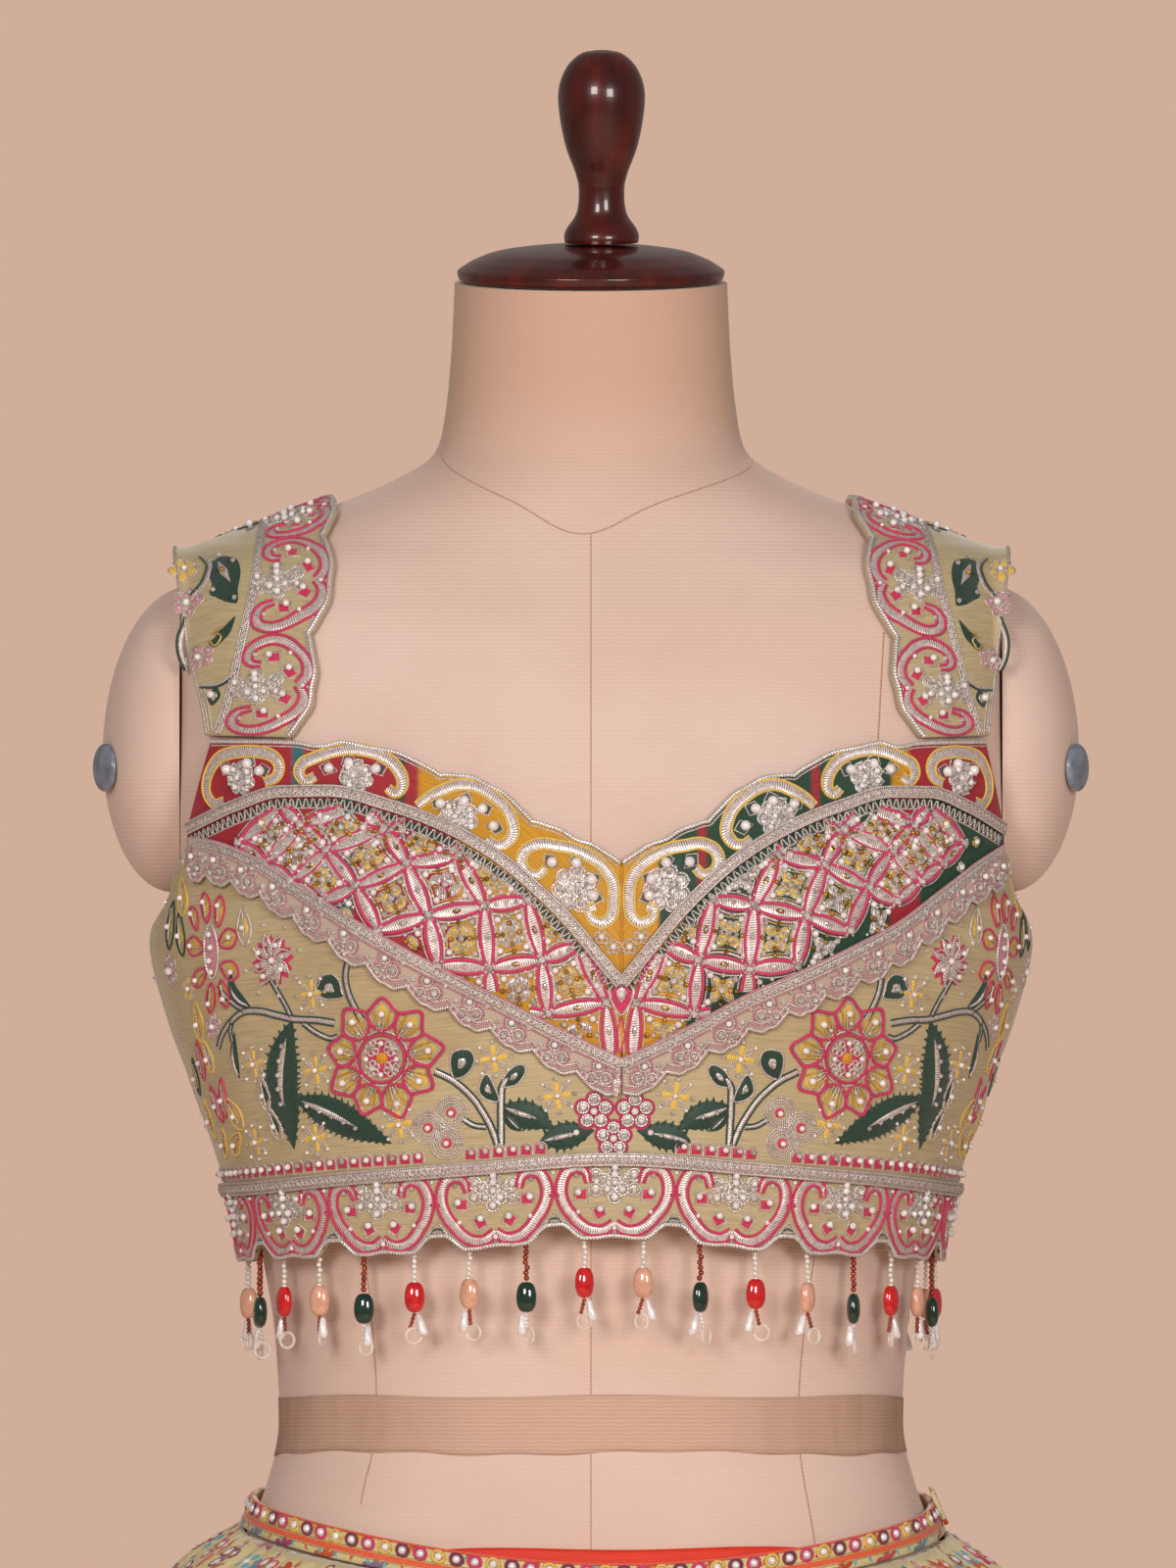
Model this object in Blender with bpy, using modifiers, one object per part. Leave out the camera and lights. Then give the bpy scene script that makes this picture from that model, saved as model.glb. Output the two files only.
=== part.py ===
"""A lehenga set worn by a limbless dress form: a beaded choli blouse and a flared, panelled skirt.

Lengths are in millimetres until they reach a mesh. Heights are counted from the form's waist.
The form faces -Y. Left and right are the wearer's, so left is +X.
A place on the body is (t, height): t runs from 0 at the centre front to 1 at the centre back by
arc length, and is negative on the right side.
"""

import math
from collections import namedtuple

import bmesh
import bpy
import numpy as np

MM = 0.001
WAIST_ABOVE_FLOOR = 1080.0

# The dress form, a general figure of bust 890, waist 660 and hip 960 mm
Section = namedtuple("Section", "height half_width front back squareness")
BODY = [
    Section(-320.0, 164.0, 115.0, 118.0, 2.2),
    Section(-300.0, 170.0, 118.0, 124.0, 2.2),
    Section(-230.0, 176.0, 119.0, 131.0, 2.2),
    Section(-160.0, 170.0, 115.0, 124.0, 2.2),
    Section(-100.0, 154.0, 108.0, 111.0, 2.2),
    Section(-50.0, 134.0, 99.0, 97.0, 2.2),
    Section(-25.0, 123.0, 95.0, 90.0, 2.2),
    Section(0.0, 117.5, 92.0, 85.0, 2.2),
    Section(30.0, 119.0, 92.5, 84.0, 2.2),
    Section(60.0, 123.5, 95.0, 86.0, 2.2),
    Section(91.0, 132.0, 101.0, 89.0, 2.25),
    Section(130.0, 146.0, 108.0, 94.0, 2.35),
    Section(155.0, 153.0, 112.0, 97.0, 2.4),
    Section(180.0, 158.0, 115.0, 99.0, 2.45),
    Section(205.0, 160.0, 114.0, 101.0, 2.5),
    Section(235.0, 161.0, 108.0, 102.0, 2.6),
    Section(270.0, 161.0, 97.0, 99.0, 2.6),
    Section(300.0, 161.0, 85.0, 92.0, 2.5),
    Section(315.0, 160.0, 77.0, 86.0, 2.3),
    Section(322.0, 157.0, 73.0, 82.0, 2.2),
    Section(326.0, 152.0, 71.0, 79.0, 2.1),
    Section(330.0, 142.0, 69.0, 77.0, 2.0),
    Section(336.0, 125.0, 66.0, 74.0, 2.0),
    Section(343.0, 106.0, 63.0, 71.0, 2.0),
    Section(350.0, 88.0, 60.0, 68.0, 2.0),
    Section(357.0, 72.0, 57.0, 64.0, 2.0),
    Section(366.0, 59.0, 54.0, 59.0, 2.0),
    Section(375.0, 56.0, 52.5, 56.0, 2.0),
    Section(400.0, 53.0, 51.5, 53.0, 2.0),
    Section(428.5, 51.5, 51.0, 51.0, 2.0),
]
BUST_RISE, BUST_HEIGHT, BUST_APART = 15.0, 178.0, 72.0
BUST_WIDE, BUST_TALL = 40.0, 44.0
ARM_PLANE = 154.5
ARM_PLANE_FOOT = 196.0
TORSO_COLUMNS = 36
SHOULDER_CAP = {"height": 258.0, "tall": 57.5, "deep": 46.0, "bulge": 29.5, "droop": 5.0}
FINIAL_AXIS_X = 4.0
NECK_TOP, NECK_LEAN = 430.6, 5.8

# The choli's cloth, which clears the body by these amounts at the side, front and back
Ease = namedtuple("Ease", "height side front back")
CHOLI_EASE = [
    Ease(40.0, 8.0, 15.0, 5.5),
    Ease(67.0, 7.0, 13.0, 5.0),
    Ease(91.0, 5.0, 10.5, 4.5),
    Ease(112.0, 4.0, 7.5, 4.0),
    Ease(130.0, 4.0, 5.0, 3.5),
    Ease(148.0, 5.5, 3.0, 3.0),
    Ease(178.0, 7.0, 1.3, 2.0),
    Ease(206.0, 1.4, 1.0, 1.0),
    Ease(250.0, 1.0, 1.0, 1.0),
]
CLEAVAGE_BRIDGE = 4.0
CLOTH, SEAM, TRIM_GAP, TRIM = 1.8, 0.36, 0.7, 1.0
TWIST, TWIST_REACH, CHOLI_TURN = 11.5, 165.0, 0.023
CUP_COLUMNS, BODICE_ROWS = 14, 5

# Outlines on the choli's front, as (distance from its centre line, height) seen from the front
NECK_EDGE = [(0, 209), (16, 213.7), (33, 224.7), (50, 235), (66, 242.2), (90, 248.7), (104, 251.5), (116, 255)]
NECK_EDGE += [(144, 256.3)]
NECK_SEAM = [(0, 164.5), (10, 176), (24, 191.6), (45, 210.1), (65, 222), (83, 229.5), (104, 235.5), (120, 235.7)]
NECK_SEAM += [(135, 231), (152, 222.5)]
UNDERBUST_SEAM = [(0, 133.4), (25, 145.6), (48, 157.9), (68, 167.5), (88, 177.7), (108, 189.3), (128, 203.9)]
UNDERBUST_SEAM += [(140, 211.5), (152, 216.5)]
# The seam under the bust hangs lower at the left side than at the right by twice this
BUST_SKEW = [(0, 0), (48, 0), (68, 1), (88, 2.4), (108, 4.3), (124, 4.8), (140, 3.2), (152, 1.0)]
NECK_SCALLOP_ENDS = [(0, 0), (33, 1), (66, 2), (116, 3), (152, 4)]
NECK_END_TOP, FRONT_END = 144.0, 152.0
ARMHOLE_LOW, ARMHOLE_FRONT_TOP = 195.5, 217.0
SIDE_SEAM = 0.5
BACK_EDGE = [(0.5, 195.5), (0.59, 199), (0.63, 210), (0.67, 219), (0.83, 220), (0.88, 213), (1, 203)]
HEM_SEAM = [(0, 98.6), (0.02, 98.5), (0.06, 97.6), (0.13, 95.4), (0.25, 92.4), (0.42, 88.8), (1, 88)]
HEM_EDGE = [(0, 74.5), (0.02, 74.4), (0.06, 73.5), (0.12, 71), (0.18, 69.3), (0.31, 67.8), (0.5, 67), (1, 67)]
HEM_SCALLOPS, SCALLOP_DEPTH = 17, 5.8
NECK_SCALLOP_DEPTH, SCALLOPS_FADE_AT = 4.6, 111.0
LACE_SCALLOPS, LACE_DROP, LACE_SCALLOP, LACE_END_LIFT = 12, 10.0, 4.0, 1.2
BRAID_HALF = 2.6

# The shoulder straps, whose edges are distances from the middle at steps along the strap
StrapStation = namedtuple("StrapStation", "along inner divide outer")
STRAP = [
    StrapStation(0.0, 118.0, 142.5, 146.0),
    StrapStation(0.05, 114.0, 138.5, 147.5),
    StrapStation(0.13, 110.0, 133.5, 151.0),
    StrapStation(0.22, 104.5, 128.0, 155.5),
    StrapStation(0.32, 102.0, 124.5, 158.0),
    StrapStation(0.44, 101.0, 123.0, 158.0),
    StrapStation(0.65, 98.0, 119.0, 152.0),
    StrapStation(1.0, 90.0, 110.5, 132.0),
]
STRAP_AXIS_Y, STRAP_AXIS_HEIGHT, SHOULDER_EDGE = 3.0, 235.0, 151.0
STRAP_SCALLOPS, STRAP_SCALLOP_DEPTH = 7, 4.6
STRAP_STEPS, STRAP_LIFT, STRAP_FOOT_GAP = 28, 2.0, 0.9

# The hanging bead strands, in threes: red, pale, green
STRANDS = 34
STRAND_LEAD = (10.5, 10.5, 14.0)
BEAD_LONG, BEAD_WIDE, BEAD_DEEP = 11.5, 3.9, 2.6
DROP_LONG, DROP_RADIUS, THREAD_RADIUS = 9.0, 2.0, 0.9
TAPE_INSIDE = 0.7

# The skirt
BAND_TALL, BAND_OFFSET, BAND_WALL = 10.5, 2.2, 1.8
BAND_MEAN, BAND_FRONT_DIP, BAND_SIDE_LIFT, BAND_TURN = -34.15, -14.3, -5.15, 0.03
FACING_OFFSET, FACING_WALL, FACING_BELOW, FACING_SHOWS = 0.6, 1.0, 8.0, 6.5
FACING_CENTRE, FACING_REACH = 0.035, 0.20
Flare = namedtuple("Flare", "drop share fold")
SKIRT = [
    Flare(0.0, 0.0, 0.7),
    Flare(5.0, 0.022, 1.4),
    Flare(14.0, 0.060, 2.6),
    Flare(50.0, 0.128, 4.6),
    Flare(110.0, 0.200, 7.0),
    Flare(200.0, 0.290, 10.0),
    Flare(400.0, 0.470, 16.0),
    Flare(700.0, 0.725, 22.0),
    Flare(1030.0, 1.0, 27.0),
]
SKIRT_ROWS = (1030.0, 640.0, 330.0, 150.0, 55.0, 14.0, 0.0)
HEM_RADIUS, HEM_ABOVE_FLOOR, SKIRT_WALL, PANEL_GAP = 432.0, 12.0, 1.2, 0.5
SKIRT_PANELS, COLUMNS_A_PANEL, FOLDS = 12, 9, 18

# The stand
BASE_RADIUS, BASE_TALL, POLE_RADIUS, FLANGE_RADIUS, FLANGE_TALL = 195.0, 24.0, 15.0, 42.0, 8.0

COLOURS = {
    "jersey": ((0.72, 0.50, 0.37), 0.75, 0.0),
    "mahogany": ((0.12, 0.02, 0.015), 0.2, 0.0),
    "steel": ((0.55, 0.56, 0.58), 0.35, 1.0),
    "knob": ((0.22, 0.25, 0.32), 0.45, 0.0),
    "olive_silk": ((0.48, 0.42, 0.22), 0.55, 0.0),
    "lattice_silk": ((0.55, 0.12, 0.12), 0.6, 0.0),
    "mustard_silk": ((0.75, 0.42, 0.04), 0.6, 0.0),
    "rose_border": ((0.60, 0.30, 0.26), 0.6, 0.0),
    "silver_braid": ((0.66, 0.58, 0.52), 0.4, 0.6),
    "beads": ((0.75, 0.06, 0.04), 0.25, 0.0),
    "printed_silk": ((0.66, 0.58, 0.38), 0.6, 0.0),
    "orange_silk": ((0.80, 0.14, 0.03), 0.6, 0.0),
}


def curve_through(points):
    """A smooth curve with no overshoot through (place, value) pairs, as a function on arrays."""
    xs, ys = (np.array(column, float) for column in zip(*points))
    slopes = np.diff(ys) / np.diff(xs)
    tangents = np.concatenate([slopes[:1], np.zeros(len(xs) - 2), slopes[-1:]])
    same = slopes[:-1] * slopes[1:] > 0
    both = np.where(same, slopes[:-1] + slopes[1:], 1.0)
    tangents[1:-1] = np.where(same, 2 * slopes[:-1] * slopes[1:] / both, 0.0)

    def at(x):
        x = np.clip(np.asarray(x, float), xs[0], xs[-1])
        i = np.clip(np.searchsorted(xs, x, side="right") - 1, 0, len(xs) - 2)
        step = xs[i + 1] - xs[i]
        s = (x - xs[i]) / step
        rise = (3 - 2 * s) * s * s
        return (
            ys[i] * (1 - rise)
            + ys[i + 1] * rise
            + tangents[i] * step * s * (1 - s) ** 2
            - tangents[i + 1] * step * s * s * (1 - s)
        )

    return at


def column(rows, name, place):
    return curve_through([(getattr(row, place), getattr(row, name)) for row in rows])


BODY_WIDTH, BODY_FRONT, BODY_BACK, BODY_SQUARE = (
    column(BODY, name, "height") for name in ("half_width", "front", "back", "squareness")
)
EASE_SIDE, EASE_FRONT, EASE_BACK = (column(CHOLI_EASE, name, "height") for name in ("side", "front", "back"))
STRAP_INNER, STRAP_DIVIDE, STRAP_OUTER = (
    column(STRAP, name, "along") for name in ("inner", "divide", "outer")
)
FLARE_SHARE, FLARE_FOLD = (column(SKIRT, name, "drop") for name in ("share", "fold"))
NECK_EDGE_AT, NECK_SEAM_AT, UNDERBUST_AT, BUST_SKEW_AT, BACK_EDGE_AT = (
    curve_through(points) for points in (NECK_EDGE, NECK_SEAM, UNDERBUST_SEAM, BUST_SKEW, BACK_EDGE)
)
HEM_SEAM_AT, HEM_EDGE_AT, NECK_SCALLOP_AT = (
    curve_through(points) for points in (HEM_SEAM, HEM_EDGE, NECK_SCALLOP_ENDS)
)


def bust(x, height, bridged):
    """How far the bust stands in front of the section, and the cloth's bridge between its sides."""
    tall = np.exp(-(((height - BUST_HEIGHT) / BUST_TALL) ** 2))
    rise = BUST_RISE * tall * np.exp(-(((np.abs(x) - BUST_APART) / BUST_WIDE) ** 2))
    return rise + bridged * CLEAVAGE_BRIDGE * tall * np.exp(-((x / BUST_WIDE) ** 2))


def section_sizes(height, dressed):
    """Half width, front depth, back depth and squareness of the body or of the choli round it."""
    extra = [ease(height) * dressed for ease in (EASE_SIDE, EASE_FRONT, EASE_BACK)]
    return (
        BODY_WIDTH(height) + extra[0],
        BODY_FRONT(height) + extra[1],
        BODY_BACK(height) + extra[2],
        BODY_SQUARE(height),
    )


def arm_limit(height, dressed):
    """The flat plane that a shoulder cap closes, and no limit under it."""
    return ARM_PLANE + np.maximum(0, ARM_PLANE_FOOT - height) * 0.4 + EASE_SIDE(height) * dressed


class Shell:
    """The body's surface, or the choli's inner face, tabled by height and by share of the way round."""

    STEP, SHARES = 2.0, 257

    def __init__(self, dressed):
        self.low, self.high = BODY[0].height, BODY[-1].height
        count = int((self.high - self.low) / self.STEP) + 1
        self.heights = np.linspace(self.low, self.high, count)
        rings = [self.ring(height, dressed) for height in self.heights]
        self.x, self.y, self.length = (np.array(part) for part in zip(*rings))
        along = np.gradient(self.x, axis=1), np.gradient(self.y, axis=1)
        upward = np.gradient(self.x, self.heights, axis=0), np.gradient(self.y, self.heights, axis=0)
        normal = np.stack([along[1], -along[0], along[0] * upward[1] - along[1] * upward[0]], axis=-1)
        normal[:, (0, -1), 0] = 0.0
        self.normal = normal / np.linalg.norm(normal, axis=-1, keepdims=True)

    def ring(self, height, dressed):
        width, front, back, square = section_sizes(height, dressed)
        angle = np.linspace(0, math.pi, 1441)
        x = width * np.abs(np.sin(angle)) ** (2 / square)
        reach = np.abs(np.cos(angle)) ** (2 / square)
        before = angle <= math.pi / 2
        y = np.where(before, -front * reach - bust(x, height, dressed), back * reach)
        x = np.minimum(x, arm_limit(height, dressed))
        steps = np.hypot(np.diff(x), np.diff(y))
        gone = np.concatenate([[0], np.cumsum(steps)])
        share = np.linspace(0, gone[-1], self.SHARES)
        return np.interp(share, gone, x), np.interp(share, gone, y), gone[-1]

    def look_up(self, table, t, height):
        """Bilinear value of a table at shares t (0 to 1) and heights."""
        row = np.clip((height - self.low) / (self.heights[1] - self.low), 0, len(self.heights) - 1.001)
        place = np.clip(t, 0, 1) * (self.SHARES - 1.001)
        i, j = row.astype(int), place.astype(int)
        u, v = row - i, place - j
        if table.ndim == 3:
            u, v = u[..., None], v[..., None]
        return (
            table[i, j] * (1 - u) * (1 - v)
            + table[i + 1, j] * u * (1 - v)
            + table[i, j + 1] * (1 - u) * v
            + table[i + 1, j + 1] * u * v
        )

    def at(self, t, height, off=0.0):
        """Points at signed shares t and heights, moved out of the surface by off."""
        t, height, off = np.broadcast_arrays(*(np.asarray(v, float) for v in (t, height, off)))
        side = np.where(t < 0, -1.0, 1.0)
        x = self.look_up(self.x, np.abs(t), height)
        y = self.look_up(self.y, np.abs(t), height)
        normal = self.look_up(self.normal, np.abs(t), height)
        points = np.stack([x, y, height], axis=-1) + normal * off[..., None]
        points[..., 0] *= side
        return points

    def half_round(self, height):
        return np.interp(height, self.heights, self.length)

    def share_of(self, x, height):
        """The signed share t at which the front of the surface has this x."""
        x, height = np.broadcast_arrays(np.asarray(x, float), np.asarray(height, float))
        low, high = np.zeros(x.shape), np.full(x.shape, 0.5)
        for _ in range(24):
            middle = (low + high) / 2
            inside = self.look_up(self.x, middle, height) < np.abs(x)
            low, high = np.where(inside, middle, low), np.where(inside, high, middle)
        return np.where(x < 0, -low, low)


NUDE, DRESSED = Shell(0.0), Shell(1.0)


def worn_x(across):
    """The choli sits a little turned on the form: its centre line is to the left of the form's."""
    return across + TWIST * (1 - (across / TWIST_REACH) ** 2)


def cloth_across(x):
    """The inverse of worn_x."""
    places = np.linspace(-TWIST_REACH, TWIST_REACH, 661)
    return np.interp(x, worn_x(places), places)


def choli_at(t, height, off=0.0):
    """A point of the choli at a share t from its own centre front, which is turned on the body."""
    return DRESSED.at((t + CHOLI_TURN + 1) % 2 - 1, height, off)


def front_at(across, height, off):
    """A point of the choli's front, from its distance to the choli's own centre line."""
    return DRESSED.at(DRESSED.share_of(worn_x(across), height), height, off)


def scallop(place):
    """Lobes of depth 1 and length 1, with a small ripple on each."""
    within = place - np.floor(place)
    return 1 - np.abs(2 * within - 1) ** 2.6 - 0.12 * np.sin(3 * math.pi * within) ** 2


def hem_lobe(place):
    """Broad lobes of depth 1 with a small dip in the middle, and a flat stretch between two."""
    aside = np.abs(2 * (place - np.floor(place)) - 1)
    rise = np.clip((aside - 0.50) / 0.40, 0, 1)
    return 1 - rise * rise * (3 - 2 * rise) - 0.12 * np.clip(1 - (aside / 0.28) ** 2, 0, 1)


def hem_seam_at(t):
    return HEM_SEAM_AT(np.abs(t))


def hem_edge_at(t):
    return HEM_EDGE_AT(np.abs(t)) - SCALLOP_DEPTH * hem_lobe(t * HEM_SCALLOPS / 2 + 0.5)


def underbust_at(place):
    """The seam under the bust; places are positive at the wearer's left."""
    return UNDERBUST_AT(np.abs(place)) - np.sign(place) * BUST_SKEW_AT(np.abs(place))


def neck_edge_at(place):
    """The scalloped top edge, whose scallops fade out where the straps begin."""
    fade = np.clip((SCALLOPS_FADE_AT - place) / 10, 0, 1)
    return NECK_EDGE_AT(place) + NECK_SCALLOP_DEPTH * fade * scallop(NECK_SCALLOP_AT(place))


def material_of(slot):
    material = bpy.data.materials.get(slot)
    if material is None:
        colour, roughness, metallic = COLOURS[slot]
        material = bpy.data.materials.new(slot)
        material.use_nodes = True
        shader = material.node_tree.nodes["Principled BSDF"]
        shader.inputs["Base Color"].default_value = (*colour, 1.0)
        shader.inputs["Roughness"].default_value = roughness
        shader.inputs["Metallic"].default_value = metallic
        material.diffuse_color = (*colour, 1.0)
    return material


def place(name, mesh, slot):
    """Adds a mesh to the part's collection, at the waist's height, smooth between its sharp edges."""
    mesh.materials.append(material_of(slot))
    mesh.shade_smooth()
    mesh.set_sharp_from_angle(angle=math.radians(50))
    obj = bpy.data.objects.new(name, mesh)
    obj.location.z = WAIST_ABOVE_FLOOR * MM
    bpy.data.collections["lehenga_set"].objects.link(obj)
    return obj


def cloth(name, points, thick, slot, around=False, offset=1.0):
    """An open surface through rows of points, which Solidify gives its thickness.

    Rows run upwards and columns towards the wearer's left at the front, so it faces out.
    """
    rows, columns = points.shape[:2]
    bpy.ops.mesh.primitive_grid_add(x_subdivisions=columns - 1, y_subdivisions=rows - 1, size=1)
    grid = bpy.context.object
    mesh = grid.data
    bpy.data.objects.remove(grid)
    mesh.name = name
    mesh.vertices.foreach_set("co", (points * MM).ravel())
    obj = place(name, mesh, slot)
    if around:
        weld = obj.modifiers.new("close the ring", "WELD")
        weld.merge_threshold = 0.00001
    solidify = obj.modifiers.new("thickness", "SOLIDIFY")
    solidify.thickness = thick * MM
    solidify.offset = offset
    return obj


def add_loft(shape, rings):
    """Adds a closed body through rings of points, with a flat cap at each end."""
    loops = [[shape.verts.new(point * MM) for point in ring] for ring in rings]
    faces = [shape.faces.new(loops[0]), shape.faces.new(loops[-1])]
    for upper, lower in zip(loops, loops[1:]):
        for i in range(len(upper)):
            after = (i + 1) % len(upper)
            faces.append(shape.faces.new((upper[i], upper[after], lower[after], lower[i])))
    bmesh.ops.recalc_face_normals(shape, faces=faces)


def loft(name, rings, slot):
    """A solid through closed rings of points, with a flat cap at each end."""
    mesh = bpy.data.meshes.new(name)
    shape = bmesh.new()
    add_loft(shape, rings)
    shape.to_mesh(mesh)
    shape.free()
    return place(name, mesh, slot)


def turned(name, profile, slot, steps):
    """A turned solid: a profile of (radius, height) pairs, top to bottom, spun by a Screw modifier."""
    mesh = bpy.data.meshes.new(name)
    points = [(radius * MM, 0.0, height * MM) for radius, height in profile]
    mesh.from_pydata(points, [(i, i + 1) for i in range(len(points) - 1)], [])
    obj = place(name, mesh, slot)
    screw = obj.modifiers.new("turn", "SCREW")
    screw.steps = screw.render_steps = steps
    screw.use_merge_vertices = True
    screw.merge_threshold = 0.00001
    screw.use_smooth_shade = True
    return obj


def patch(name, side, place_at, columns, rows, slot, off=0.0, thick=CLOTH):
    """A piece of one side of the choli: place_at gives points from shares across and up it."""
    across, up = np.meshgrid(np.linspace(0, 1, columns + 1), np.linspace(0, 1, rows + 1))
    points = place_at(across, up, off)
    return cloth(name, points[:, ::side], thick, slot)


# The dress form and its stand


def build_torso():
    heights = [-320, -240, -150, -75, -50, -37, -24, -8, 12, 40, 68, 95, 125, 155, 180, 197, 225]
    heights += [250, 280, 300, 313, 321, 326, 331, 338, 347, 357, 367, 378, 428.5]
    t = (np.arange(TORSO_COLUMNS) * 2 / TORSO_COLUMNS + 1) % 2 - 1
    rings = np.array([NUDE.at(t, np.full(len(t), float(height))) for height in heights])
    rings[-1, :, 2] = NECK_TOP + rings[-1, :, 1] * math.tan(math.radians(NECK_LEAN))
    loft("form_torso", rings, "jersey")


def build_shoulder(side, word):
    """Half of a flattened ball, flat against the torso, with the knob that an arm would hang on."""
    cap = SHOULDER_CAP
    shape = bmesh.new()
    bmesh.ops.create_uvsphere(shape, u_segments=24, v_segments=12, radius=1)
    whole = shape.verts[:] + shape.edges[:] + shape.faces[:]
    cut = bmesh.ops.bisect_plane(shape, geom=whole, plane_co=(0, 0, 0), plane_no=(0, 0, -1), clear_outer=True)
    rim = [item for item in cut["geom_cut"] if isinstance(item, bmesh.types.BMEdge)]
    bmesh.ops.holes_fill(shape, edges=rim)
    for vert in shape.verts:
        out, back, up = vert.co.z, vert.co.y, vert.co.x * -side
        vert.co.x = side * (ARM_PLANE + SEAM + cap["bulge"] * out) * MM
        vert.co.y = (1.0 + cap["deep"] * back) * MM
        vert.co.z = (cap["height"] - cap["droop"] * out + cap["tall"] * up) * MM
    shape.normal_update()
    bmesh.ops.recalc_face_normals(shape, faces=shape.faces)
    mesh = bpy.data.meshes.new(f"form_shoulder_{word}")
    shape.to_mesh(mesh)
    shape.free()
    place(f"form_shoulder_{word}", mesh, "jersey")
    knob = turned(f"form_arm_knob_{word}", [(0, 3.2), (5.5, 3.0), (9.0, 1.8), (9.0, 0), (0, 0)], "knob", 14)
    lean, reach = math.radians(24), 0.90
    knob.location = (
        side * (ARM_PLANE + SEAM + cap["bulge"] * reach + 1.2) * MM,
        -cap["deep"] * 0.40 * MM,
        (WAIST_ABOVE_FLOOR + cap["height"] - 11) * MM,
    )
    knob.rotation_euler = (0, side * math.pi / 2, -side * lean)


def build_neck_cap():
    """The cap and the finial, whose heights are counted from the neck's top, which leans forward."""
    cap = [(0, 14.9), (13.0, 14.5), (26.0, 13.3), (37.0, 11.4), (45.5, 8.0), (50.5, 4.0)]
    cap += [(49.8, 1.3), (48.0, SEAM), (0, SEAM)]
    finial = [(0, 88.0), (8.0, 86.6), (13.2, 81.6), (16.2, 73.6), (16.0, 64.0), (13.6, 51.6)]
    finial += [(9.8, 41.2), (8.6, 34.6), (9.5, 26.4), (13.2, 20.6), (14.2, 17.6), (13.6, 15.2)]
    finial += [(0, 15.2)]
    pieces = [
        turned("form_neck_cap", cap, "mahogany", 28),
        turned("form_finial", finial, "mahogany", 18),
    ]
    for piece, axis_x in zip(pieces, (0.0, FINIAL_AXIS_X)):
        piece.location = (axis_x * MM, 0.0, (WAIST_ABOVE_FLOOR + NECK_TOP) * MM)
        piece.rotation_euler.x = math.radians(NECK_LEAN)


def cylinder(name, radius, top, bottom, slot, sides):
    shape = bmesh.new()
    wide, tall = radius * MM, (top - bottom) * MM
    bmesh.ops.create_cone(shape, cap_ends=True, segments=sides, radius1=wide, radius2=wide, depth=tall)
    mesh = bpy.data.meshes.new(name)
    shape.to_mesh(mesh)
    shape.free()
    obj = place(name, mesh, slot)
    obj.location.z = (WAIST_ABOVE_FLOOR + (top + bottom) / 2) * MM


def build_stand():
    floor = -WAIST_ABOVE_FLOOR
    base = [(0, BASE_TALL + 4), (60, BASE_TALL + 3), (150, BASE_TALL - 4), (BASE_RADIUS - 6, 12)]
    base += [(BASE_RADIUS, 7), (BASE_RADIUS, 2), (BASE_RADIUS - 2, 0), (0, 0)]
    turned("form_base", [(radius, floor + height) for radius, height in base], "mahogany", 32)
    seat = BODY[0].height
    cylinder("form_pole_flange", FLANGE_RADIUS, seat - SEAM, seat - FLANGE_TALL, "steel", 24)
    top, foot = seat - FLANGE_TALL - SEAM, floor + BASE_TALL + 4 + SEAM
    cylinder("form_pole", POLE_RADIUS, top, foot, "steel", 20)


# The choli


def place_across(share, end=FRONT_END):
    """Distances from the choli's centre line, closer together where its surface turns away."""
    return SEAM / 2 + (end - SEAM / 2) * (1 - (1 - share) ** 1.35)


def neck_border_at(side):
    def at(across, up, off):
        place = place_across(across, FRONT_END + (NECK_END_TOP - FRONT_END) * up)
        low, high = NECK_SEAM_AT(place) + SEAM / 2, neck_edge_at(place)
        return front_at(side * place, low + (high - low) * up, off)

    return at


def cup_at(side):
    def at(across, up, off):
        place = place_across(across)
        low, high = underbust_at(side * place) + SEAM / 2, NECK_SEAM_AT(place) - SEAM / 2
        return front_at(side * place, low + (high - low) * up, off)

    return at


def braid_at(side):
    """A flat cord that covers the seam between the cup and the neckline's border."""

    def at(across, up, off):
        place = place_across(across, FRONT_END - 1.0)
        return front_at(side * place, NECK_SEAM_AT(place) + BRAID_HALF * (2 * up - 1), off)

    return at


def lace_at(side):
    """The braid on the seam under the bust, with its row of lace scallops below."""

    def at(across, up, off):
        place = place_across(across, FRONT_END - 2.0)
        drop = LACE_DROP + LACE_SCALLOP * scallop(across * LACE_SCALLOPS)
        height = underbust_at(side * place) + BRAID_HALF - (BRAID_HALF + drop) * (1 - up)
        return front_at(side * place, height, off + LACE_END_LIFT * across**4)

    return at


def side_seam_gap():
    return SEAM / 2 / DRESSED.half_round(150.0)


def build_front():
    """The lower front: its columns end on the cups' corners, and its sides follow the armholes."""
    places = place_across(np.linspace(0, 1, CUP_COLUMNS + 1))
    places = np.concatenate([-places[::-1], [0.0], places])
    top = underbust_at(places) - SEAM / 2
    t = DRESSED.share_of(worn_x(places), top) - CHOLI_TURN
    beyond = np.linspace(0, 1, 5)[1:]
    edge = SIDE_SEAM - side_seam_gap()
    ends = [end + (ARMHOLE_LOW - end) * (1 - (1 - beyond) ** 1.6) for end in (top[0], top[-1])]
    t = np.concatenate([t[0] - (edge + t[0]) * beyond[::-1], t, t[-1] + (edge - t[-1]) * beyond])
    top = np.concatenate([ends[0][::-1], top, ends[1]])
    low = hem_seam_at(t) + SEAM / 2
    heights = low + (top - low) * np.linspace(0, 1, BODICE_ROWS + 1)[:, None]
    cloth("choli_front", choli_at(t + np.zeros_like(heights), heights), CLOTH, "olive_silk")


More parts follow.
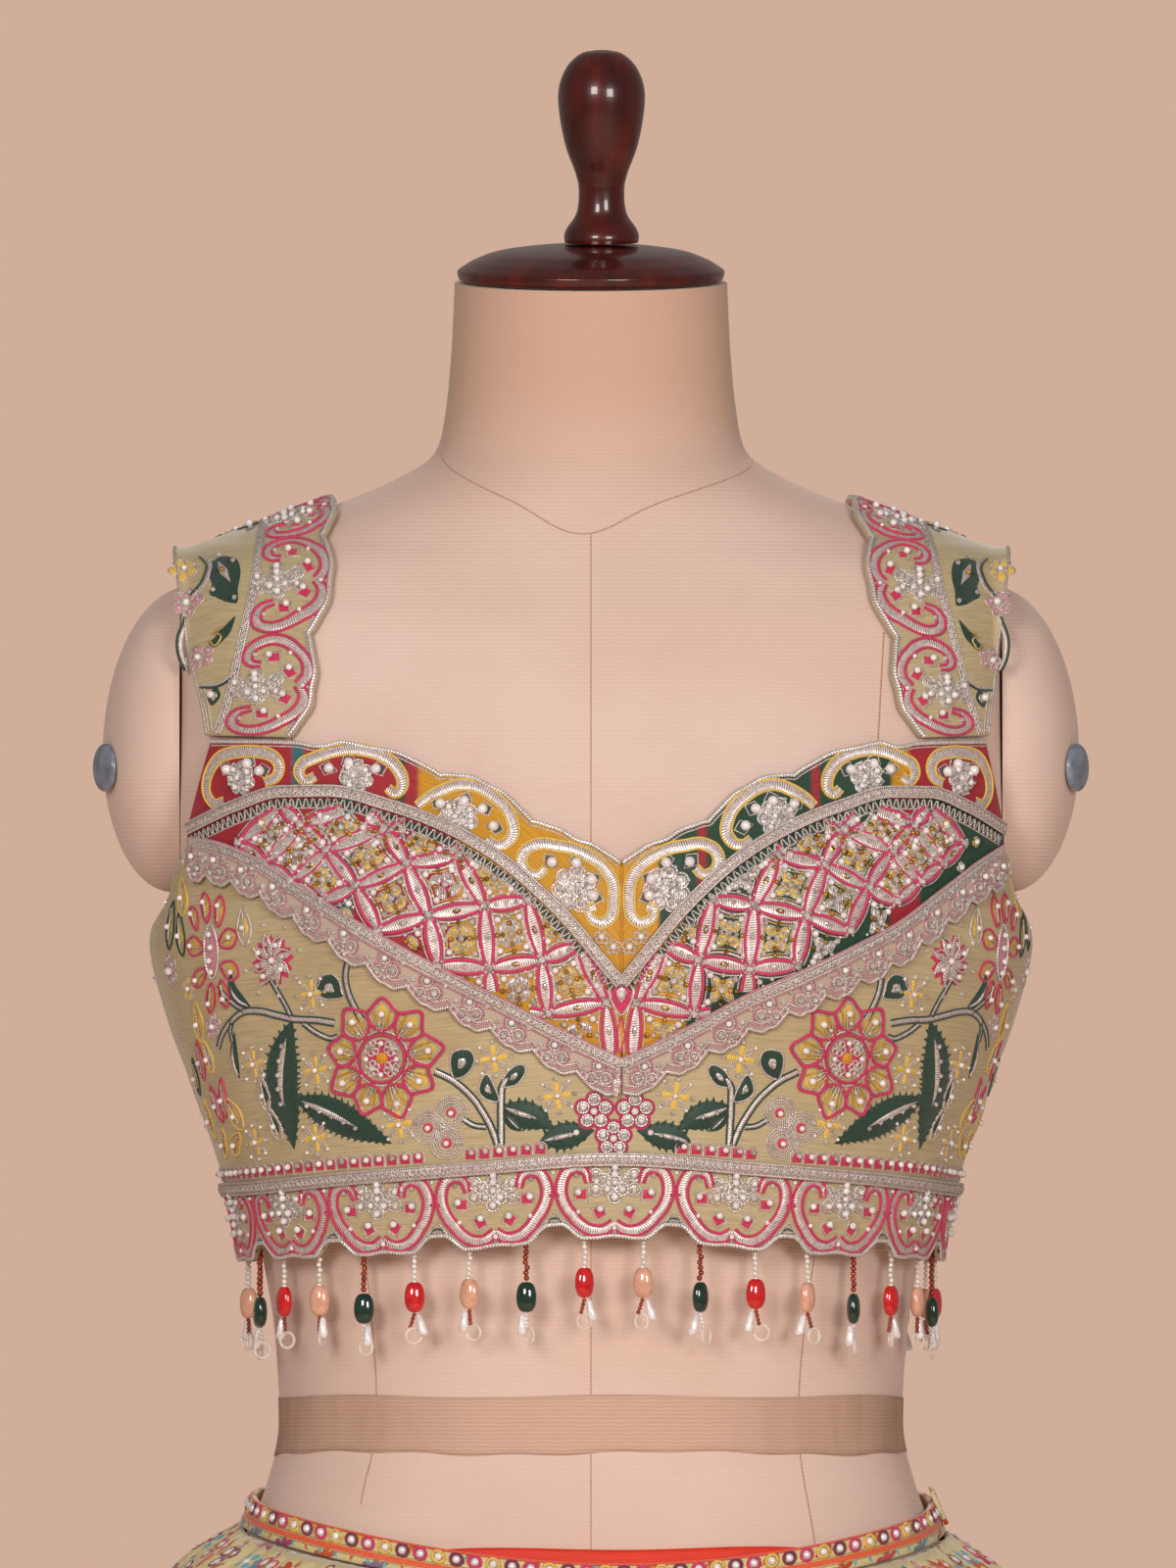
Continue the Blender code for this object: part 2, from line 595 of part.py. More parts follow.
def build_back(side, word):
    gap = side_seam_gap()
    t = np.concatenate([np.linspace(SIDE_SEAM + gap, 0.68, 8)[:-1], np.linspace(0.68, 1 - gap, 7)])
    low, high = hem_seam_at(t) + SEAM / 2, BACK_EDGE_AT(t)
    heights = low + (high - low) * np.linspace(0, 1, BODICE_ROWS + 1)[:, None]
    points = choli_at(side * t + np.zeros_like(heights), heights)
    cloth(f"choli_back_{word}", points[:, ::side], CLOTH, "olive_silk")


def hem_strip(name, t, low, high, slot, off=0.0, thick=CLOTH):
    heights = np.array([low, high])
    cloth(name, choli_at(t + np.zeros_like(heights), heights, off), thick, slot)


def build_hem_borders():
    edge = SEAM / 2 / DRESSED.half_round(85.0)
    spans = {
        "choli_hem_border_front": (-SIDE_SEAM + edge, SIDE_SEAM - edge, 48),
        "choli_hem_border_back_left": (SIDE_SEAM + edge, 1 - edge, 24),
        "choli_hem_border_back_right": (-1 + edge, -SIDE_SEAM - edge, 24),
    }
    for name, (start, end, columns) in spans.items():
        t = np.linspace(start, end, columns + 1)
        hem_strip(name, t, hem_edge_at(t), hem_seam_at(t) - SEAM / 2, "rose_border")
    t = np.linspace(-1 + edge, 1 - edge, 57)
    seam = hem_seam_at(t)
    above = CLOTH + TRIM_GAP
    hem_strip("choli_hem_braid", t, seam - BRAID_HALF, seam + BRAID_HALF, "silver_braid", above, TRIM)


def strap_foot_angles(x, cloth_x):
    """The angles, round the strap's axis, of its two ends at this distance from the middle."""
    x = np.clip(x, -SHOULDER_EDGE, SHOULDER_EDGE)
    foot = NECK_EDGE_AT(np.abs(cloth_x)) + STRAP_FOOT_GAP
    front = DRESSED.at(DRESSED.share_of(x, foot), foot)
    back_foot = BACK_EDGE_AT(0.83) + STRAP_FOOT_GAP
    depth = section_sizes(back_foot, 1.0)
    back = depth[2] * (1 - (np.abs(x) / depth[0]) ** depth[3]) ** (1 / depth[3])
    first = np.arctan2(foot - STRAP_AXIS_HEIGHT, STRAP_AXIS_Y - front[..., 1])
    last = math.pi - np.arctan2(back_foot - STRAP_AXIS_HEIGHT, back - STRAP_AXIS_Y)
    return first, last


def over_shoulder(x, angle):
    """Points on the clothed body in the plane of each x, at an angle round the strap's axis.

    Past the shoulder's edge the cloth stands straight out.
    """
    within_x = np.abs(np.clip(x, -SHOULDER_EDGE, SHOULDER_EDGE))
    near, far = np.zeros(x.shape), np.full(x.shape, 200.0)
    for _ in range(34):
        reach = (near + far) / 2
        y = STRAP_AXIS_Y - reach * np.cos(angle)
        height = STRAP_AXIS_HEIGHT + reach * np.sin(angle)
        width, front, back, square = section_sizes(height, 1.0)
        within = np.clip(1 - (within_x / width) ** square, 0, 1) ** (1 / square)
        before = -front * within - bust(within_x, height, 1.0)
        inside = (y > before) & (y < back * within) & (within_x < width)
        near, far = np.where(inside, reach, near), np.where(inside, far, reach)
    reach = near + STRAP_LIFT
    y = STRAP_AXIS_Y - reach * np.cos(angle)
    return np.stack([x, y, STRAP_AXIS_HEIGHT + reach * np.sin(angle)], axis=-1)


def strap_at(side, inner_at, outer_at):
    """A band over the shoulder between two edges, which are functions of the share along it."""

    def at(over, along, off):
        inner, outer = inner_at(along), outer_at(along)
        cloth_x = side * (inner + (outer - inner) * over)
        at_front = np.clip(1 - along / 0.44, 0, 1)
        x = cloth_x + (worn_x(cloth_x) - cloth_x) * at_front
        first, last = strap_foot_angles(x, cloth_x)
        return over_shoulder(x, first + (last - first) * along)

    return at


def build_strap(side, word):
    divide_out = lambda along: STRAP_DIVIDE(along) + SEAM / 2
    divide_in = lambda along: STRAP_DIVIDE(along) - SEAM / 2
    scalloped = lambda along: STRAP_INNER(along) - STRAP_SCALLOP_DEPTH * scallop(along * STRAP_SCALLOPS)
    plain, border = strap_at(side, divide_out, STRAP_OUTER), strap_at(side, scalloped, divide_in)
    patch(f"choli_strap_{word}", side, plain, 2, STRAP_STEPS, "olive_silk")
    patch(f"choli_strap_border_{word}", side, border, 2, STRAP_STEPS, "rose_border")


def strand_rings(t, kind):
    """Rings down one strand: thread, flat oval bead, thread and a pearl drop."""
    root = choli_at(t, hem_edge_at(t), -TAPE_INSIDE - TRIM / 2)
    ahead = choli_at(t, 80.0, 1.0) - choli_at(t, 80.0, 0.0)
    facing = math.atan2(ahead[0], -ahead[1])
    bead_top = -STRAND_LEAD[kind]
    bead_end = bead_top - BEAD_LONG
    stations = [
        (8.6, THREAD_RADIUS, 0.25),
        (bead_top, THREAD_RADIUS, THREAD_RADIUS),
        (bead_top - 0.26 * BEAD_LONG, BEAD_WIDE, BEAD_DEEP),
        (bead_end + 0.26 * BEAD_LONG, BEAD_WIDE, BEAD_DEEP),
        (bead_end, THREAD_RADIUS, THREAD_RADIUS),
        (bead_end - DROP_LONG, DROP_RADIUS, DROP_RADIUS),
    ]
    rings = []
    for drop, wide, deep in stations:
        angle = (np.arange(4) + 0.5) * math.pi / 2
        u, v = wide * 1.2 * np.cos(angle), deep * 1.2 * np.sin(angle)
        across = u * math.cos(facing) - v * math.sin(facing)
        behind = u * math.sin(facing) + v * math.cos(facing)
        rings.append(root + np.stack([across, behind, np.full(4, drop)], axis=-1))
    return np.array(rings)


def build_bead_fringe():
    """The strands, joined to a narrow tape just inside the hem."""
    t = np.linspace(-1, 1, STRANDS + 1)
    heights = hem_edge_at(t) + np.array([3.0, 7.5])[:, None]
    points = choli_at(t + np.zeros_like(heights), heights, -TAPE_INSIDE - TRIM)
    tape = cloth("choli_bead_fringe", points, TRIM, "beads", around=True)
    strands = bmesh.new()
    for index in range(STRANDS):
        add_loft(strands, strand_rings((2 * index + 1) / STRANDS - 1, (index - STRANDS // 2 + 1) % 3))
    mesh = bpy.data.meshes.new("strands")
    strands.to_mesh(mesh)
    strands.free()
    helper = bpy.data.objects.new("strands", mesh)
    helper.location = tape.location
    helper.hide_render = True
    helper.display_type = "WIRE"
    bpy.data.collections["cutters"].objects.link(helper)
    union = tape.modifiers.new("strands", "BOOLEAN")
    union.operation = "UNION"
    union.object = helper


def build_choli():
    for side, word in ((1, "left"), (-1, "right")):
        above = CLOTH + TRIM_GAP
        patch(f"choli_neck_border_{word}", side, neck_border_at(side), 28, 2, "mustard_silk")
        patch(f"choli_cup_{word}", side, cup_at(side), CUP_COLUMNS, 3, "lattice_silk")
        patch(f"choli_neck_braid_{word}", side, braid_at(side), 20, 1, "silver_braid", above, TRIM)
        patch(f"choli_lace_{word}", side, lace_at(side), 3 * LACE_SCALLOPS, 2, "silver_braid", above, TRIM)
        build_back(side, word)
        build_strap(side, word)
    build_front()
    build_hem_borders()
    build_bead_fringe()


# The skirt


def band_top(t):
    """The waistband's top edge, which dips at the front."""
    turn = math.pi * (t - BAND_TURN)
    return BAND_MEAN + BAND_FRONT_DIP * np.cos(turn) + BAND_SIDE_LIFT * np.cos(2 * turn)


def band_ring(t, height, off):
    """Points round the waist for shares that may run past 1."""
    return NUDE.at((np.asarray(t) + 1) % 2 - 1, height, off)


def fold_wave(turn):
    """Uneven folds round the skirt, between about -1.3 and 1.3, with each seam on a fold's side."""
    uneven = (0.9 * np.sin(2 * turn + 1) + 0.7 * np.sin(5 * turn)) * np.sin(SKIRT_PANELS / 2 * turn) ** 2
    return np.sin(FOLDS * turn + uneven) * (1 + 0.25 * np.sin(3 * turn + 2))


def skirt_at(t, drop):
    """A point in the middle of the skirt's cloth at share t and a drop under the waistband."""
    start_height = band_top(t) - BAND_TALL - SEAM
    start = band_ring(t, start_height, BAND_OFFSET + BAND_WALL / 2)
    turn = math.pi * t
    outward = np.stack([np.sin(turn), -np.cos(turn)], axis=-1)
    share, fold = FLARE_SHARE(drop), FLARE_FOLD(drop)
    flat = start[..., :2] * (1 - share[..., None]) + outward * (HEM_RADIUS * share)[..., None]
    flat = flat + outward * (fold * (fold_wave(turn) + 1))[..., None]
    hem_height = HEM_ABOVE_FLOOR - WAIST_ABOVE_FLOOR
    height = start_height + (hem_height - start_height) * drop / SKIRT[-1].drop
    return np.concatenate([flat, height[..., None]], axis=-1)


def build_skirt_panels():
    drops = np.array(SKIRT_ROWS)
    for index in range(SKIRT_PANELS):
        start, end = (2 * (index + step) / SKIRT_PANELS - 1 for step in (0, 1))
        t = np.linspace(start, end, COLUMNS_A_PANEL + 1)[None, :] + np.zeros((len(drops), 1))
        half_round = math.pi * (125.0 + (HEM_RADIUS - 125.0) * FLARE_SHARE(drops))
        t[:, 0] += PANEL_GAP / 2 / half_round
        t[:, -1] -= PANEL_GAP / 2 / half_round
        points = skirt_at(t, drops[:, None] + np.zeros_like(t))
        cloth(f"skirt_panel_{index + 1:02d}", points, SKIRT_WALL, "printed_silk", offset=0.0)


def build_waistband():
    half_round = NUDE.half_round(-35.0)
    closure, gap = SIDE_SEAM, SEAM / 2 / half_round
    t = np.linspace(closure + gap, closure + 2 - gap, 61)
    heights = band_top(t) - np.array([BAND_TALL, 0.0])[:, None]
    band = band_ring(t + np.zeros_like(heights), heights, BAND_OFFSET)
    cloth("skirt_waistband", band, BAND_WALL, "printed_silk")
    t = FACING_CENTRE + np.linspace(-FACING_REACH, FACING_REACH, 23)
    shows = FACING_SHOWS * (1 - np.abs((t - FACING_CENTRE) / FACING_REACH) ** 3.0) - 0.8
    up = np.array([0.0, 0.5, 1.0])[:, None]
    heights = band_top(t) + shows * up - FACING_BELOW * (1 - up)
    facing = band_ring(t + np.zeros_like(heights), heights, FACING_OFFSET)
    cloth("skirt_facing", facing, FACING_WALL, "orange_silk")
    t = closure + np.linspace(-11.0, 7.0, 5) / half_round
    heights = band_top(t) + np.array([-9.0, 4.0])[:, None] + np.array([0.0, -0.4, -0.4, -0.2, 0.6])
    points = band_ring(t + np.zeros_like(heights), heights, BAND_OFFSET + BAND_WALL + 0.5)
    cloth("skirt_band_end", points, 1.5, "printed_silk")


def main():
    for obj in list(bpy.data.objects):
        bpy.data.objects.remove(obj)
    for name in ("lehenga_set", "cutters"):
        collection = bpy.data.collections.new(name)
        bpy.context.scene.collection.children.link(collection)
    build_torso()
    for side, word in ((1, "left"), (-1, "right")):
        build_shoulder(side, word)
    build_neck_cap()
    build_stand()
    build_choli()
    build_skirt_panels()
    build_waistband()


main()
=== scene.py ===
"""Looks of a lehenga set worn by a limbless dress form.

Lengths are in millimetres until they reach a mesh, and heights are counted from the form's waist.
The form faces -Y, and the wearer's left is +X. The embroidery is drawn flat, in millimetres, and
laid on the cloth by the surface that it belongs to.
"""

import math
from collections import namedtuple

import bmesh
import bpy
import numpy as np
from mathutils import Euler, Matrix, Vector


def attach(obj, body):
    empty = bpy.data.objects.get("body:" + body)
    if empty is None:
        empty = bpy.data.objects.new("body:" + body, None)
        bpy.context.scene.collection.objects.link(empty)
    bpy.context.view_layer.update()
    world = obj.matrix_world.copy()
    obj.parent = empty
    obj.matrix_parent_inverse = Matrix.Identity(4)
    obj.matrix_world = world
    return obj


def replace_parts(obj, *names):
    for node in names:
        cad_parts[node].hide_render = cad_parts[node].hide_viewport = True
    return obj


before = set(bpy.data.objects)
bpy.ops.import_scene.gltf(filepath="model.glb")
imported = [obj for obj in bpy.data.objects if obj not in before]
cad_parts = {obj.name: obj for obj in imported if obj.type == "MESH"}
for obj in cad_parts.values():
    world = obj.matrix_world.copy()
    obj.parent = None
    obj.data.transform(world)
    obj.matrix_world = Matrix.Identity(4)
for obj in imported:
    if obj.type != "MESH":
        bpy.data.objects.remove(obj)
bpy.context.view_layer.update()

MM = 0.001
WAIST_ABOVE_FLOOR = 1080.0

# The sizes below are the part's own

Section = namedtuple("Section", "height half_width front back squareness")
BODY = [
    Section(-320.0, 164.0, 115.0, 118.0, 2.2),
    Section(-300.0, 170.0, 118.0, 124.0, 2.2),
    Section(-230.0, 176.0, 119.0, 131.0, 2.2),
    Section(-160.0, 170.0, 115.0, 124.0, 2.2),
    Section(-100.0, 154.0, 108.0, 111.0, 2.2),
    Section(-50.0, 134.0, 99.0, 97.0, 2.2),
    Section(-25.0, 123.0, 95.0, 90.0, 2.2),
    Section(0.0, 117.5, 92.0, 85.0, 2.2),
    Section(30.0, 119.0, 92.5, 84.0, 2.2),
    Section(60.0, 123.5, 95.0, 86.0, 2.2),
    Section(91.0, 132.0, 101.0, 89.0, 2.25),
    Section(130.0, 146.0, 108.0, 94.0, 2.35),
    Section(155.0, 153.0, 112.0, 97.0, 2.4),
    Section(180.0, 158.0, 115.0, 99.0, 2.45),
    Section(205.0, 160.0, 114.0, 101.0, 2.5),
    Section(235.0, 161.0, 108.0, 102.0, 2.6),
    Section(270.0, 161.0, 97.0, 99.0, 2.6),
    Section(300.0, 161.0, 85.0, 92.0, 2.5),
    Section(315.0, 160.0, 77.0, 86.0, 2.3),
    Section(322.0, 157.0, 73.0, 82.0, 2.2),
    Section(326.0, 152.0, 71.0, 79.0, 2.1),
    Section(330.0, 142.0, 69.0, 77.0, 2.0),
    Section(336.0, 125.0, 66.0, 74.0, 2.0),
    Section(343.0, 106.0, 63.0, 71.0, 2.0),
    Section(350.0, 88.0, 60.0, 68.0, 2.0),
    Section(357.0, 72.0, 57.0, 64.0, 2.0),
    Section(366.0, 59.0, 54.0, 59.0, 2.0),
    Section(375.0, 56.0, 52.5, 56.0, 2.0),
    Section(400.0, 53.0, 51.5, 53.0, 2.0),
    Section(428.5, 51.5, 51.0, 51.0, 2.0),
]
BUST_RISE, BUST_HEIGHT, BUST_APART = 15.0, 178.0, 72.0
BUST_WIDE, BUST_TALL = 40.0, 44.0
ARM_PLANE = 154.5
ARM_PLANE_FOOT = 196.0
SHOULDER_CAP = {"height": 258.0, "tall": 57.5, "deep": 46.0, "bulge": 29.5, "droop": 5.0}
FINIAL_AXIS_X = 4.0
NECK_TOP, NECK_LEAN = 430.6, 5.8
Ease = namedtuple("Ease", "height side front back")
CHOLI_EASE = [
    Ease(40.0, 8.0, 15.0, 5.5),
    Ease(67.0, 7.0, 13.0, 5.0),
    Ease(91.0, 5.0, 10.5, 4.5),
    Ease(112.0, 4.0, 7.5, 4.0),
    Ease(130.0, 4.0, 5.0, 3.5),
    Ease(148.0, 5.5, 3.0, 3.0),
    Ease(178.0, 7.0, 1.3, 2.0),
    Ease(206.0, 1.4, 1.0, 1.0),
    Ease(250.0, 1.0, 1.0, 1.0),
]
CLEAVAGE_BRIDGE = 4.0
CLOTH, SEAM, TRIM_GAP, TRIM = 1.8, 0.36, 0.7, 1.0
TWIST, TWIST_REACH, CHOLI_TURN = 11.5, 165.0, 0.023
# Edges and seams of the choli as distances from its centre line, or shares round it, and heights
NECK_EDGE = [
    (0, 209), (16, 213.7), (33, 224.7), (50, 235), (66, 242.2), (90, 248.7), (104, 251.5), (116, 255),
    (144, 256.3),
]
NECK_SEAM = [
    (0, 164.5), (10, 176), (24, 191.6), (45, 210.1), (65, 222), (83, 229.5), (104, 235.5), (120, 235.7),
    (135, 231), (152, 222.5),
]
UNDERBUST_SEAM = [
    (0, 133.4), (25, 145.6), (48, 157.9), (68, 167.5), (88, 177.7), (108, 189.3), (128, 203.9),
    (140, 211.5), (152, 216.5),
]
# The seam under the bust hangs lower at the left side than at the right by twice this
BUST_SKEW = [(0, 0), (48, 0), (68, 1), (88, 2.4), (108, 4.3), (124, 4.8), (140, 3.2), (152, 1.0)]
NECK_SCALLOP_ENDS = [(0, 0), (33, 1), (66, 2), (116, 3), (152, 4)]
NECK_END_TOP, FRONT_END = 144.0, 152.0
ARMHOLE_LOW = 195.5
SIDE_SEAM = 0.5
BACK_EDGE = [(0.5, 195.5), (0.59, 199), (0.63, 210), (0.67, 219), (0.83, 220), (0.88, 213), (1, 203)]
HEM_SEAM = [(0, 98.6), (0.02, 98.5), (0.06, 97.6), (0.13, 95.4), (0.25, 92.4), (0.42, 88.8), (1, 88)]
HEM_EDGE = [(0, 74.5), (0.02, 74.4), (0.06, 73.5), (0.12, 71), (0.18, 69.3), (0.31, 67.8), (0.5, 67), (1, 67)]
HEM_SCALLOPS, SCALLOP_DEPTH = 17, 5.8
NECK_SCALLOP_DEPTH, SCALLOPS_FADE_AT = 4.6, 111.0
LACE_SCALLOPS, LACE_DROP, LACE_SCALLOP, LACE_END_LIFT = 12, 10.0, 4.0, 1.2
BRAID_HALF = 2.6
StrapStation = namedtuple("StrapStation", "along inner divide outer")
STRAP = [
    StrapStation(0.0, 118.0, 142.5, 146.0),
    StrapStation(0.05, 114.0, 138.5, 147.5),
    StrapStation(0.13, 110.0, 133.5, 151.0),
    StrapStation(0.22, 104.5, 128.0, 155.5),
    StrapStation(0.32, 102.0, 124.5, 158.0),
    StrapStation(0.44, 101.0, 123.0, 158.0),
    StrapStation(0.65, 98.0, 119.0, 152.0),
    StrapStation(1.0, 90.0, 110.5, 132.0),
]
STRAP_AXIS_Y, STRAP_AXIS_HEIGHT, SHOULDER_EDGE = 3.0, 235.0, 151.0
STRAP_SCALLOPS, STRAP_SCALLOP_DEPTH = 7, 4.6
STRAP_LIFT, STRAP_FOOT_GAP = 2.0, 0.9
STRANDS = 34
BEAD_LONG, BEAD_WIDE, BEAD_DEEP = 11.5, 3.9, 2.6
TAPE_INSIDE = 0.7
BAND_TALL, BAND_OFFSET, BAND_WALL = 10.5, 2.2, 1.8
BAND_MEAN, BAND_FRONT_DIP, BAND_SIDE_LIFT, BAND_TURN = -34.15, -14.3, -5.15, 0.03
FACING_OFFSET, FACING_WALL, FACING_BELOW, FACING_SHOWS = 0.6, 1.0, 8.0, 6.5
FACING_CENTRE, FACING_REACH = 0.035, 0.20
BAND_LEVEL = -35.0  # a height in the middle of the band, to measure round the waist
Flare = namedtuple("Flare", "drop share fold")
SKIRT = [
    Flare(0.0, 0.0, 0.7),
    Flare(5.0, 0.022, 1.4),
    Flare(14.0, 0.060, 2.6),
    Flare(50.0, 0.128, 4.6),
    Flare(110.0, 0.200, 7.0),
    Flare(200.0, 0.290, 10.0),
    Flare(400.0, 0.470, 16.0),
    Flare(700.0, 0.725, 22.0),
    Flare(1030.0, 1.0, 27.0),
]
WAIST_RADIUS, HEM_RADIUS, HEM_ABOVE_FLOOR, SKIRT_WALL, PANEL_GAP = 125.0, 432.0, 12.0, 1.2, 0.5
SKIRT_PANELS, FOLDS = 12, 18
BASE_RADIUS, BASE_TALL, POLE_RADIUS, FLANGE_RADIUS, FLANGE_TALL = 195.0, 24.0, 15.0, 42.0, 8.0

# The sizes from here on belong to the looks alone

TAPE_LOW, TAPE_HIGH, TAPE_THICK = -11.5, 10.0, 0.25  # the gauze round the form's waist
PRINT_APART = 16.0  # the skirt's printed flowers
STRAP_LENGTH = 300.0  # about a strap's length, which its places along are counted in
NET_THICK = 0.4
HEM_SCROLL_WIDE, STRAP_SCROLL_WIDE = 44.6, 43.0
# The form's seams, as arc length from its centre front and height
FORM_SEAMS = [
    [(0, -300), (0, -150), (0, 0), (0, 100), (0, 200), (0, 300), (0, 334)],
    [(-73.6, 366.3), (-30.9, 346.7), (-3.0, 333.7), (28.7, 346.7), (90.6, 366.3)],
    [(-115.2, 261.6), (-101.7, 167.2), (-84.6, 19.2), (-90.4, -30.7)],
    [(111.6, 296.7), (103.6, 167.2), (81.9, 19.2), (86.9, -47.4)],
]


def curve_through(points):
    """A smooth curve with no overshoot through (place, value) pairs, as a function on arrays."""
    xs, ys = (np.array(column, float) for column in zip(*points))
    slopes = np.diff(ys) / np.diff(xs)
    tangents = np.concatenate([slopes[:1], np.zeros(len(xs) - 2), slopes[-1:]])
    same = slopes[:-1] * slopes[1:] > 0
    both = np.where(same, slopes[:-1] + slopes[1:], 1.0)
    tangents[1:-1] = np.where(same, 2 * slopes[:-1] * slopes[1:] / both, 0.0)

    def at(x):
        x = np.clip(np.asarray(x, float), xs[0], xs[-1])
        i = np.clip(np.searchsorted(xs, x, side="right") - 1, 0, len(xs) - 2)
        step = xs[i + 1] - xs[i]
        s = (x - xs[i]) / step
        rise = (3 - 2 * s) * s * s
        return (
            ys[i] * (1 - rise)
            + ys[i + 1] * rise
            + tangents[i] * step * s * (1 - s) ** 2
            - tangents[i + 1] * step * s * s * (1 - s)
        )

    return at


def column(rows, name, place):
    """One column of a table as a smooth function of another."""
    return curve_through([(getattr(row, place), getattr(row, name)) for row in rows])


BODY_WIDTH, BODY_FRONT, BODY_BACK, BODY_SQUARE = (
    column(BODY, name, "height") for name in ("half_width", "front", "back", "squareness")
)
EASE_SIDE, EASE_FRONT, EASE_BACK = (
    column(CHOLI_EASE, name, "height") for name in ("side", "front", "back")
)
STRAP_INNER, STRAP_DIVIDE, STRAP_OUTER = (
    column(STRAP, name, "along") for name in ("inner", "divide", "outer")
)
FLARE_SHARE, FLARE_FOLD = (column(SKIRT, name, "drop") for name in ("share", "fold"))
NECK_EDGE_AT, NECK_SEAM_AT, UNDERBUST_AT, BUST_SKEW_AT, BACK_EDGE_AT = (
    curve_through(points) for points in (NECK_EDGE, NECK_SEAM, UNDERBUST_SEAM, BUST_SKEW, BACK_EDGE)
)
HEM_SEAM_AT, HEM_EDGE_AT, NECK_SCALLOP_AT = (
    curve_through(points) for points in (HEM_SEAM, HEM_EDGE, NECK_SCALLOP_ENDS)
)


def bust(x, height, bridged):
    """How far the bust stands in front of the section, and the cloth's bridge between its sides."""
    tall = np.exp(-(((height - BUST_HEIGHT) / BUST_TALL) ** 2))
    rise = BUST_RISE * tall * np.exp(-(((np.abs(x) - BUST_APART) / BUST_WIDE) ** 2))
    return rise + bridged * CLEAVAGE_BRIDGE * tall * np.exp(-((x / BUST_WIDE) ** 2))


def section_sizes(height, dressed):
    """Half width, front depth, back depth and squareness of the body or of the choli round it."""
    extra = [ease(height) * dressed for ease in (EASE_SIDE, EASE_FRONT, EASE_BACK)]
    return (
        BODY_WIDTH(height) + extra[0],
        BODY_FRONT(height) + extra[1],
        BODY_BACK(height) + extra[2],
        BODY_SQUARE(height),
    )


def arm_limit(height, dressed):
    """The flat plane that a shoulder cap closes, and no limit under it."""
    return ARM_PLANE + np.maximum(0, ARM_PLANE_FOOT - height) * 0.4 + EASE_SIDE(height) * dressed


class Shell:
    """The body's surface, or the choli's inner face, tabled by height and by share of the way round."""

    STEP, SHARES = 2.0, 257

    def __init__(self, dressed):
        self.low, self.high = BODY[0].height, BODY[-1].height
        count = int((self.high - self.low) / self.STEP) + 1
        self.heights = np.linspace(self.low, self.high, count)
        rings = [self.ring(height, dressed) for height in self.heights]
        self.x, self.y, self.length = (np.array(part) for part in zip(*rings))
        along = np.gradient(self.x, axis=1), np.gradient(self.y, axis=1)
        upward = np.gradient(self.x, self.heights, axis=0), np.gradient(self.y, self.heights, axis=0)
        normal = np.stack([along[1], -along[0], along[0] * upward[1] - along[1] * upward[0]], axis=-1)
        normal[:, (0, -1), 0] = 0.0
        self.normal = normal / np.linalg.norm(normal, axis=-1, keepdims=True)

    def ring(self, height, dressed):
        """The places and the length of half a section's outline, in even steps of arc length."""
        width, front, back, square = section_sizes(height, dressed)
        angle = np.linspace(0, math.pi, 1441)
        x = width * np.abs(np.sin(angle)) ** (2 / square)
        reach = np.abs(np.cos(angle)) ** (2 / square)
        before = angle <= math.pi / 2
        y = np.where(before, -front * reach - bust(x, height, dressed), back * reach)
        x = np.minimum(x, arm_limit(height, dressed))
        steps = np.hypot(np.diff(x), np.diff(y))
        gone = np.concatenate([[0], np.cumsum(steps)])
        share = np.linspace(0, gone[-1], self.SHARES)
        return np.interp(share, gone, x), np.interp(share, gone, y), gone[-1]

    def look_up(self, table, t, height):
        """Bilinear value of a table at shares t (0 to 1) and heights."""
        row = np.clip((height - self.low) / (self.heights[1] - self.low), 0, len(self.heights) - 1.001)
        place = np.clip(t, 0, 1) * (self.SHARES - 1.001)
        i, j = row.astype(int), place.astype(int)
        u, v = row - i, place - j
        if table.ndim == 3:
            u, v = u[..., None], v[..., None]
        return (
            table[i, j] * (1 - u) * (1 - v)
            + table[i + 1, j] * u * (1 - v)
            + table[i, j + 1] * (1 - u) * v
            + table[i + 1, j + 1] * u * v
        )

    def at(self, t, height, off=0.0):
        """Points at signed shares t and heights, moved out of the surface by off."""
        t, height, off = np.broadcast_arrays(*(np.asarray(v, float) for v in (t, height, off)))
        side = np.where(t < 0, -1.0, 1.0)
        x = self.look_up(self.x, np.abs(t), height)
        y = self.look_up(self.y, np.abs(t), height)
        normal = self.look_up(self.normal, np.abs(t), height)
        points = np.stack([x, y, height], axis=-1) + normal * off[..., None]
        points[..., 0] *= side
        return points

    def half_round(self, height):
        """Half the way round at a height."""
        return np.interp(height, self.heights, self.length)

    def share_of(self, x, height):
        """The signed share t at which the front of the surface has this x."""
        x, height = np.broadcast_arrays(np.asarray(x, float), np.asarray(height, float))
        low, high = np.zeros(x.shape), np.full(x.shape, 0.5)
        for _ in range(24):
            middle = (low + high) / 2
            inside = self.look_up(self.x, middle, height) < np.abs(x)
            low, high = np.where(inside, middle, low), np.where(inside, high, middle)
        return np.where(x < 0, -low, low)


NUDE, DRESSED = Shell(0.0), Shell(1.0)


def worn_x(across):
    """The choli sits a little turned on the form: its centre line is to the left of the form's."""
    return across + TWIST * (1 - (across / TWIST_REACH) ** 2)


def choli_at(t, height, off=0.0):
    """A point of the choli at a share t from its own centre front, which is turned on the body."""
    return DRESSED.at((t + CHOLI_TURN + 1) % 2 - 1, height, off)


def front_at(across, height, off):
    """A point of the choli's front, from its distance to the choli's own centre line."""
    return DRESSED.at(DRESSED.share_of(worn_x(across), height), height, off)


def scallop(place):
    """Lobes of depth 1 and length 1, with a small ripple on each."""
    within = place - np.floor(place)
    return 1 - np.abs(2 * within - 1) ** 2.6 - 0.12 * np.sin(3 * math.pi * within) ** 2


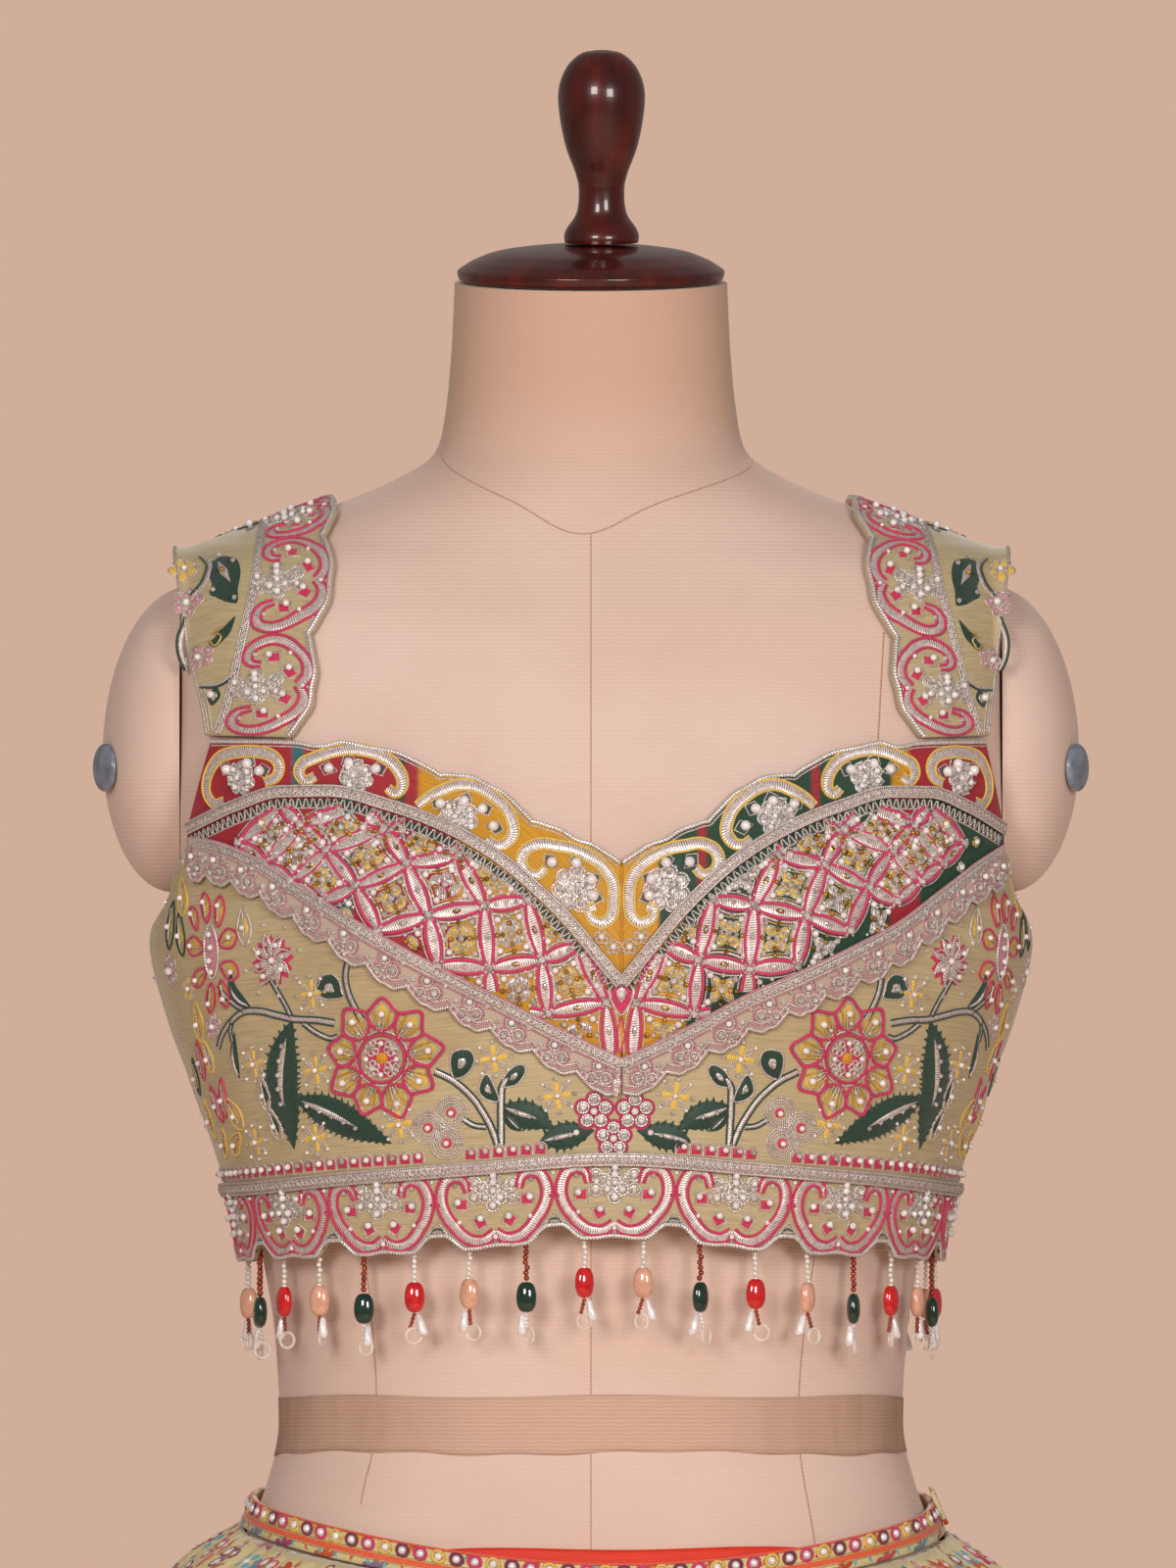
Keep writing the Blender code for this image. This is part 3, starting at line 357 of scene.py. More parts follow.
def hem_lobe(place):
    """Broad lobes of depth 1 with a small dip in the middle, and a flat stretch between two."""
    aside = np.abs(2 * (place - np.floor(place)) - 1)
    rise = np.clip((aside - 0.50) / 0.40, 0, 1)
    return 1 - rise * rise * (3 - 2 * rise) - 0.12 * np.clip(1 - (aside / 0.28) ** 2, 0, 1)


def hem_seam_at(t):
    """The seam between the choli and its hem border."""
    return HEM_SEAM_AT(np.abs(t))


def hem_edge_at(t):
    """The scalloped lower edge of the hem border."""
    return HEM_EDGE_AT(np.abs(t)) - SCALLOP_DEPTH * hem_lobe(t * HEM_SCALLOPS / 2 + 0.5)


def underbust_at(place):
    """The seam under the bust; places are positive at the wearer's left."""
    return UNDERBUST_AT(np.abs(place)) - np.sign(place) * BUST_SKEW_AT(np.abs(place))


def neck_edge_at(place):
    """The scalloped top edge, whose scallops fade out where the straps begin."""
    fade = np.clip((SCALLOPS_FADE_AT - place) / 10, 0, 1)
    return NECK_EDGE_AT(place) + NECK_SCALLOP_DEPTH * fade * scallop(NECK_SCALLOP_AT(place))


def strap_edge_at(along):
    """The scalloped inner edge of a strap, as a distance from the middle."""
    return STRAP_INNER(along) - STRAP_SCALLOP_DEPTH * scallop(along * STRAP_SCALLOPS)


def strap_foot_angles(x, cloth_x):
    """The angles, round the strap's axis, of its two ends at this distance from the middle."""
    x = np.clip(x, -SHOULDER_EDGE, SHOULDER_EDGE)
    foot = NECK_EDGE_AT(np.abs(cloth_x)) + STRAP_FOOT_GAP
    front = DRESSED.at(DRESSED.share_of(x, foot), foot)
    back_foot = BACK_EDGE_AT(0.83) + STRAP_FOOT_GAP
    depth = section_sizes(back_foot, 1.0)
    back = depth[2] * (1 - (np.abs(x) / depth[0]) ** depth[3]) ** (1 / depth[3])
    first = np.arctan2(foot - STRAP_AXIS_HEIGHT, STRAP_AXIS_Y - front[..., 1])
    last = math.pi - np.arctan2(back_foot - STRAP_AXIS_HEIGHT, back - STRAP_AXIS_Y)
    return first, last


def over_shoulder(x, angle):
    """Points on the clothed body in the plane of each x, at an angle round the strap's axis."""
    within_x = np.abs(np.clip(x, -SHOULDER_EDGE, SHOULDER_EDGE))
    near, far = np.zeros(x.shape), np.full(x.shape, 200.0)
    for _ in range(34):
        reach = (near + far) / 2
        y = STRAP_AXIS_Y - reach * np.cos(angle)
        height = STRAP_AXIS_HEIGHT + reach * np.sin(angle)
        width, front, back, square = section_sizes(height, 1.0)
        within = np.clip(1 - (within_x / width) ** square, 0, 1) ** (1 / square)
        before = -front * within - bust(within_x, height, 1.0)
        inside = (y > before) & (y < back * within) & (within_x < width)
        near, far = np.where(inside, reach, near), np.where(inside, far, reach)
    reach = near + STRAP_LIFT
    y = STRAP_AXIS_Y - reach * np.cos(angle)
    return np.stack([x, y, STRAP_AXIS_HEIGHT + reach * np.sin(angle)], axis=-1)


def strap_at(side, edge, along):
    """Points of a strap: edge is a distance from the middle, along is the share of its length."""
    cloth_x = side * edge
    at_front = np.clip(1 - along / 0.44, 0, 1)
    x = cloth_x + (worn_x(cloth_x) - cloth_x) * at_front
    first, last = strap_foot_angles(x, cloth_x)
    return over_shoulder(x, first + (last - first) * along)


def band_top(t):
    """The waistband's top edge, which dips at the front."""
    turn = math.pi * (t - BAND_TURN)
    return BAND_MEAN + BAND_FRONT_DIP * np.cos(turn) + BAND_SIDE_LIFT * np.cos(2 * turn)


def band_ring(t, height, off):
    """Points round the waist for shares that may run past 1."""
    return NUDE.at((np.asarray(t) + 1) % 2 - 1, height, off)


def skirt_radius(drop):
    """The skirt's radius without its folds at a drop under the waistband."""
    return WAIST_RADIUS + (HEM_RADIUS - WAIST_RADIUS) * FLARE_SHARE(drop)


def fold_wave(turn):
    """Uneven folds round the skirt, between about -1.3 and 1.3, with each seam on a fold's side."""
    uneven = (0.9 * np.sin(2 * turn + 1) + 0.7 * np.sin(5 * turn)) * np.sin(SKIRT_PANELS / 2 * turn) ** 2
    return np.sin(FOLDS * turn + uneven) * (1 + 0.25 * np.sin(3 * turn + 2))


def skirt_at(t, drop):
    """A point in the middle of the skirt's cloth at share t and a drop under the waistband.

    Small gathers under the band, which the plain solids leave out, die away in the first 70 mm.
    """
    start_height = band_top(t) - BAND_TALL - SEAM
    start = band_ring(t, start_height, BAND_OFFSET + BAND_WALL / 2)
    turn = math.pi * t
    outward = np.stack([np.sin(turn), -np.cos(turn)], axis=-1)
    share, fold = FLARE_SHARE(drop), FLARE_FOLD(drop)
    flat = start[..., :2] * (1 - share[..., None]) + outward * (HEM_RADIUS * share)[..., None]
    gather = 1.1 * np.sin(96 * turn + 2.2 * np.sin(7 * turn)) * np.exp(-(((drop - 16) / 26) ** 2))
    flat = flat + outward * (fold * (fold_wave(turn) + 1) + gather)[..., None]
    hem_height = HEM_ABOVE_FLOOR - WAIST_ABOVE_FLOOR
    height = start_height + (hem_height - start_height) * drop / SKIRT[-1].drop
    return np.concatenate([flat, height[..., None]], axis=-1)


# Small tools


def linear(code):
    """An sRGB hex colour as linear red, green, blue and alpha."""
    parts = (int(code[i : i + 2], 16) / 255 for i in (1, 3, 5))
    return (*(c / 12.92 if c <= 0.04045 else ((c + 0.055) / 1.055) ** 2.4 for c in parts), 1.0)


def node(tree, kind, inputs=None, stops=(), **settings):
    """Adds a node: inputs are values or the sockets that feed it, and stops are a ramp's own.

    A colour mix has its factor in socket 0, its colours in 6 and 7, and its result in 2.
    """
    made = tree.nodes.new(kind)
    for name, value in settings.items():
        setattr(made, name, value)
    for key, value in (inputs or {}).items():
        if isinstance(value, bpy.types.NodeSocket):
            tree.links.new(value, made.inputs[key])
        else:
            made.inputs[key].default_value = value
    for index, (place, code) in enumerate(stops):
        ramp = made.color_ramp.elements
        stop = ramp[index] if index < 2 else ramp.new(place)
        stop.position, stop.color = place, linear(code)
    return made


def new_material(name, coordinates="Object", **values):
    """A material with values set on its shader's own sockets, named with _ for a space.

    With it come its tree, its shader and the coordinates that its pattern is laid out in.
    """
    material = bpy.data.materials.new(name)
    material.use_nodes = True
    tree = material.node_tree
    shader = tree.nodes["Principled BSDF"]
    for socket, value in values.items():
        shader.inputs[socket.replace("_", " ")].default_value = value
    return material, tree, shader, node(tree, "ShaderNodeTexCoord").outputs[coordinates]


def face_with(tree, shader, tone, relief=None, strength=0.0, deep=0.0):
    """Gives a shader its colour and, where there is relief, a bump this many millimetres deep."""
    tree.links.new(tone, shader.inputs["Base Color"])
    if relief is not None:
        inputs = {"Height": relief, "Strength": strength, "Distance": deep * MM}
        bump = node(tree, "ShaderNodeBump", inputs).outputs["Normal"]
        tree.links.new(bump, shader.inputs["Normal"])


def cloud_over(tree, shader, place, wide, *stops):
    """Colours a shader in soft clouds about this many millimetres wide."""
    cloud = node(tree, "ShaderNodeTexNoise", {"Vector": place, "Scale": blotches(wide)}).outputs["Fac"]
    face_with(tree, shader, node(tree, "ShaderNodeValToRGB", {"Fac": cloud}, stops).outputs["Color"])


def bands(apart):
    """The wave texture's scale for bands this many millimetres apart."""
    return math.pi / 10 / (apart * MM)


def blotches(wide):
    """The noise texture's scale for blotches about this many millimetres wide."""
    return 1 / (wide * MM)


# Materials


def jersey_finish():
    """Cotton jersey, knitted: matt and a little hairy, with ribs round the form.

    The ribs are drawn 1.5 mm apart, about twice the real knit, so that they show. From the shoulders
    up to the neck the colour turns duller, darker and warmer: painted shade.
    """
    values = {"Roughness": 0.85, "Sheen_Weight": 0.15}
    material, tree, shader, place = new_material("cotton_jersey", **values)
    inputs = {"Vector": place, "Scale": bands(1.5), "Distortion": 0.5, "Detail": 1.0}
    ribs = node(tree, "ShaderNodeTexWave", inputs, bands_direction="Z").outputs["Fac"]
    cloud = node(tree, "ShaderNodeTexNoise", {"Vector": place, "Scale": blotches(70.0)}).outputs["Fac"]
    stops = ((0.3, "#DABDAD"), (0.7, "#E2C8BB"))
    tone = node(tree, "ShaderNodeValToRGB", {"Fac": cloud}, stops).outputs["Color"]
    # Painted shade: from the shoulders up to the neck the jersey is mixed towards a darker, warmer tone
    height = node(tree, "ShaderNodeSeparateXYZ", {0: place}).outputs["Z"]
    shoulders, neck = 1.40, 1.48
    inputs = {"Value": height, "From Min": shoulders, "From Max": neck}
    painted_neck_shade = node(tree, "ShaderNodeMapRange", inputs, interpolation_type="SMOOTHSTEP").outputs[0]
    inputs = {0: painted_neck_shade, 6: tone, 7: linear("#CEA992")}
    tone = node(tree, "ShaderNodeMix", inputs, data_type="RGBA").outputs[2]
    faint = node(tree, "ShaderNodeMath", {0: ribs, 1: 0.07}, operation="MULTIPLY").outputs[0]
    inputs = {0: faint, 6: tone, 7: linear("#AE8B78")}
    tone = node(tree, "ShaderNodeMix", inputs, data_type="RGBA").outputs[2]
    face_with(tree, shader, tone, ribs, 0.5, 0.12)
    return material


def tape_finish():
    """Old gauze tape stuck round the waist: browner than the jersey, ribbed, darker blotches at the sides."""
    material, tree, shader, place = new_material("gauze_tape", Roughness=0.9)
    inputs = {"Vector": place, "Scale": bands(1.5), "Distortion": 2.0, "Detail": 2.0}
    ribs = node(tree, "ShaderNodeTexWave", inputs, bands_direction="Z").outputs["Fac"]
    inputs = {"Vector": place, "Scale": (1.0, 1.0, 0.22)}
    stretched = node(tree, "ShaderNodeMapping", inputs).outputs["Vector"]
    inputs = {"Vector": stretched, "Scale": blotches(11.0), "Detail": 3.0}
    smudge = node(tree, "ShaderNodeTexNoise", inputs).outputs["Fac"]
    # Blotches that grow darker towards the form's sides, from 40 to 120 mm off its middle
    reach = node(tree, "ShaderNodeSeparateXYZ", {"Vector": place}).outputs["X"]
    aside = node(tree, "ShaderNodeMath", {0: reach}, operation="ABSOLUTE").outputs[0]
    inputs = {"Value": aside, "From Min": 0.04, "From Max": 0.12}
    aside = node(tree, "ShaderNodeMapRange", inputs).outputs[0]
    darker_side_blotches = node(tree, "ShaderNodeMath", {0: aside, 1: smudge}, operation="MULTIPLY").outputs[0]
    stops = ((0.0, "#C6A28B"), (1.0, "#D3B19D"))
    tone = node(tree, "ShaderNodeValToRGB", {"Fac": ribs}, stops).outputs["Color"]
    inputs = {0: darker_side_blotches, 6: tone, 7: linear("#94745F")}
    tone = node(tree, "ShaderNodeMix", inputs, data_type="RGBA").outputs[2]
    face_with(tree, shader, tone, ribs, 0.6, 0.15)
    return material


def mahogany_finish():
    """Mahogany, turned, stained and lacquered: dark red-brown, upright grain, a glassy coat."""
    values = {"Roughness": 0.3, "Specular_IOR_Level": 0.35, "Coat_Weight": 0.6, "Coat_Roughness": 0.06}
    material, tree, shader, place = new_material("lacquered_mahogany", **values)
    inputs = {"Vector": place, "Scale": (1.0, 1.0, 0.12)}
    upright = node(tree, "ShaderNodeMapping", inputs).outputs["Vector"]
    inputs = {"Vector": upright, "Scale": blotches(9.0), "Detail": 4.0}
    grain = node(tree, "ShaderNodeTexNoise", inputs).outputs["Fac"]
    stops = ((0.3, "#2C0403"), (0.55, "#4C0A05"), (0.8, "#6C1A0C"))
    face_with(tree, shader, node(tree, "ShaderNodeValToRGB", {"Fac": grain}, stops).outputs["Color"])
    return material


def knob_finish():
    """Blue-grey enamel on the arm knobs: smooth, cloudy and a little worn."""
    values = {"Roughness": 0.35, "Coat_Weight": 0.4}
    material, tree, shader, place = new_material("blue_grey_enamel", **values)
    cloud_over(tree, shader, place, 6.0, (0.3, "#5D6677"), (0.7, "#8A93A2"))
    return material


def steel_finish():
    """Brushed steel tube: grey metal with fine marks round it, drawn 0.7 mm apart to show."""
    values = {"Metallic": 1.0, "Roughness": 0.32}
    material, tree, shader, place = new_material("brushed_steel", **values)
    inputs = {"Vector": place, "Scale": (1.0, 1.0, 12.0)}
    drawn = node(tree, "ShaderNodeMapping", inputs).outputs["Vector"]
    inputs = {"Vector": drawn, "Scale": blotches(8.0), "Detail": 3.0}
    marks = node(tree, "ShaderNodeTexNoise", inputs).outputs["Fac"]
    stops = ((0.2, "#8E9094"), (0.8, "#B4B6BA"))
    tone = node(tree, "ShaderNodeValToRGB", {"Fac": marks}, stops).outputs["Color"]
    face_with(tree, shader, tone, marks, 0.4, 0.03)
    return material


def raw_silk_finish(name, low, high, ground=False):
    """Raw silk, plain woven with slubs: a soft lustre and threads that catch the light.

    The threads are drawn 0.8 mm apart, three times the real weave, so that they show. Where the
    cloth is dyed in areas, its ground attribute gives the colour.
    """
    values = {"Roughness": 0.62, "Sheen_Weight": 0.35, "Sheen_Roughness": 0.4}
    material, tree, shader, flat = new_material(name, "UV", **values)
    inputs = {"Vector": flat, "Scale": (0.05, 1.0, 1.0)}
    weft = node(tree, "ShaderNodeMapping", inputs).outputs["Vector"]
    inputs = {"Vector": weft, "Scale": blotches(0.7), "Detail": 3.0}
    slubs = node(tree, "ShaderNodeTexNoise", inputs).outputs["Fac"]
    inputs = {"Vector": flat, "Scale": bands(0.8)}
    threads = node(tree, "ShaderNodeTexWave", inputs, bands_direction="Y").outputs["Fac"]
    stops = ((0.3, low), (0.7, high))
    tone = node(tree, "ShaderNodeValToRGB", {"Fac": slubs}, stops).outputs["Color"]
    cloud = node(tree, "ShaderNodeTexNoise", {"Vector": flat, "Scale": blotches(26.0)}).outputs["Fac"]
    layers = [(cloud, linear("#E9E2D4"))]
    if ground:
        dyed = node(tree, "ShaderNodeAttribute", attribute_name="ground").outputs["Color"]
        layers.insert(0, (1.0, dyed))
    for share, dye in layers:
        inputs = {0: share, 6: tone, 7: dye}
        tone = node(tree, "ShaderNodeMix", inputs, data_type="RGBA", blend_type="MULTIPLY").outputs[2]
    inputs = {0: slubs, 1: 1.5, 2: threads}
    weave = node(tree, "ShaderNodeMath", inputs, operation="MULTIPLY_ADD").outputs[0]
    face_with(tree, shader, tone, weave, 0.3, 0.1)
    return material


def printed_silk_finish():
    """The skirt's raw silk, printed with five-petalled flowers in rust, pink, blue and gold.

    The flowers stand in a square net that is turned to the weave, each in a dye of its own.
    """
    material = raw_silk_finish("lime_cream_silk", "#CFC08A", "#E2D7A8")
    tree = material.node_tree
    shader = tree.nodes["Principled BSDF"]
    silk = shader.inputs["Base Color"].links[0].from_socket
    flat = node(tree, "ShaderNodeTexCoord").outputs["UV"]
    inputs = {"Vector": flat, "Rotation": (0, 0, math.pi / 4), "Scale": (1 / (PRINT_APART * MM),) * 3}
    net = node(tree, "ShaderNodeMapping", inputs).outputs["Vector"]
    place = node(tree, "ShaderNodeVectorMath", {0: net}, operation="FRACTION").outputs["Vector"]
    inputs = {0: place, 1: (0.5, 0.5, 0.0)}
    place = node(tree, "ShaderNodeVectorMath", inputs, operation="SUBTRACT").outputs["Vector"]
    across = node(tree, "ShaderNodeSeparateXYZ", {0: place}).outputs
    inputs = {0: across["Y"], 1: across["X"]}
    angle = node(tree, "ShaderNodeMath", inputs, operation="ARCTAN2").outputs[0]
    petals = node(tree, "ShaderNodeMath", {0: angle, 1: 5.0}, operation="MULTIPLY").outputs[0]
    petals = node(tree, "ShaderNodeMath", {0: petals}, operation="COSINE").outputs[0]
    inputs = {0: petals, 1: 0.10, 2: 0.24}
    reach = node(tree, "ShaderNodeMath", inputs, operation="MULTIPLY_ADD").outputs[0]
    away = node(tree, "ShaderNodeVectorMath", {0: place}, operation="LENGTH").outputs["Value"]
    flower = node(tree, "ShaderNodeMath", {0: away, 1: reach}, operation="LESS_THAN").outputs[0]
    cell = node(tree, "ShaderNodeVectorMath", {0: net}, operation="FLOOR").outputs["Vector"]
    lot = node(tree, "ShaderNodeTexWhiteNoise", {"Vector": cell}).outputs["Value"]
    stops = ((0.1, "#B5441A"), (0.4, "#C4622E"), (0.55, "#A8305A"), (0.75, "#3F8FA6"), (0.95, "#D9A43A"))
    dye = node(tree, "ShaderNodeValToRGB", {"Fac": lot}, stops).outputs["Color"]
    tone = node(tree, "ShaderNodeMix", {0: flower, 6: silk, 7: dye}, data_type="RGBA").outputs[2]
    face_with(tree, shader, tone)
    return material


def thread_finish(name, low, high, metallic, roughness, pitch):
    """Embroidery thread, laid stitch by stitch: each stitch is a small ridge with its own gloss,
    painted lighter on its top and darker between stitches, with painted glints from noise.

    The along and around attributes run down the row and across it, in millimetres and in turns,
    and the stitches are drawn 0.6 to 1.4 mm apart, up to twice the real ones, so that they show.
    """
    values = {"Metallic": metallic, "Roughness": roughness, "Sheen_Weight": 0.0 if metallic else 0.3}
    material, tree, shader, place = new_material(name, **values)
    along = node(tree, "ShaderNodeAttribute", attribute_name="along").outputs["Fac"]
    around = node(tree, "ShaderNodeAttribute", attribute_name="around").outputs["Fac"]
    # Painted light and shade: the colour runs from the painted shade to the painted highlight across each
    # stitch's ridge
    inputs = {0: along, 1: 1 / pitch, 2: around}
    turns = node(tree, "ShaderNodeMath", inputs, operation="MULTIPLY_ADD").outputs[0]
    ridge = node(tree, "ShaderNodeMath", {0: turns, 1: 0.5}, operation="PINGPONG").outputs[0]
    # Painted glints: fine noise that brightens and darkens the thread in small spots
    painted_glints = node(tree, "ShaderNodeTexNoise", {"Vector": place, "Scale": blotches(1.2)}).outputs["Fac"]
    inputs = {0: painted_glints, 1: 0.5, 2: ridge}
    tone = node(tree, "ShaderNodeMath", inputs, operation="MULTIPLY_ADD").outputs[0]
    stops = ((0.25, low), (0.68, high))
    tone = node(tree, "ShaderNodeValToRGB", {"Fac": tone}, stops).outputs["Color"]
    face_with(tree, shader, tone, ridge, 0.6, 0.32)
    return material


def bead_finish(name, light, dark, roughness, metallic, coat):
    """Glass, acrylic, foil and pearl beads: smooth, with a little unevenness in the colour."""
    values = {"Roughness": roughness, "Metallic": metallic, "Coat_Weight": coat}
    material, tree, shader, place = new_material(name, **values)
    cloud_over(tree, shader, place, 2.4, (0.35, dark), (0.65, light))
    return material


def net_finish():
    """Fine nylon net behind the lace, with threads 1.1 mm apart, drawn in the olive seen through it."""
    material, tree, shader, flat = new_material("nylon_net", "UV", Roughness=0.6)
    inputs = {"Vector": flat, "Scale": bands(1.1)}
    warp = node(tree, "ShaderNodeTexWave", inputs, bands_direction="X").outputs["Fac"]
    weft = node(tree, "ShaderNodeTexWave", inputs, bands_direction="Y").outputs["Fac"]
    mesh = node(tree, "ShaderNodeMath", {0: warp, 1: weft}, operation="MAXIMUM").outputs[0]
    stops = ((0.4, "#A8977C"), (0.8, "#C6B3A4"))
    tone = node(tree, "ShaderNodeValToRGB", {"Fac": mesh}, stops).outputs["Color"]
    face_with(tree, shader, tone, mesh, 0.5, 0.1)
    return material


def clear_ring_finish():
    """Clear plastic ring, moulded: see-through with bright edges."""
    values = {"Roughness": 0.12, "IOR": 1.46, "Alpha": 0.42}
    material, tree, shader, place = new_material("clear_plastic", **values)
    cloud_over(tree, shader, place, 3.0, (0.3, "#E6D9CB"), (0.7, "#FFF8F0"))
    return material


def floor_finish():
    """A plain pale studio floor, painted: matt, a little uneven."""
    material, tree, shader, place = new_material("studio_floor_paint", Roughness=0.9)
    cloud_over(tree, shader, place, 400.0, (0.3, "#D9BBA8"), (0.7, "#DDC0AE"))
    return material


# Each colour's painted shade between stitches and painted highlight on the ridges, metal, roughness and
# stitch
Thread = namedtuple("Thread", "low high metallic roughness pitch")
THREADS = {
    "zari": Thread("#85706A", "#F6EBE6", 0.35, 0.34, 0.9),
    "silver": Thread("#A79A90", "#FFFFFF", 0.45, 0.28, 1.2),
    "gold": Thread("#8F6A2A", "#F2D98A", 0.4, 0.32, 0.9),
    "crimson": Thread("#A81440", "#DE3566", 0.0, 0.5, 0.7),
    "magenta": Thread("#AF1548", "#E23C72", 0.0, 0.5, 0.7),
    "mustard": Thread("#BC7F0C", "#E0A016", 0.0, 0.6, 0.9),
    "yellow": Thread("#C9992E", "#F2D268", 0.0, 0.5, 0.7),
    "straw": Thread("#B48B2A", "#F0CF6E", 0.15, 0.42, 0.6),
    "green": Thread("#08201A", "#1D4A38", 0.0, 0.5, 0.7),
    "teal": Thread("#1D5A66", "#3C93A6", 0.0, 0.5, 0.7),
    "slate": Thread("#182C33", "#3B5861", 0.0, 0.5, 0.7),
    "rose": Thread("#A8566A", "#DDA2AB", 0.0, 0.5, 0.7),
    "rust": Thread("#A63C12", "#DC6F2C", 0.0, 0.5, 0.7),
    "maroon": Thread("#5E1430", "#8E2748", 0.0, 0.5, 0.7),
    "orange": Thread("#CF3E1A", "#F2683A", 0.0, 0.5, 0.7),
    "sky": Thread("#3A8FA8", "#66B8CC", 0.0, 0.5, 0.7),
    "flesh": Thread("#A67C66", "#D2A891", 0.0, 0.7, 1.4),
}
# Each bead's material, lighter and darker shade, roughness, metal and clear coat
Bead = namedtuple("Bead", "material light dark roughness metallic coat")
BEAD_KINDS = {
    "pearl": Bead("pearl", "#F6F1EE", "#DCD4D6", 0.16, 0.0, 0.8),
    "crystal": Bead("cut_crystal", "#FFFFFF", "#B9B4B0", 0.06, 0.55, 1.0),
    "sequin": Bead("gold_sequin", "#D9B56B", "#9A7432", 0.16, 0.9, 0.0),
    "gold_seed": Bead("gold_glass_bead", "#C98F2E", "#8A5A18", 0.16, 0.3, 0.6),
    "seed": Bead("white_glass_bead", "#F4F0EA", "#DDD6CE", 0.18, 0.0, 0.6),
    "rust_bead": Bead("rust_glass_bead", "#A8340E", "#6E1C06", 0.15, 0.0, 0.8),
    "red_bead": Bead("red_acrylic_bead", "#D81A1E", "#BE0F16", 0.14, 0.0, 0.9),
    "green_bead": Bead("green_acrylic_bead", "#0C3A2C", "#06281E", 0.12, 0.0, 0.9),
    "peach_bead": Bead("peach_acrylic_bead", "#E3AD93", "#D39A80", 0.2, 0.0, 0.7),
    "mirror": Bead("small_mirror", "#FFFFFF", "#E8E2E6", 0.1, 0.25, 0.9),
}
FINISH = {name: thread_finish(name + "_thread", *row) for name, row in THREADS.items()}
FINISH.update({kind: bead_finish(*row) for kind, row in BEAD_KINDS.items()})
FINISH.update(
    {
        "jersey": jersey_finish(),
        "tape": tape_finish(),
        "mahogany": mahogany_finish(),
        "enamel": knob_finish(),
        "steel": steel_finish(),
        "silk": raw_silk_finish("olive_raw_silk", "#B3A37F", "#CCBD97"),
        "dyed": raw_silk_finish("dyed_raw_silk", "#D2D2D2", "#FFFFFF", ground=True),
        "orange_silk": raw_silk_finish("orange_silk", "#DC2602", "#F03806"),
        "printed": printed_silk_finish(),
        "net": net_finish(),
        "clear": clear_ring_finish(),
        "floor": floor_finish(),
    }
)


# Surfaces, and what is sewn on them


class Laid:
    """A tabled surface: places (u, v) on the cloth in millimetres, and its outward direction."""

    def __init__(self, us, vs, points, inside):
        self.us, self.vs, self.points = us, vs, points
        normal = np.cross(np.gradient(points, us, axis=1), np.gradient(points, vs, axis=0))
        normal /= np.maximum(np.linalg.norm(normal, axis=-1, keepdims=True), 1e-9)
        self.normal = normal * np.sign(((points - inside) * normal).sum(axis=-1, keepdims=True))

    def look(self, table, u, v):
        """Bilinear values of a table at places (u, v)."""
        across = np.clip(np.interp(u, self.us, np.arange(len(self.us))), 0, len(self.us) - 1.001)
        up = np.clip(np.interp(v, self.vs, np.arange(len(self.vs))), 0, len(self.vs) - 1.001)
        i, j = up.astype(int), across.astype(int)
        a, b = (up - i)[..., None], (across - j)[..., None]
        near = table[i, j] * (1 - b) + table[i, j + 1] * b
        far = table[i + 1, j] * (1 - b) + table[i + 1, j + 1] * b
        return near * (1 - a) + far * a

    def __call__(self, u, v, off=0.0):
        """Points at places (u, v), moved out of the surface by off."""
        u, v, off = np.broadcast_arrays(*(np.asarray(value, float) for value in (u, v, off)))
        return self.look(self.points, u, v) + self.look(self.normal, u, v) * off[..., None]


def choli_surface():
    """The choli by its arc length from the centre front at each height, and its height."""
    s, heights = np.meshgrid(np.linspace(-470, 470, 941), np.arange(56.0, 264.0, 2.0))
    points = choli_at(s / DRESSED.half_round(heights), heights)
    return Laid(s[0], heights[:, 0], points, points * (0, 0, 1))


def skirt_surface():
    """The skirt by 1000 times its share round the body, and minus its drop."""
    drops = np.concatenate([np.arange(0, 80, 4.0), np.linspace(80, 1030, 120)])[::-1]
    shares_, drop = np.meshgrid(np.linspace(-1.02, 1.02, 2449), drops)
    points = skirt_at(shares_, drop)
    return Laid(shares_[0] * 1000, -drops, points, points * (0, 0, 1))


def strap_surface(side):
    """A strap by its distance from the choli's middle, and about how far it is from its front foot."""
    edges, along = np.meshgrid(np.linspace(84, 160, 39), np.linspace(0, 1, 161))
    points = strap_at(side, edges, along)
    inside = points * (1, 0, 0) + (0, STRAP_AXIS_Y, STRAP_AXIS_HEIGHT)
    return Laid(edges[0], along[:, 0] * STRAP_LENGTH, points, inside)


def body_face():
    """The jersey by arc length from the form's centre front, and height."""
    s, heights = np.meshgrid(np.linspace(-520, 520, 521), np.arange(-318.0, 428.0, 2.0))
    points = NUDE.at(np.clip(s / NUDE.half_round(heights), -1, 1), heights)
    return Laid(s[0], heights[:, 0], points, points * (0, 0, 1))


CHOLI, SKIRT_CLOTH, BODY_FACE = choli_surface(), skirt_surface(), body_face()
STRAPS = {side: strap_surface(side) for side in (1, -1)}
CORDS, PATCHES, BEADS = {}, {}, {}


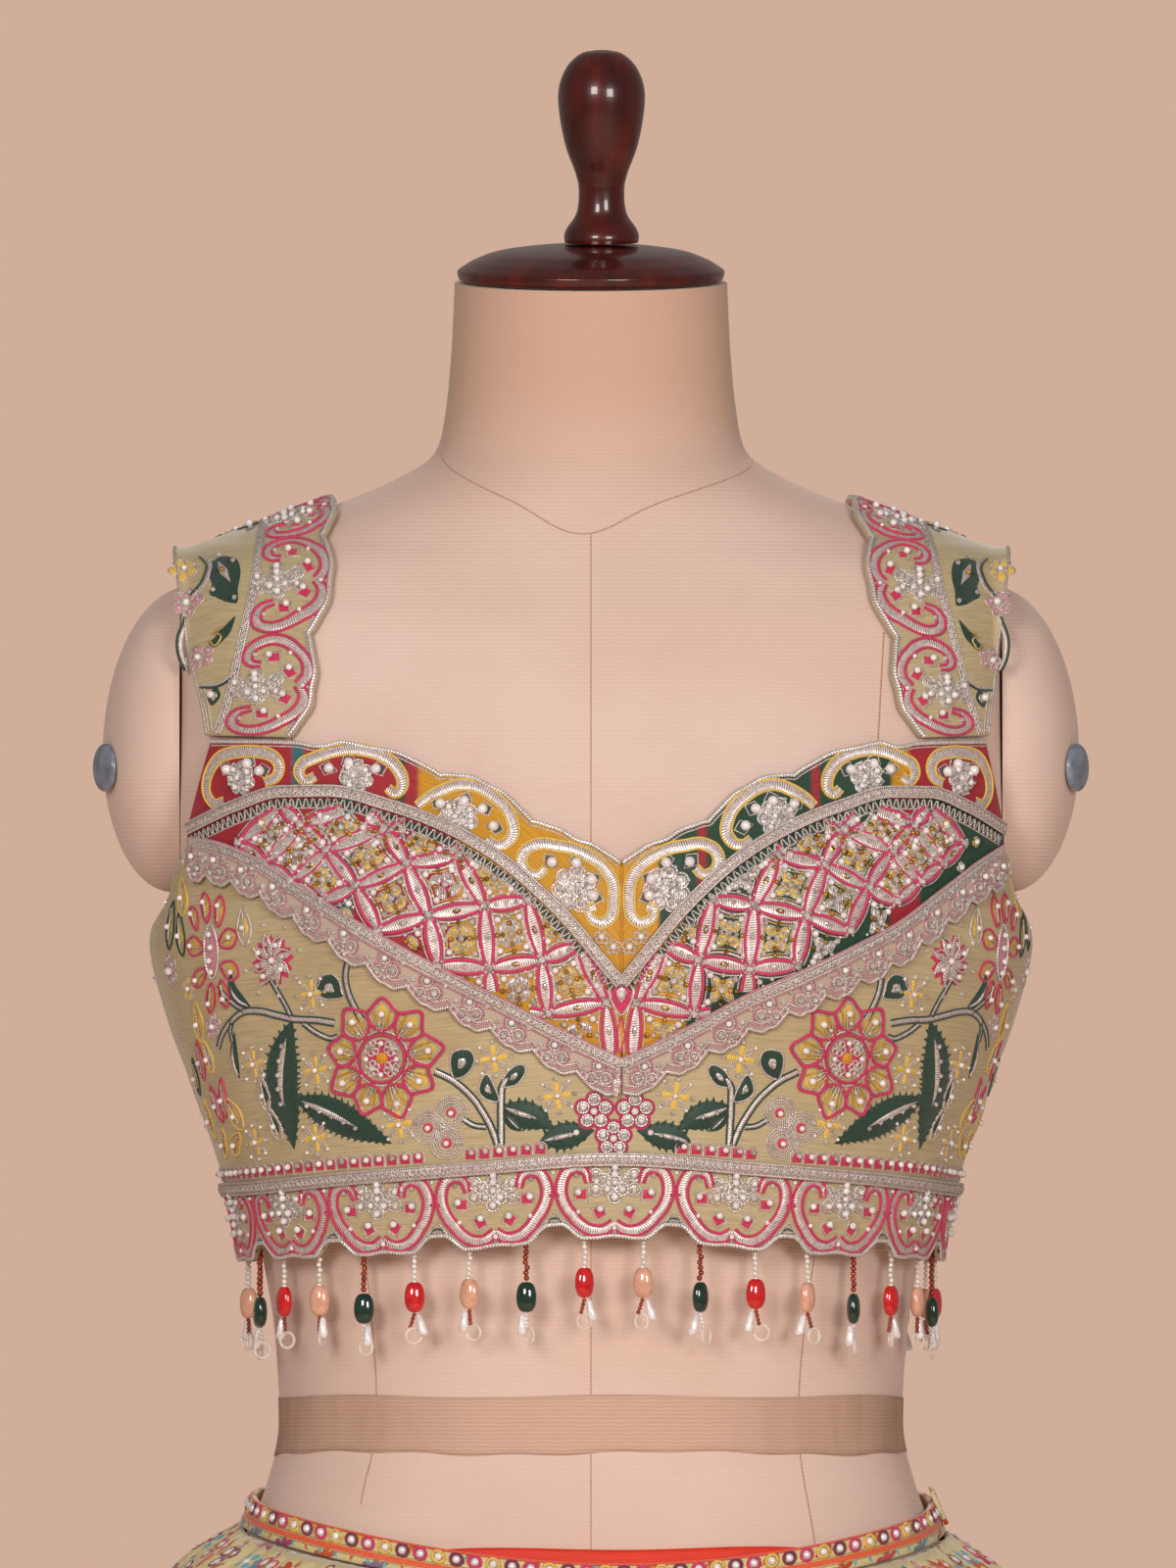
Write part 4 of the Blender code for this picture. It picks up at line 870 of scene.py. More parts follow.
def smooth_line(points, step, closed=False):
    """Points about a step apart on a curve through these."""
    points = np.asarray(points, float)
    if closed:
        points = np.concatenate([points[-1:], points, points[:2]])
    else:
        points = np.concatenate([2 * points[:1] - points[1:2], points, 2 * points[-1:] - points[-2:-1]])
    parts = []
    for a, b, c, d in zip(points, points[1:], points[2:], points[3:]):
        count = max(2, int(math.ceil(np.linalg.norm(c - b) / step)))
        u = np.linspace(0, 1, count, endpoint=False)[:, None]
        part = 2 * b + (c - a) * u + (2 * a - 5 * b + 4 * c - d) * u**2 + (3 * b - a - 3 * c + d) * u**3
        parts.append(part / 2)
    return np.concatenate(parts if closed else parts + [points[-2:-1]])


def gone_along(points):
    """How far along a line each of its points is."""
    return np.concatenate([[0], np.cumsum(np.linalg.norm(np.diff(points, axis=0), axis=1))])


def across_of(line):
    """The direction to the left of a flat line at each of its points."""
    tangent = np.gradient(line, axis=0)
    tangent /= np.maximum(np.linalg.norm(tangent, axis=1, keepdims=True), 1e-9)
    return np.stack([-tangent[:, 1], tangent[:, 0]], axis=1)


def beside(line, distance):
    """A flat line moved to its left."""
    line = np.asarray(line, float)
    return line + across_of(line) * np.reshape(distance, (-1, 1))


def stepped(line, step, start=0.0):
    """How far along a flat line its even steps are, and the places there."""
    gone = gone_along(line)
    steps = np.arange(start, gone[-1], step)
    return steps, np.stack([np.interp(steps, gone, line[:, axis]) for axis in (0, 1)], axis=1)


def spin_of(turn):
    """The matrix that turns flat places by an angle in degrees."""
    angle = math.radians(turn)
    return np.array([[math.cos(angle), -math.sin(angle)], [math.sin(angle), math.cos(angle)]])


def turn_of(line):
    """The angle in degrees from a line's first place to its last."""
    return math.degrees(math.atan2(*(line[-1] - line[0])[::-1]))


def ring_of(count, radius, turn=0.0):
    """Places evenly round a circle, the first at this angle."""
    angle = np.linspace(0, 2 * math.pi, count, endpoint=False) + math.radians(turn)
    return np.stack([np.cos(angle), np.sin(angle)], axis=1) * radius


class Hoop:
    """A stretch of cloth to draw on: place turns its own flat units into the surface's."""

    def __init__(self, garment, surface, off, place=None):
        self.garment, self.surface, self.off = garment, surface, off
        self.place = place or (lambda points: points)

    def flat(self, points):
        """The surface's own places for places of this hoop."""
        return self.place(np.asarray(points, float).reshape(-1, 2))

    def at(self, origin, turn=0.0):
        """A smaller hoop in this one, moved and turned."""
        matrix, outer = spin_of(turn).T, self.place
        return Hoop(self.garment, self.surface, self.off, lambda points: outer(points @ matrix + origin))

    def pinned(self, origin, turn=0.0, size=(1.0, 1.0)):
        """A hoop in true millimetres round one place of this one."""
        matrix, centre = (np.diag(size) @ spin_of(turn)).T, self.flat([origin])[0]
        return Hoop(self.garment, self.surface, self.off, lambda points: points @ matrix + centre)

    def couch(self, flat, radius, thread, closed=False, rise=0.35):
        """Lays a cord along places of the surface, part sunk in the cloth."""
        laid = self.surface(flat[:, 0], flat[:, 1], self.off + radius * rise)
        CORDS.setdefault((self.garment, thread), []).append((laid, radius, closed))

    def cord(self, points, radius, thread, closed=False, step=1.3, curved=True, rise=0.35):
        """A cord on a line; rise is how far its middle stands over the cloth, in radii."""
        line = self.flat(points)
        self.couch(smooth_line(line, step, closed) if curved else line, radius, thread, closed, rise)

    def ribbon(self, points, halves, thread, dome=0.6, step=1.5, edge=None, radius=0.42, curved=True):
        """Satin stitch along a line; its half widths are spread evenly along it, and edge is a cord's."""
        line = self.flat(points)
        line = smooth_line(line, step) if curved else line
        gone, across = gone_along(line), across_of(line)
        half = np.interp(gone / gone[-1], np.linspace(0, 1, len(halves)), halves)
        share = np.array([-1.0, -0.62, 0.0, 0.62, 1.0])
        grid = line[:, None] + across[:, None] * (share[None, :, None] * half[:, None, None])
        off = self.off - 0.1 + dome * (1 - share**2)[None] * (half / max(halves))[:, None]
        self.keep(grid, off, np.broadcast_to(gone[:, None], off.shape), thread, share * 0.5)
        if edge:
            for side in (1, -1):
                self.couch(line + across * (side * half)[:, None], radius, edge)

    def fill(self, outline, thread, dome=0.6, curved=False, rings=(1.0, 0.6, 0.0), stone=False):
        """A filled shape, a little domed."""
        edge = self.flat(outline)
        edge = smooth_line(edge, 1.2, True) if curved else edge
        middle, share = edge.mean(axis=0), np.array(rings)
        grid = middle + (edge[None] - middle) * share[:, None, None]
        grid = np.concatenate([grid, grid[:, :1]], axis=1)
        off = self.off - 0.1 + dome * (1 - share**2)[:, None] * np.ones(grid.shape[1])
        self.keep(grid, off, grid[..., 0], thread, 0.0, stone)

    def keep(self, grid, off, along, thread, around, stone=False):
        """Keeps a grid of flat places as a patch that faces out of the cloth."""
        laid = self.surface(grid[..., 0], grid[..., 1], off)
        faces, points = grid_faces(*laid.shape[:2]), laid.reshape(-1, 3)
        corners = points[faces]
        area = np.cross(corners[:, 2] - corners[:, 0], corners[:, 3] - corners[:, 1]).sum(axis=0)
        u, v = grid.reshape(-1, 2).mean(axis=0)
        outward = self.surface.look(self.surface.normal, u, v)
        if (area * outward).sum() < 0:
            faces = faces[:, ::-1]
        around = np.broadcast_to(around, off.shape)
        patch = (points, faces, along.ravel(), around.ravel())
        PATCHES.setdefault((self.garment, thread, stone), []).append(patch)

    def disc(self, spot, radius, thread, dome=0.6, sides=8, **options):
        """A filled circle."""
        self.fill(ring_of(sides, radius) + spot, thread, dome, **options)

    def loop(self, spot, radius, thick, thread, sides=8, **options):
        """A circle of cord."""
        self.cord(ring_of(sides, radius) + spot, thick, thread, closed=True, **options)

    def beads(self, points, radius, kind, rise=0.55):
        """Beads of one size and kind at some places."""
        line = self.flat(points)
        laid = self.surface(line[:, 0], line[:, 1], self.off + radius * rise)
        BEADS.setdefault((self.garment, kind), []).append((laid, np.full(len(laid), radius)))

    def gem(self, place, turn, long, wide, kind):
        """A cut stone, pointed at both ends, lying along its hoop's turn."""
        angle = np.linspace(0, 2 * math.pi, 8, endpoint=False)
        outline = np.stack([long / 2 * np.cos(angle), wide / 2 * np.sin(angle)], axis=1)
        outline[:, 1] *= 1 - 0.25 * np.abs(np.cos(angle))
        self.at(place, turn).fill(outline, kind, wide * 0.4, rings=(1.0, 0.5, 0.0), stone=True)

    def rosette(self, place, radius, petals, kind, size, thread="zari", cord=0.4):
        """A small flower of cord loops round a bead."""
        hoop = self.at(place)
        for petal in ring_of(petals, radius * 0.6, 20):
            hoop.loop(petal, radius * 0.4, cord, thread, 6, step=1.2)
        hoop.beads([(0, 0)], size, kind)

    def pearl_drop(self, place, turn, long, wide, thread, size):
        """A pointed drop of thread with a silver outline and a pearl."""
        hoop = self.at(place, turn)
        outline = [(long / 2, 0), (0.1 * long, wide / 2), (-long / 2, 0), (0.1 * long, -wide / 2)]
        hoop.fill(outline, thread, 0.4, rings=(1.0, 0.0))
        hoop.cord(outline + outline[:1], 0.32, "zari", curved=False)
        hoop.beads([(-0.08 * long, 0)], size, "pearl")


# Making the pieces


def new_tree(name, *sockets):
    """A geometry node tree with a mesh and these (name, kind) inputs, and what they give."""
    tree = bpy.data.node_groups.new(name, "GeometryNodeTree")
    for socket, kind in (("Geometry", "Geometry"), *sockets):
        tree.interface.new_socket(socket, in_out="INPUT", socket_type="NodeSocket" + kind)
    tree.interface.new_socket("Geometry", in_out="OUTPUT", socket_type="NodeSocketGeometry")
    return tree, node(tree, "NodeGroupInput").outputs


def cord_tree():
    """Geometry nodes that turn lines into cords, with how far along and around each point is."""
    tree, given = new_tree("couched_cord", ("Sides", "Int"), ("Thread", "Material"))
    line = node(tree, "GeometryNodeMeshToCurve", {"Mesh": given["Geometry"]}).outputs["Curve"]
    gone = node(tree, "GeometryNodeSplineParameter").outputs["Length"]
    gone = node(tree, "ShaderNodeMath", {0: gone, 1: 1000.0}, operation="MULTIPLY").outputs[0]
    inputs = {"Geometry": line, "Name": "along", "Value": gone}
    line = node(tree, "GeometryNodeStoreNamedAttribute", inputs, domain="POINT").outputs["Geometry"]
    inputs = {"Resolution": given["Sides"], "Radius": 1.0}
    ring = node(tree, "GeometryNodeCurvePrimitiveCircle", inputs).outputs["Curve"]
    turned_by = node(tree, "GeometryNodeSplineParameter").outputs["Factor"]
    inputs = {"Geometry": ring, "Name": "around", "Value": turned_by}
    ring = node(tree, "GeometryNodeStoreNamedAttribute", inputs, domain="POINT").outputs["Geometry"]
    thick = node(tree, "GeometryNodeInputNamedAttribute", {"Name": "thick"}).outputs["Attribute"]
    inputs = {"Curve": line, "Profile Curve": ring, "Scale": thick, "Fill Caps": True}
    tube = node(tree, "GeometryNodeCurveToMesh", inputs).outputs["Mesh"]
    tube = node(tree, "GeometryNodeSetShadeSmooth", {"Geometry": tube, "Shade Smooth": True}).outputs[0]
    tube = node(tree, "GeometryNodeRealizeInstances", {"Geometry": tube}).outputs["Geometry"]
    inputs = {"Geometry": tube, "Material": given["Thread"]}
    tube = node(tree, "GeometryNodeSetMaterial", inputs).outputs["Geometry"]
    node(tree, "NodeGroupOutput", {"Geometry": tube})
    return tree


def bead_tree():
    """Geometry nodes that put a round bead of its own size at each point."""
    inputs = ("Facets", "Int"), ("Smooth", "Bool"), ("Bead", "Material")
    tree, given = new_tree("sewn_beads", *inputs)
    inputs = {"Radius": 1.0, "Subdivisions": given["Facets"]}
    ball = node(tree, "GeometryNodeMeshIcoSphere", inputs).outputs["Mesh"]
    thick = node(tree, "GeometryNodeInputNamedAttribute", {"Name": "thick"}).outputs["Attribute"]
    inputs = {"Points": given["Geometry"], "Instance": ball, "Scale": thick}
    sewn = node(tree, "GeometryNodeInstanceOnPoints", inputs).outputs["Instances"]
    sewn = node(tree, "GeometryNodeRealizeInstances", {"Geometry": sewn}).outputs["Geometry"]
    inputs = {"Geometry": sewn, "Shade Smooth": given["Smooth"]}
    sewn = node(tree, "GeometryNodeSetShadeSmooth", inputs).outputs["Geometry"]
    inputs = {"Geometry": sewn, "Material": given["Bead"]}
    sewn = node(tree, "GeometryNodeSetMaterial", inputs).outputs["Geometry"]
    node(tree, "NodeGroupOutput", {"Geometry": sewn})
    return tree


def show(name, mesh):
    """Puts a mesh in the scene as a piece that rides on the frame."""
    piece = bpy.data.objects.new(name, mesh)
    bpy.context.scene.collection.objects.link(piece)
    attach(piece, "root")
    return piece


def grown(name, mesh, tree, values):
    """Shows the plain mesh that a tree makes of this one."""
    seed = bpy.data.objects.new(name, mesh)
    bpy.context.scene.collection.objects.link(seed)
    modifier = seed.modifiers.new("make", "NODES")
    modifier.node_group = tree
    for item in tree.interface.items_tree:
        if item.in_out == "INPUT" and item.name in values:
            modifier[item.identifier] = values[item.name]
    ready = seed.evaluated_get(bpy.context.evaluated_depsgraph_get())
    made = bpy.data.meshes.new_from_object(ready)
    bpy.data.objects.remove(seed)
    return show(name, made)


def lifted(points):
    """Millimetres above the waist as metres above the floor."""
    return (points + (0, 0, WAIST_ABOVE_FLOOR)) * MM


def put_floats(mesh, name, values):
    """Gives each of a mesh's points a number of this name."""
    mesh.attributes.new(name, "FLOAT", "POINT").data.foreach_set("value", np.asarray(values, np.float32))


def grid_faces(rows, columns):
    """The four corners of each face of a grid."""
    quad = np.arange(rows * columns).reshape(rows, columns)
    return np.stack([quad[:-1, :-1], quad[:-1, 1:], quad[1:, 1:], quad[1:, :-1]], axis=-1).reshape(-1, 4)


CORD_SIDES = {"clear": 10, "silver": 5}  # where more sides than four show


def sew_cords():
    """Makes one piece of all the cords of a thread on a garment."""
    tree = cord_tree()
    for (garment, thread), chains in CORDS.items():
        edges, start = [], 0
        for chain, radius, closed in chains:
            run = np.arange(start, start + len(chain))
            edges.append(np.stack([run[:-1], run[1:]], axis=1))
            if closed:
                edges.append([[run[-1], run[0]]])
            start += len(chain)
        name = f"{garment}_{thread}_cords"
        mesh = bpy.data.meshes.new(name)
        points = np.concatenate([chain for chain, radius, closed in chains])
        mesh.from_pydata(lifted(points), np.concatenate(edges), [])
        thick = [np.full(len(chain), radius * MM) for chain, radius, closed in chains]
        put_floats(mesh, "thick", np.concatenate(thick))
        values = {"Sides": CORD_SIDES.get(thread, 4), "Thread": FINISH[thread]}
        grown(name, mesh, tree, values)


def sew_beads():
    """Makes one piece of all the beads of a kind on a garment."""
    tree = bead_tree()
    for (garment, kind), groups in BEADS.items():
        mesh = bpy.data.meshes.new(f"{garment}_{kind}_points")
        mesh.from_pydata(lifted(np.concatenate([points for points, radii in groups])), [], [])
        put_floats(mesh, "thick", np.concatenate([radii for points, radii in groups]) * MM)
        cut = kind in ("crystal", "sequin")
        values = {"Facets": 1 if cut or kind == "seed" else 2, "Smooth": not cut, "Bead": FINISH[kind]}
        grown(f"{garment}_{kind}_beads", mesh, tree, values)


SAME_STITCH, SAME_BEAD = 0.000002, 0.00001  # points nearer than this, in metres, are made one


def sew_patches():
    """Makes one piece of all the filled shapes of a thread, or of a stone, on a garment."""
    for (garment, thread, stone), patches in PATCHES.items():
        points, faces, along, around = zip(*patches)
        starts = np.cumsum([0] + [len(some) for some in points[:-1]])
        faces = np.concatenate([some + start for some, start in zip(faces, starts)])
        name = f"{garment}_{thread}_{'stones' if stone else 'stitches'}"
        mesh = bpy.data.meshes.new(name)
        mesh.from_pydata(lifted(np.concatenate(points)), [], faces)
        put_floats(mesh, "along", np.concatenate(along))
        put_floats(mesh, "around", np.concatenate(around))
        mesh.materials.append(FINISH[thread])
        shape = bmesh.new()
        shape.from_mesh(mesh)
        bmesh.ops.remove_doubles(shape, verts=shape.verts, dist=SAME_STITCH)
        bmesh.ops.dissolve_degenerate(shape, dist=SAME_STITCH / 2, edges=shape.edges)
        shape.to_mesh(mesh)
        shape.free()
        if not stone:
            mesh.shade_smooth()
        show(name, mesh)


NARROWEST = 0.012  # a narrow tape's flat width in metres, with both its edges still turned out
LEAST_FILLED = 0.31  # the share of that flat rectangle that a narrow tape is said to fill at least


def smooth_sheet(name, points, finish):
    """A mesh with no thickness through rows of points."""
    mesh = bpy.data.meshes.new(name)
    mesh.from_pydata(lifted(points.reshape(-1, 3)), [], grid_faces(*points.shape[:2]))
    mesh.materials.append(FINISH[finish])
    mesh.shade_smooth()
    return mesh


def thicken(piece, thick, offset=1.0):
    """Gives a sheet its thickness: outwards, or with offset 0 to both sides."""
    solidify = piece.modifiers.new("thickness", "SOLIDIFY")
    solidify.thickness, solidify.offset = thick * MM, offset


def cloth_piece(
    name, node_name, points, finish, thick=CLOTH, side=1,
    offset=1.0, ground=None,
):
    """A sheet of cloth through rows of points, for one node of the part.

    Its UV map is in metres of cloth, and its flat size is measured along its rows and columns.
    Side -1 reads each row backwards, so that a mirrored sheet faces outwards too.
    """
    points = points[:, ::side]
    rows, columns = points.shape[:2]
    mesh = smooth_sheet(name, points, finish)
    across = np.linalg.norm(np.diff(points, axis=1), axis=-1)
    up = np.linalg.norm(np.diff(points, axis=0), axis=-1)
    u = np.concatenate([np.zeros((rows, 1)), np.cumsum(across, axis=1)], axis=1)
    v = np.concatenate([np.zeros((1, columns)), np.cumsum(up, axis=0)], axis=0)
    flat = np.stack([u - u.mean(axis=1, keepdims=True), v], axis=-1).reshape(-1, 2) * MM
    corners = np.empty(len(mesh.loops), int)
    mesh.loops.foreach_get("vertex_index", corners)
    mesh.uv_layers.new(name="cloth").data.foreach_set("uv", flat[corners].ravel().astype(np.float32))
    if ground is not None:
        colours = mesh.attributes.new("ground", "FLOAT_COLOR", "POINT")
        colours.data.foreach_set("color", ground[:, ::side].reshape(-1).astype(np.float32))
    piece = show(name, mesh)
    thicken(piece, thick, offset)
    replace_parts(piece, node_name)
    diagonals = points[1:, 1:] - points[:-1, :-1], points[1:, :-1] - points[:-1, 1:]
    area = np.linalg.norm(np.cross(*diagonals), axis=-1).sum() / 2 * MM * MM
    wide, long = u[:, -1].max() * MM, max(v[-1].max() * MM, NARROWEST)
    wide, long = max(wide, area / long), max(long, area / wide)
    area = max(area, LEAST_FILLED * wide * long)


# The dress form and its stand


def body_mesh(name, bodies, finish, tidied=False):
    """A smooth mesh of closed bodies, each through rings of points; a ring of one point is a pole."""
    shape = bmesh.new()
    for rings in bodies:
        loops = [[shape.verts.new(point) for point in lifted(ring)] for ring in rings]
        for upper, lower in zip(loops, loops[1:]):
            for i in range(max(len(upper), len(lower))):
                corners = [upper[i % len(upper)], upper[(i + 1) % len(upper)]]
                corners += [lower[(i + 1) % len(lower)], lower[i % len(lower)]]
                shape.faces.new(list(dict.fromkeys(corners)))
        for loop in (loops[0], loops[-1]):
            if len(loop) > 1:
                shape.faces.new(loop)
    if tidied:
        bmesh.ops.remove_doubles(shape, verts=shape.verts, dist=SAME_BEAD)
        bmesh.ops.dissolve_degenerate(shape, dist=SAME_BEAD, edges=shape.edges)
    bmesh.ops.recalc_face_normals(shape, faces=shape.faces)
    mesh = bpy.data.meshes.new(name)
    shape.to_mesh(mesh)
    shape.free()
    mesh.materials.append(FINISH[finish])
    mesh.shade_smooth()
    return mesh


def closed_skin(name, node_name, rings, finish):
    """A closed body for one node of the part, with its sharp edges left sharp."""
    mesh = body_mesh(name, [rings], finish)
    mesh.set_sharp_from_angle(angle=math.radians(40))
    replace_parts(show(name, mesh), node_name)


def turned_rings(profile, sides):
    """Rings round the upright axis for (radius, height) pairs."""
    angle = np.linspace(0, 2 * math.pi, sides, endpoint=False)
    round_ = np.stack([np.cos(angle), np.sin(angle), np.zeros(sides)], axis=1)
    return [
        (round_ * radius if radius > 0 else np.zeros((1, 3))) + (0, 0, height) for radius, height in profile
    ]


def eased(profile, step=1.2):
    """The stations of a profile with the curve between them."""
    return [tuple(point) for point in smooth_line(profile, step)]


def make_torso():
    """The form's body, close ringed at the shoulders, up to the slanted top of its neck."""
    heights = [*np.arange(-320.0, 300.0, 6.0), *np.arange(300.0, 382.0, 3.0), 390.0, 405.0, 418.0, 428.5]
    sides = 120
    t = (np.arange(sides) * 2 / sides + 1) % 2 - 1
    rings = [NUDE.at(t, height) for height in heights]
    rings[-1][:, 2] = NECK_TOP + rings[-1][:, 1] * math.tan(math.radians(NECK_LEAN))
    closed_skin("jersey_torso", "form_torso", rings[::-1], "jersey")


def make_shoulder(side, word):
    """Half of a flattened ball that closes the armhole, and the knob that an arm would hang on."""
    cap = SHOULDER_CAP
    around = np.linspace(0, 2 * math.pi, 72, endpoint=False)
    rings = []
    for lift in np.concatenate([np.linspace(0, 88, 23), [90]]):
        out, wide = math.sin(math.radians(lift)), math.cos(math.radians(lift))
        back, up = wide * np.cos(around), wide * np.sin(around)
        if lift == 90:
            back, up = np.zeros(1), np.zeros(1)
        x = np.full(len(back), side * (ARM_PLANE + SEAM + cap["bulge"] * out))
        y = 1.0 + cap["deep"] * back
        height = cap["height"] - cap["droop"] * out + cap["tall"] * up
        rings.append(np.stack([x, y, height], axis=1))
    closed_skin(f"jersey_shoulder_{word}", f"form_shoulder_{word}", rings, "jersey")
    profile = [(0, 3.4)] + eased([(2.0, 3.35), (5.5, 3.0), (8.0, 2.2), (9.0, 1.2)], 0.5) + [(9.0, 0), (0, 0)]
    turn = np.array(Euler((0, side * math.pi / 2, -side * math.radians(24))).to_matrix())
    seat = (side * (ARM_PLANE + SEAM + cap["bulge"] * 0.90 + 1.2), -cap["deep"] * 0.40, cap["height"] - 11)
    rings = [ring @ turn.T + seat for ring in turned_rings(profile, 40)]
    closed_skin(f"enamel_arm_knob_{word}", f"form_arm_knob_{word}", rings, "enamel")


def make_neck_cap():
    """The turned cap on the neck and the finial on it, as (radius, height) stations from its seat."""
    cap = [(0, 14.9)] + eased([(2.0, 14.9), (13.0, 14.5), (26.0, 13.3), (37.0, 11.4), (45.0, 8.3)])
    cap += eased([(46.5, 7.4), (50.0, 5.0), (50.5, 3.8), (49.8, 1.3), (48.0, SEAM)], 0.6) + [(0, SEAM)]
    finial = [
        (3.0, 87.9), (8.0, 86.6), (13.2, 81.6), (16.2, 73.6), (16.0, 64.0), (13.6, 51.6), (9.8, 41.2),
        (8.6, 34.6), (9.5, 26.4), (13.2, 20.6), (14.2, 17.6), (13.9, 15.3),
    ]
    finial = [(0, 88.1)] + eased(finial) + [(13.6, 15.2), (0, 15.2)]
    lean = np.array(Euler((math.radians(NECK_LEAN), 0, 0)).to_matrix())
    for name, profile, axis_x in (("neck_cap", cap, 0.0), ("finial", finial, FINIAL_AXIS_X)):
        rings = [ring @ lean.T + (axis_x, 0, NECK_TOP) for ring in turned_rings(profile, 96)]
        closed_skin(f"mahogany_{name}", f"form_{name}", rings, "mahogany")


def make_stand():
    """The turned base, and the pole and flange under the form, with a small edge turned on each."""
    floor, seat = -WAIST_ABOVE_FLOOR, BODY[0].height
    crown = BASE_TALL + 4
    base = [(0, crown)] + eased([(5, 28), (60, 27), (150, 20), (180, 15), (189, 12), (194, 8)], 4.0)
    base += eased([(BASE_RADIUS, 6.5), (BASE_RADIUS, 2), (BASE_RADIUS - 1.5, 0.3)], 1.0)
    base += [(BASE_RADIUS - 2, 0), (0, 0)]
    base = [(radius, floor + height) for radius, height in base]
    closed_skin("mahogany_base", "form_base", turned_rings(base, 120), "mahogany")
    edge, wide = 0.6, FLANGE_RADIUS
    top, foot = seat - SEAM, seat - FLANGE_TALL
    flange = [(0, top), (wide - edge, top), (wide, top - edge)]
    flange += [(wide, foot + 1.5), (wide - 1.5, foot), (0, foot)]
    closed_skin("steel_flange", "form_pole_flange", turned_rings(flange, 64), "steel")
    top, foot, wide = foot - SEAM, floor + crown + SEAM, POLE_RADIUS
    pole = [(0, top), (wide - edge, top), (wide, top - edge), (wide, -700)]
    pole += [(wide, foot + edge), (wide - edge, foot), (0, foot)]
    closed_skin("steel_pole", "form_pole", turned_rings(pole, 48), "steel")


def make_form_seams():
    """The jersey's seams, which sink a little, and the gauze tape round the waist."""
    seams = Hoop("form", BODY_FACE, 0.0)
    for line in FORM_SEAMS:
        seams.cord(line, 0.42, "flesh", step=3.0, rise=-0.35)
    s = np.linspace(-NUDE.half_round(0.0) + 0.5, NUDE.half_round(0.0) - 0.5, 241)
    low = TAPE_LOW + 0.7 * np.sin(s / 21) + 0.4 * np.sin(s / 6.1)
    high = TAPE_HIGH + 0.5 * np.sin(s / 17 + 1)
    heights = low + (high - low) * np.linspace(0, 1, 9)[:, None]
    points = BODY_FACE(s, heights, 0.12)
    piece = show("gauze_waist_tape", smooth_sheet("gauze_waist_tape", points, "tape"))
    thicken(piece, TAPE_THICK)


def make_form():
    """The dress form on its stand."""
    make_torso()
    for side, word in ((1, "left"), (-1, "right")):
        make_shoulder(side, word)
    make_neck_cap()
    make_stand()
    make_form_seams()


# The choli's cloth


def place_across(share, end=FRONT_END):
    """Distances from the choli's centre line, closer together where its surface turns away."""
    return SEAM / 2 + (end - SEAM / 2) * (1 - (1 - share) ** 1.35)


def shares(columns, rows):
    """Shares from 0 to 1 across and up a sheet with this many faces."""
    return np.meshgrid(np.linspace(0, 1, columns + 1), np.linspace(0, 1, rows + 1))


def choli_rows(t, low, high, rows):
    """Rows of points on the choli at shares t, from the heights low to the heights high."""
    return choli_at(t, low + (high - low) * np.linspace(0, 1, rows)[:, None])


def dyed_areas(place, areas):
    """Linear colours of cloth dyed in areas, each with the place where it ends, 1.5 mm blurred."""
    blur = 1.5 / 2
    stops, table = [], []
    for start, (end, code) in zip((0.0, *(area[0] for area in areas)), areas):
        stops += [start + blur, end - blur]
        table += [linear(code)] * 2
    table = np.array(table)
    return np.stack([np.interp(place, stops, table[:, i]) for i in range(4)], axis=-1)


MUSTARD, CHERRY, BOTTLE, TEAL = "#E2A414", "#B42234", "#1E4A36", "#2B7A8A"
# How each side's neckline border and cup are dyed: where each area ends, and its colour
DYED = {
    1: (
        ((14, MUSTARD), (29, BOTTLE), (32, CHERRY), (73, BOTTLE), (76, CHERRY), (105, BOTTLE),
         (112, MUSTARD), (153, CHERRY)),
        ((24, MUSTARD), (104, BOTTLE), (116, CHERRY), (153, BOTTLE)),
    ),
    -1: (
        ((73.5, MUSTARD), (78, CHERRY), (80, BOTTLE), (113, CHERRY), (117, TEAL), (153, CHERRY)),
        ((60, MUSTARD), (96, CHERRY), (101, TEAL), (153, CHERRY)),
    ),
}


def make_neckline(side, word):
    """The neckline border and the bust cup of one side."""
    border_areas, cup_areas = DYED[side]
    across, up = shares(200, 20)
    place = place_across(across, FRONT_END + (NECK_END_TOP - FRONT_END) * up)
    low, high = NECK_SEAM_AT(place) + SEAM / 2, neck_edge_at(place)
    cloth_piece(
        f"neck_border_{word}", f"choli_neck_border_{word}",
        front_at(side * place, low + (high - low) * up, 0.0), "dyed", side=side,
        ground=dyed_areas(place, border_areas),
    )
    across, up = shares(170, 60)
    place = place_across(across)
    low, high = underbust_at(side * place) + SEAM / 2, NECK_SEAM_AT(place) - SEAM / 2
    cloth_piece(
        f"cup_{word}", f"choli_cup_{word}",
        front_at(side * place, low + (high - low) * up, 0.0), "dyed", side=side,
        ground=dyed_areas(place, cup_areas),
    )


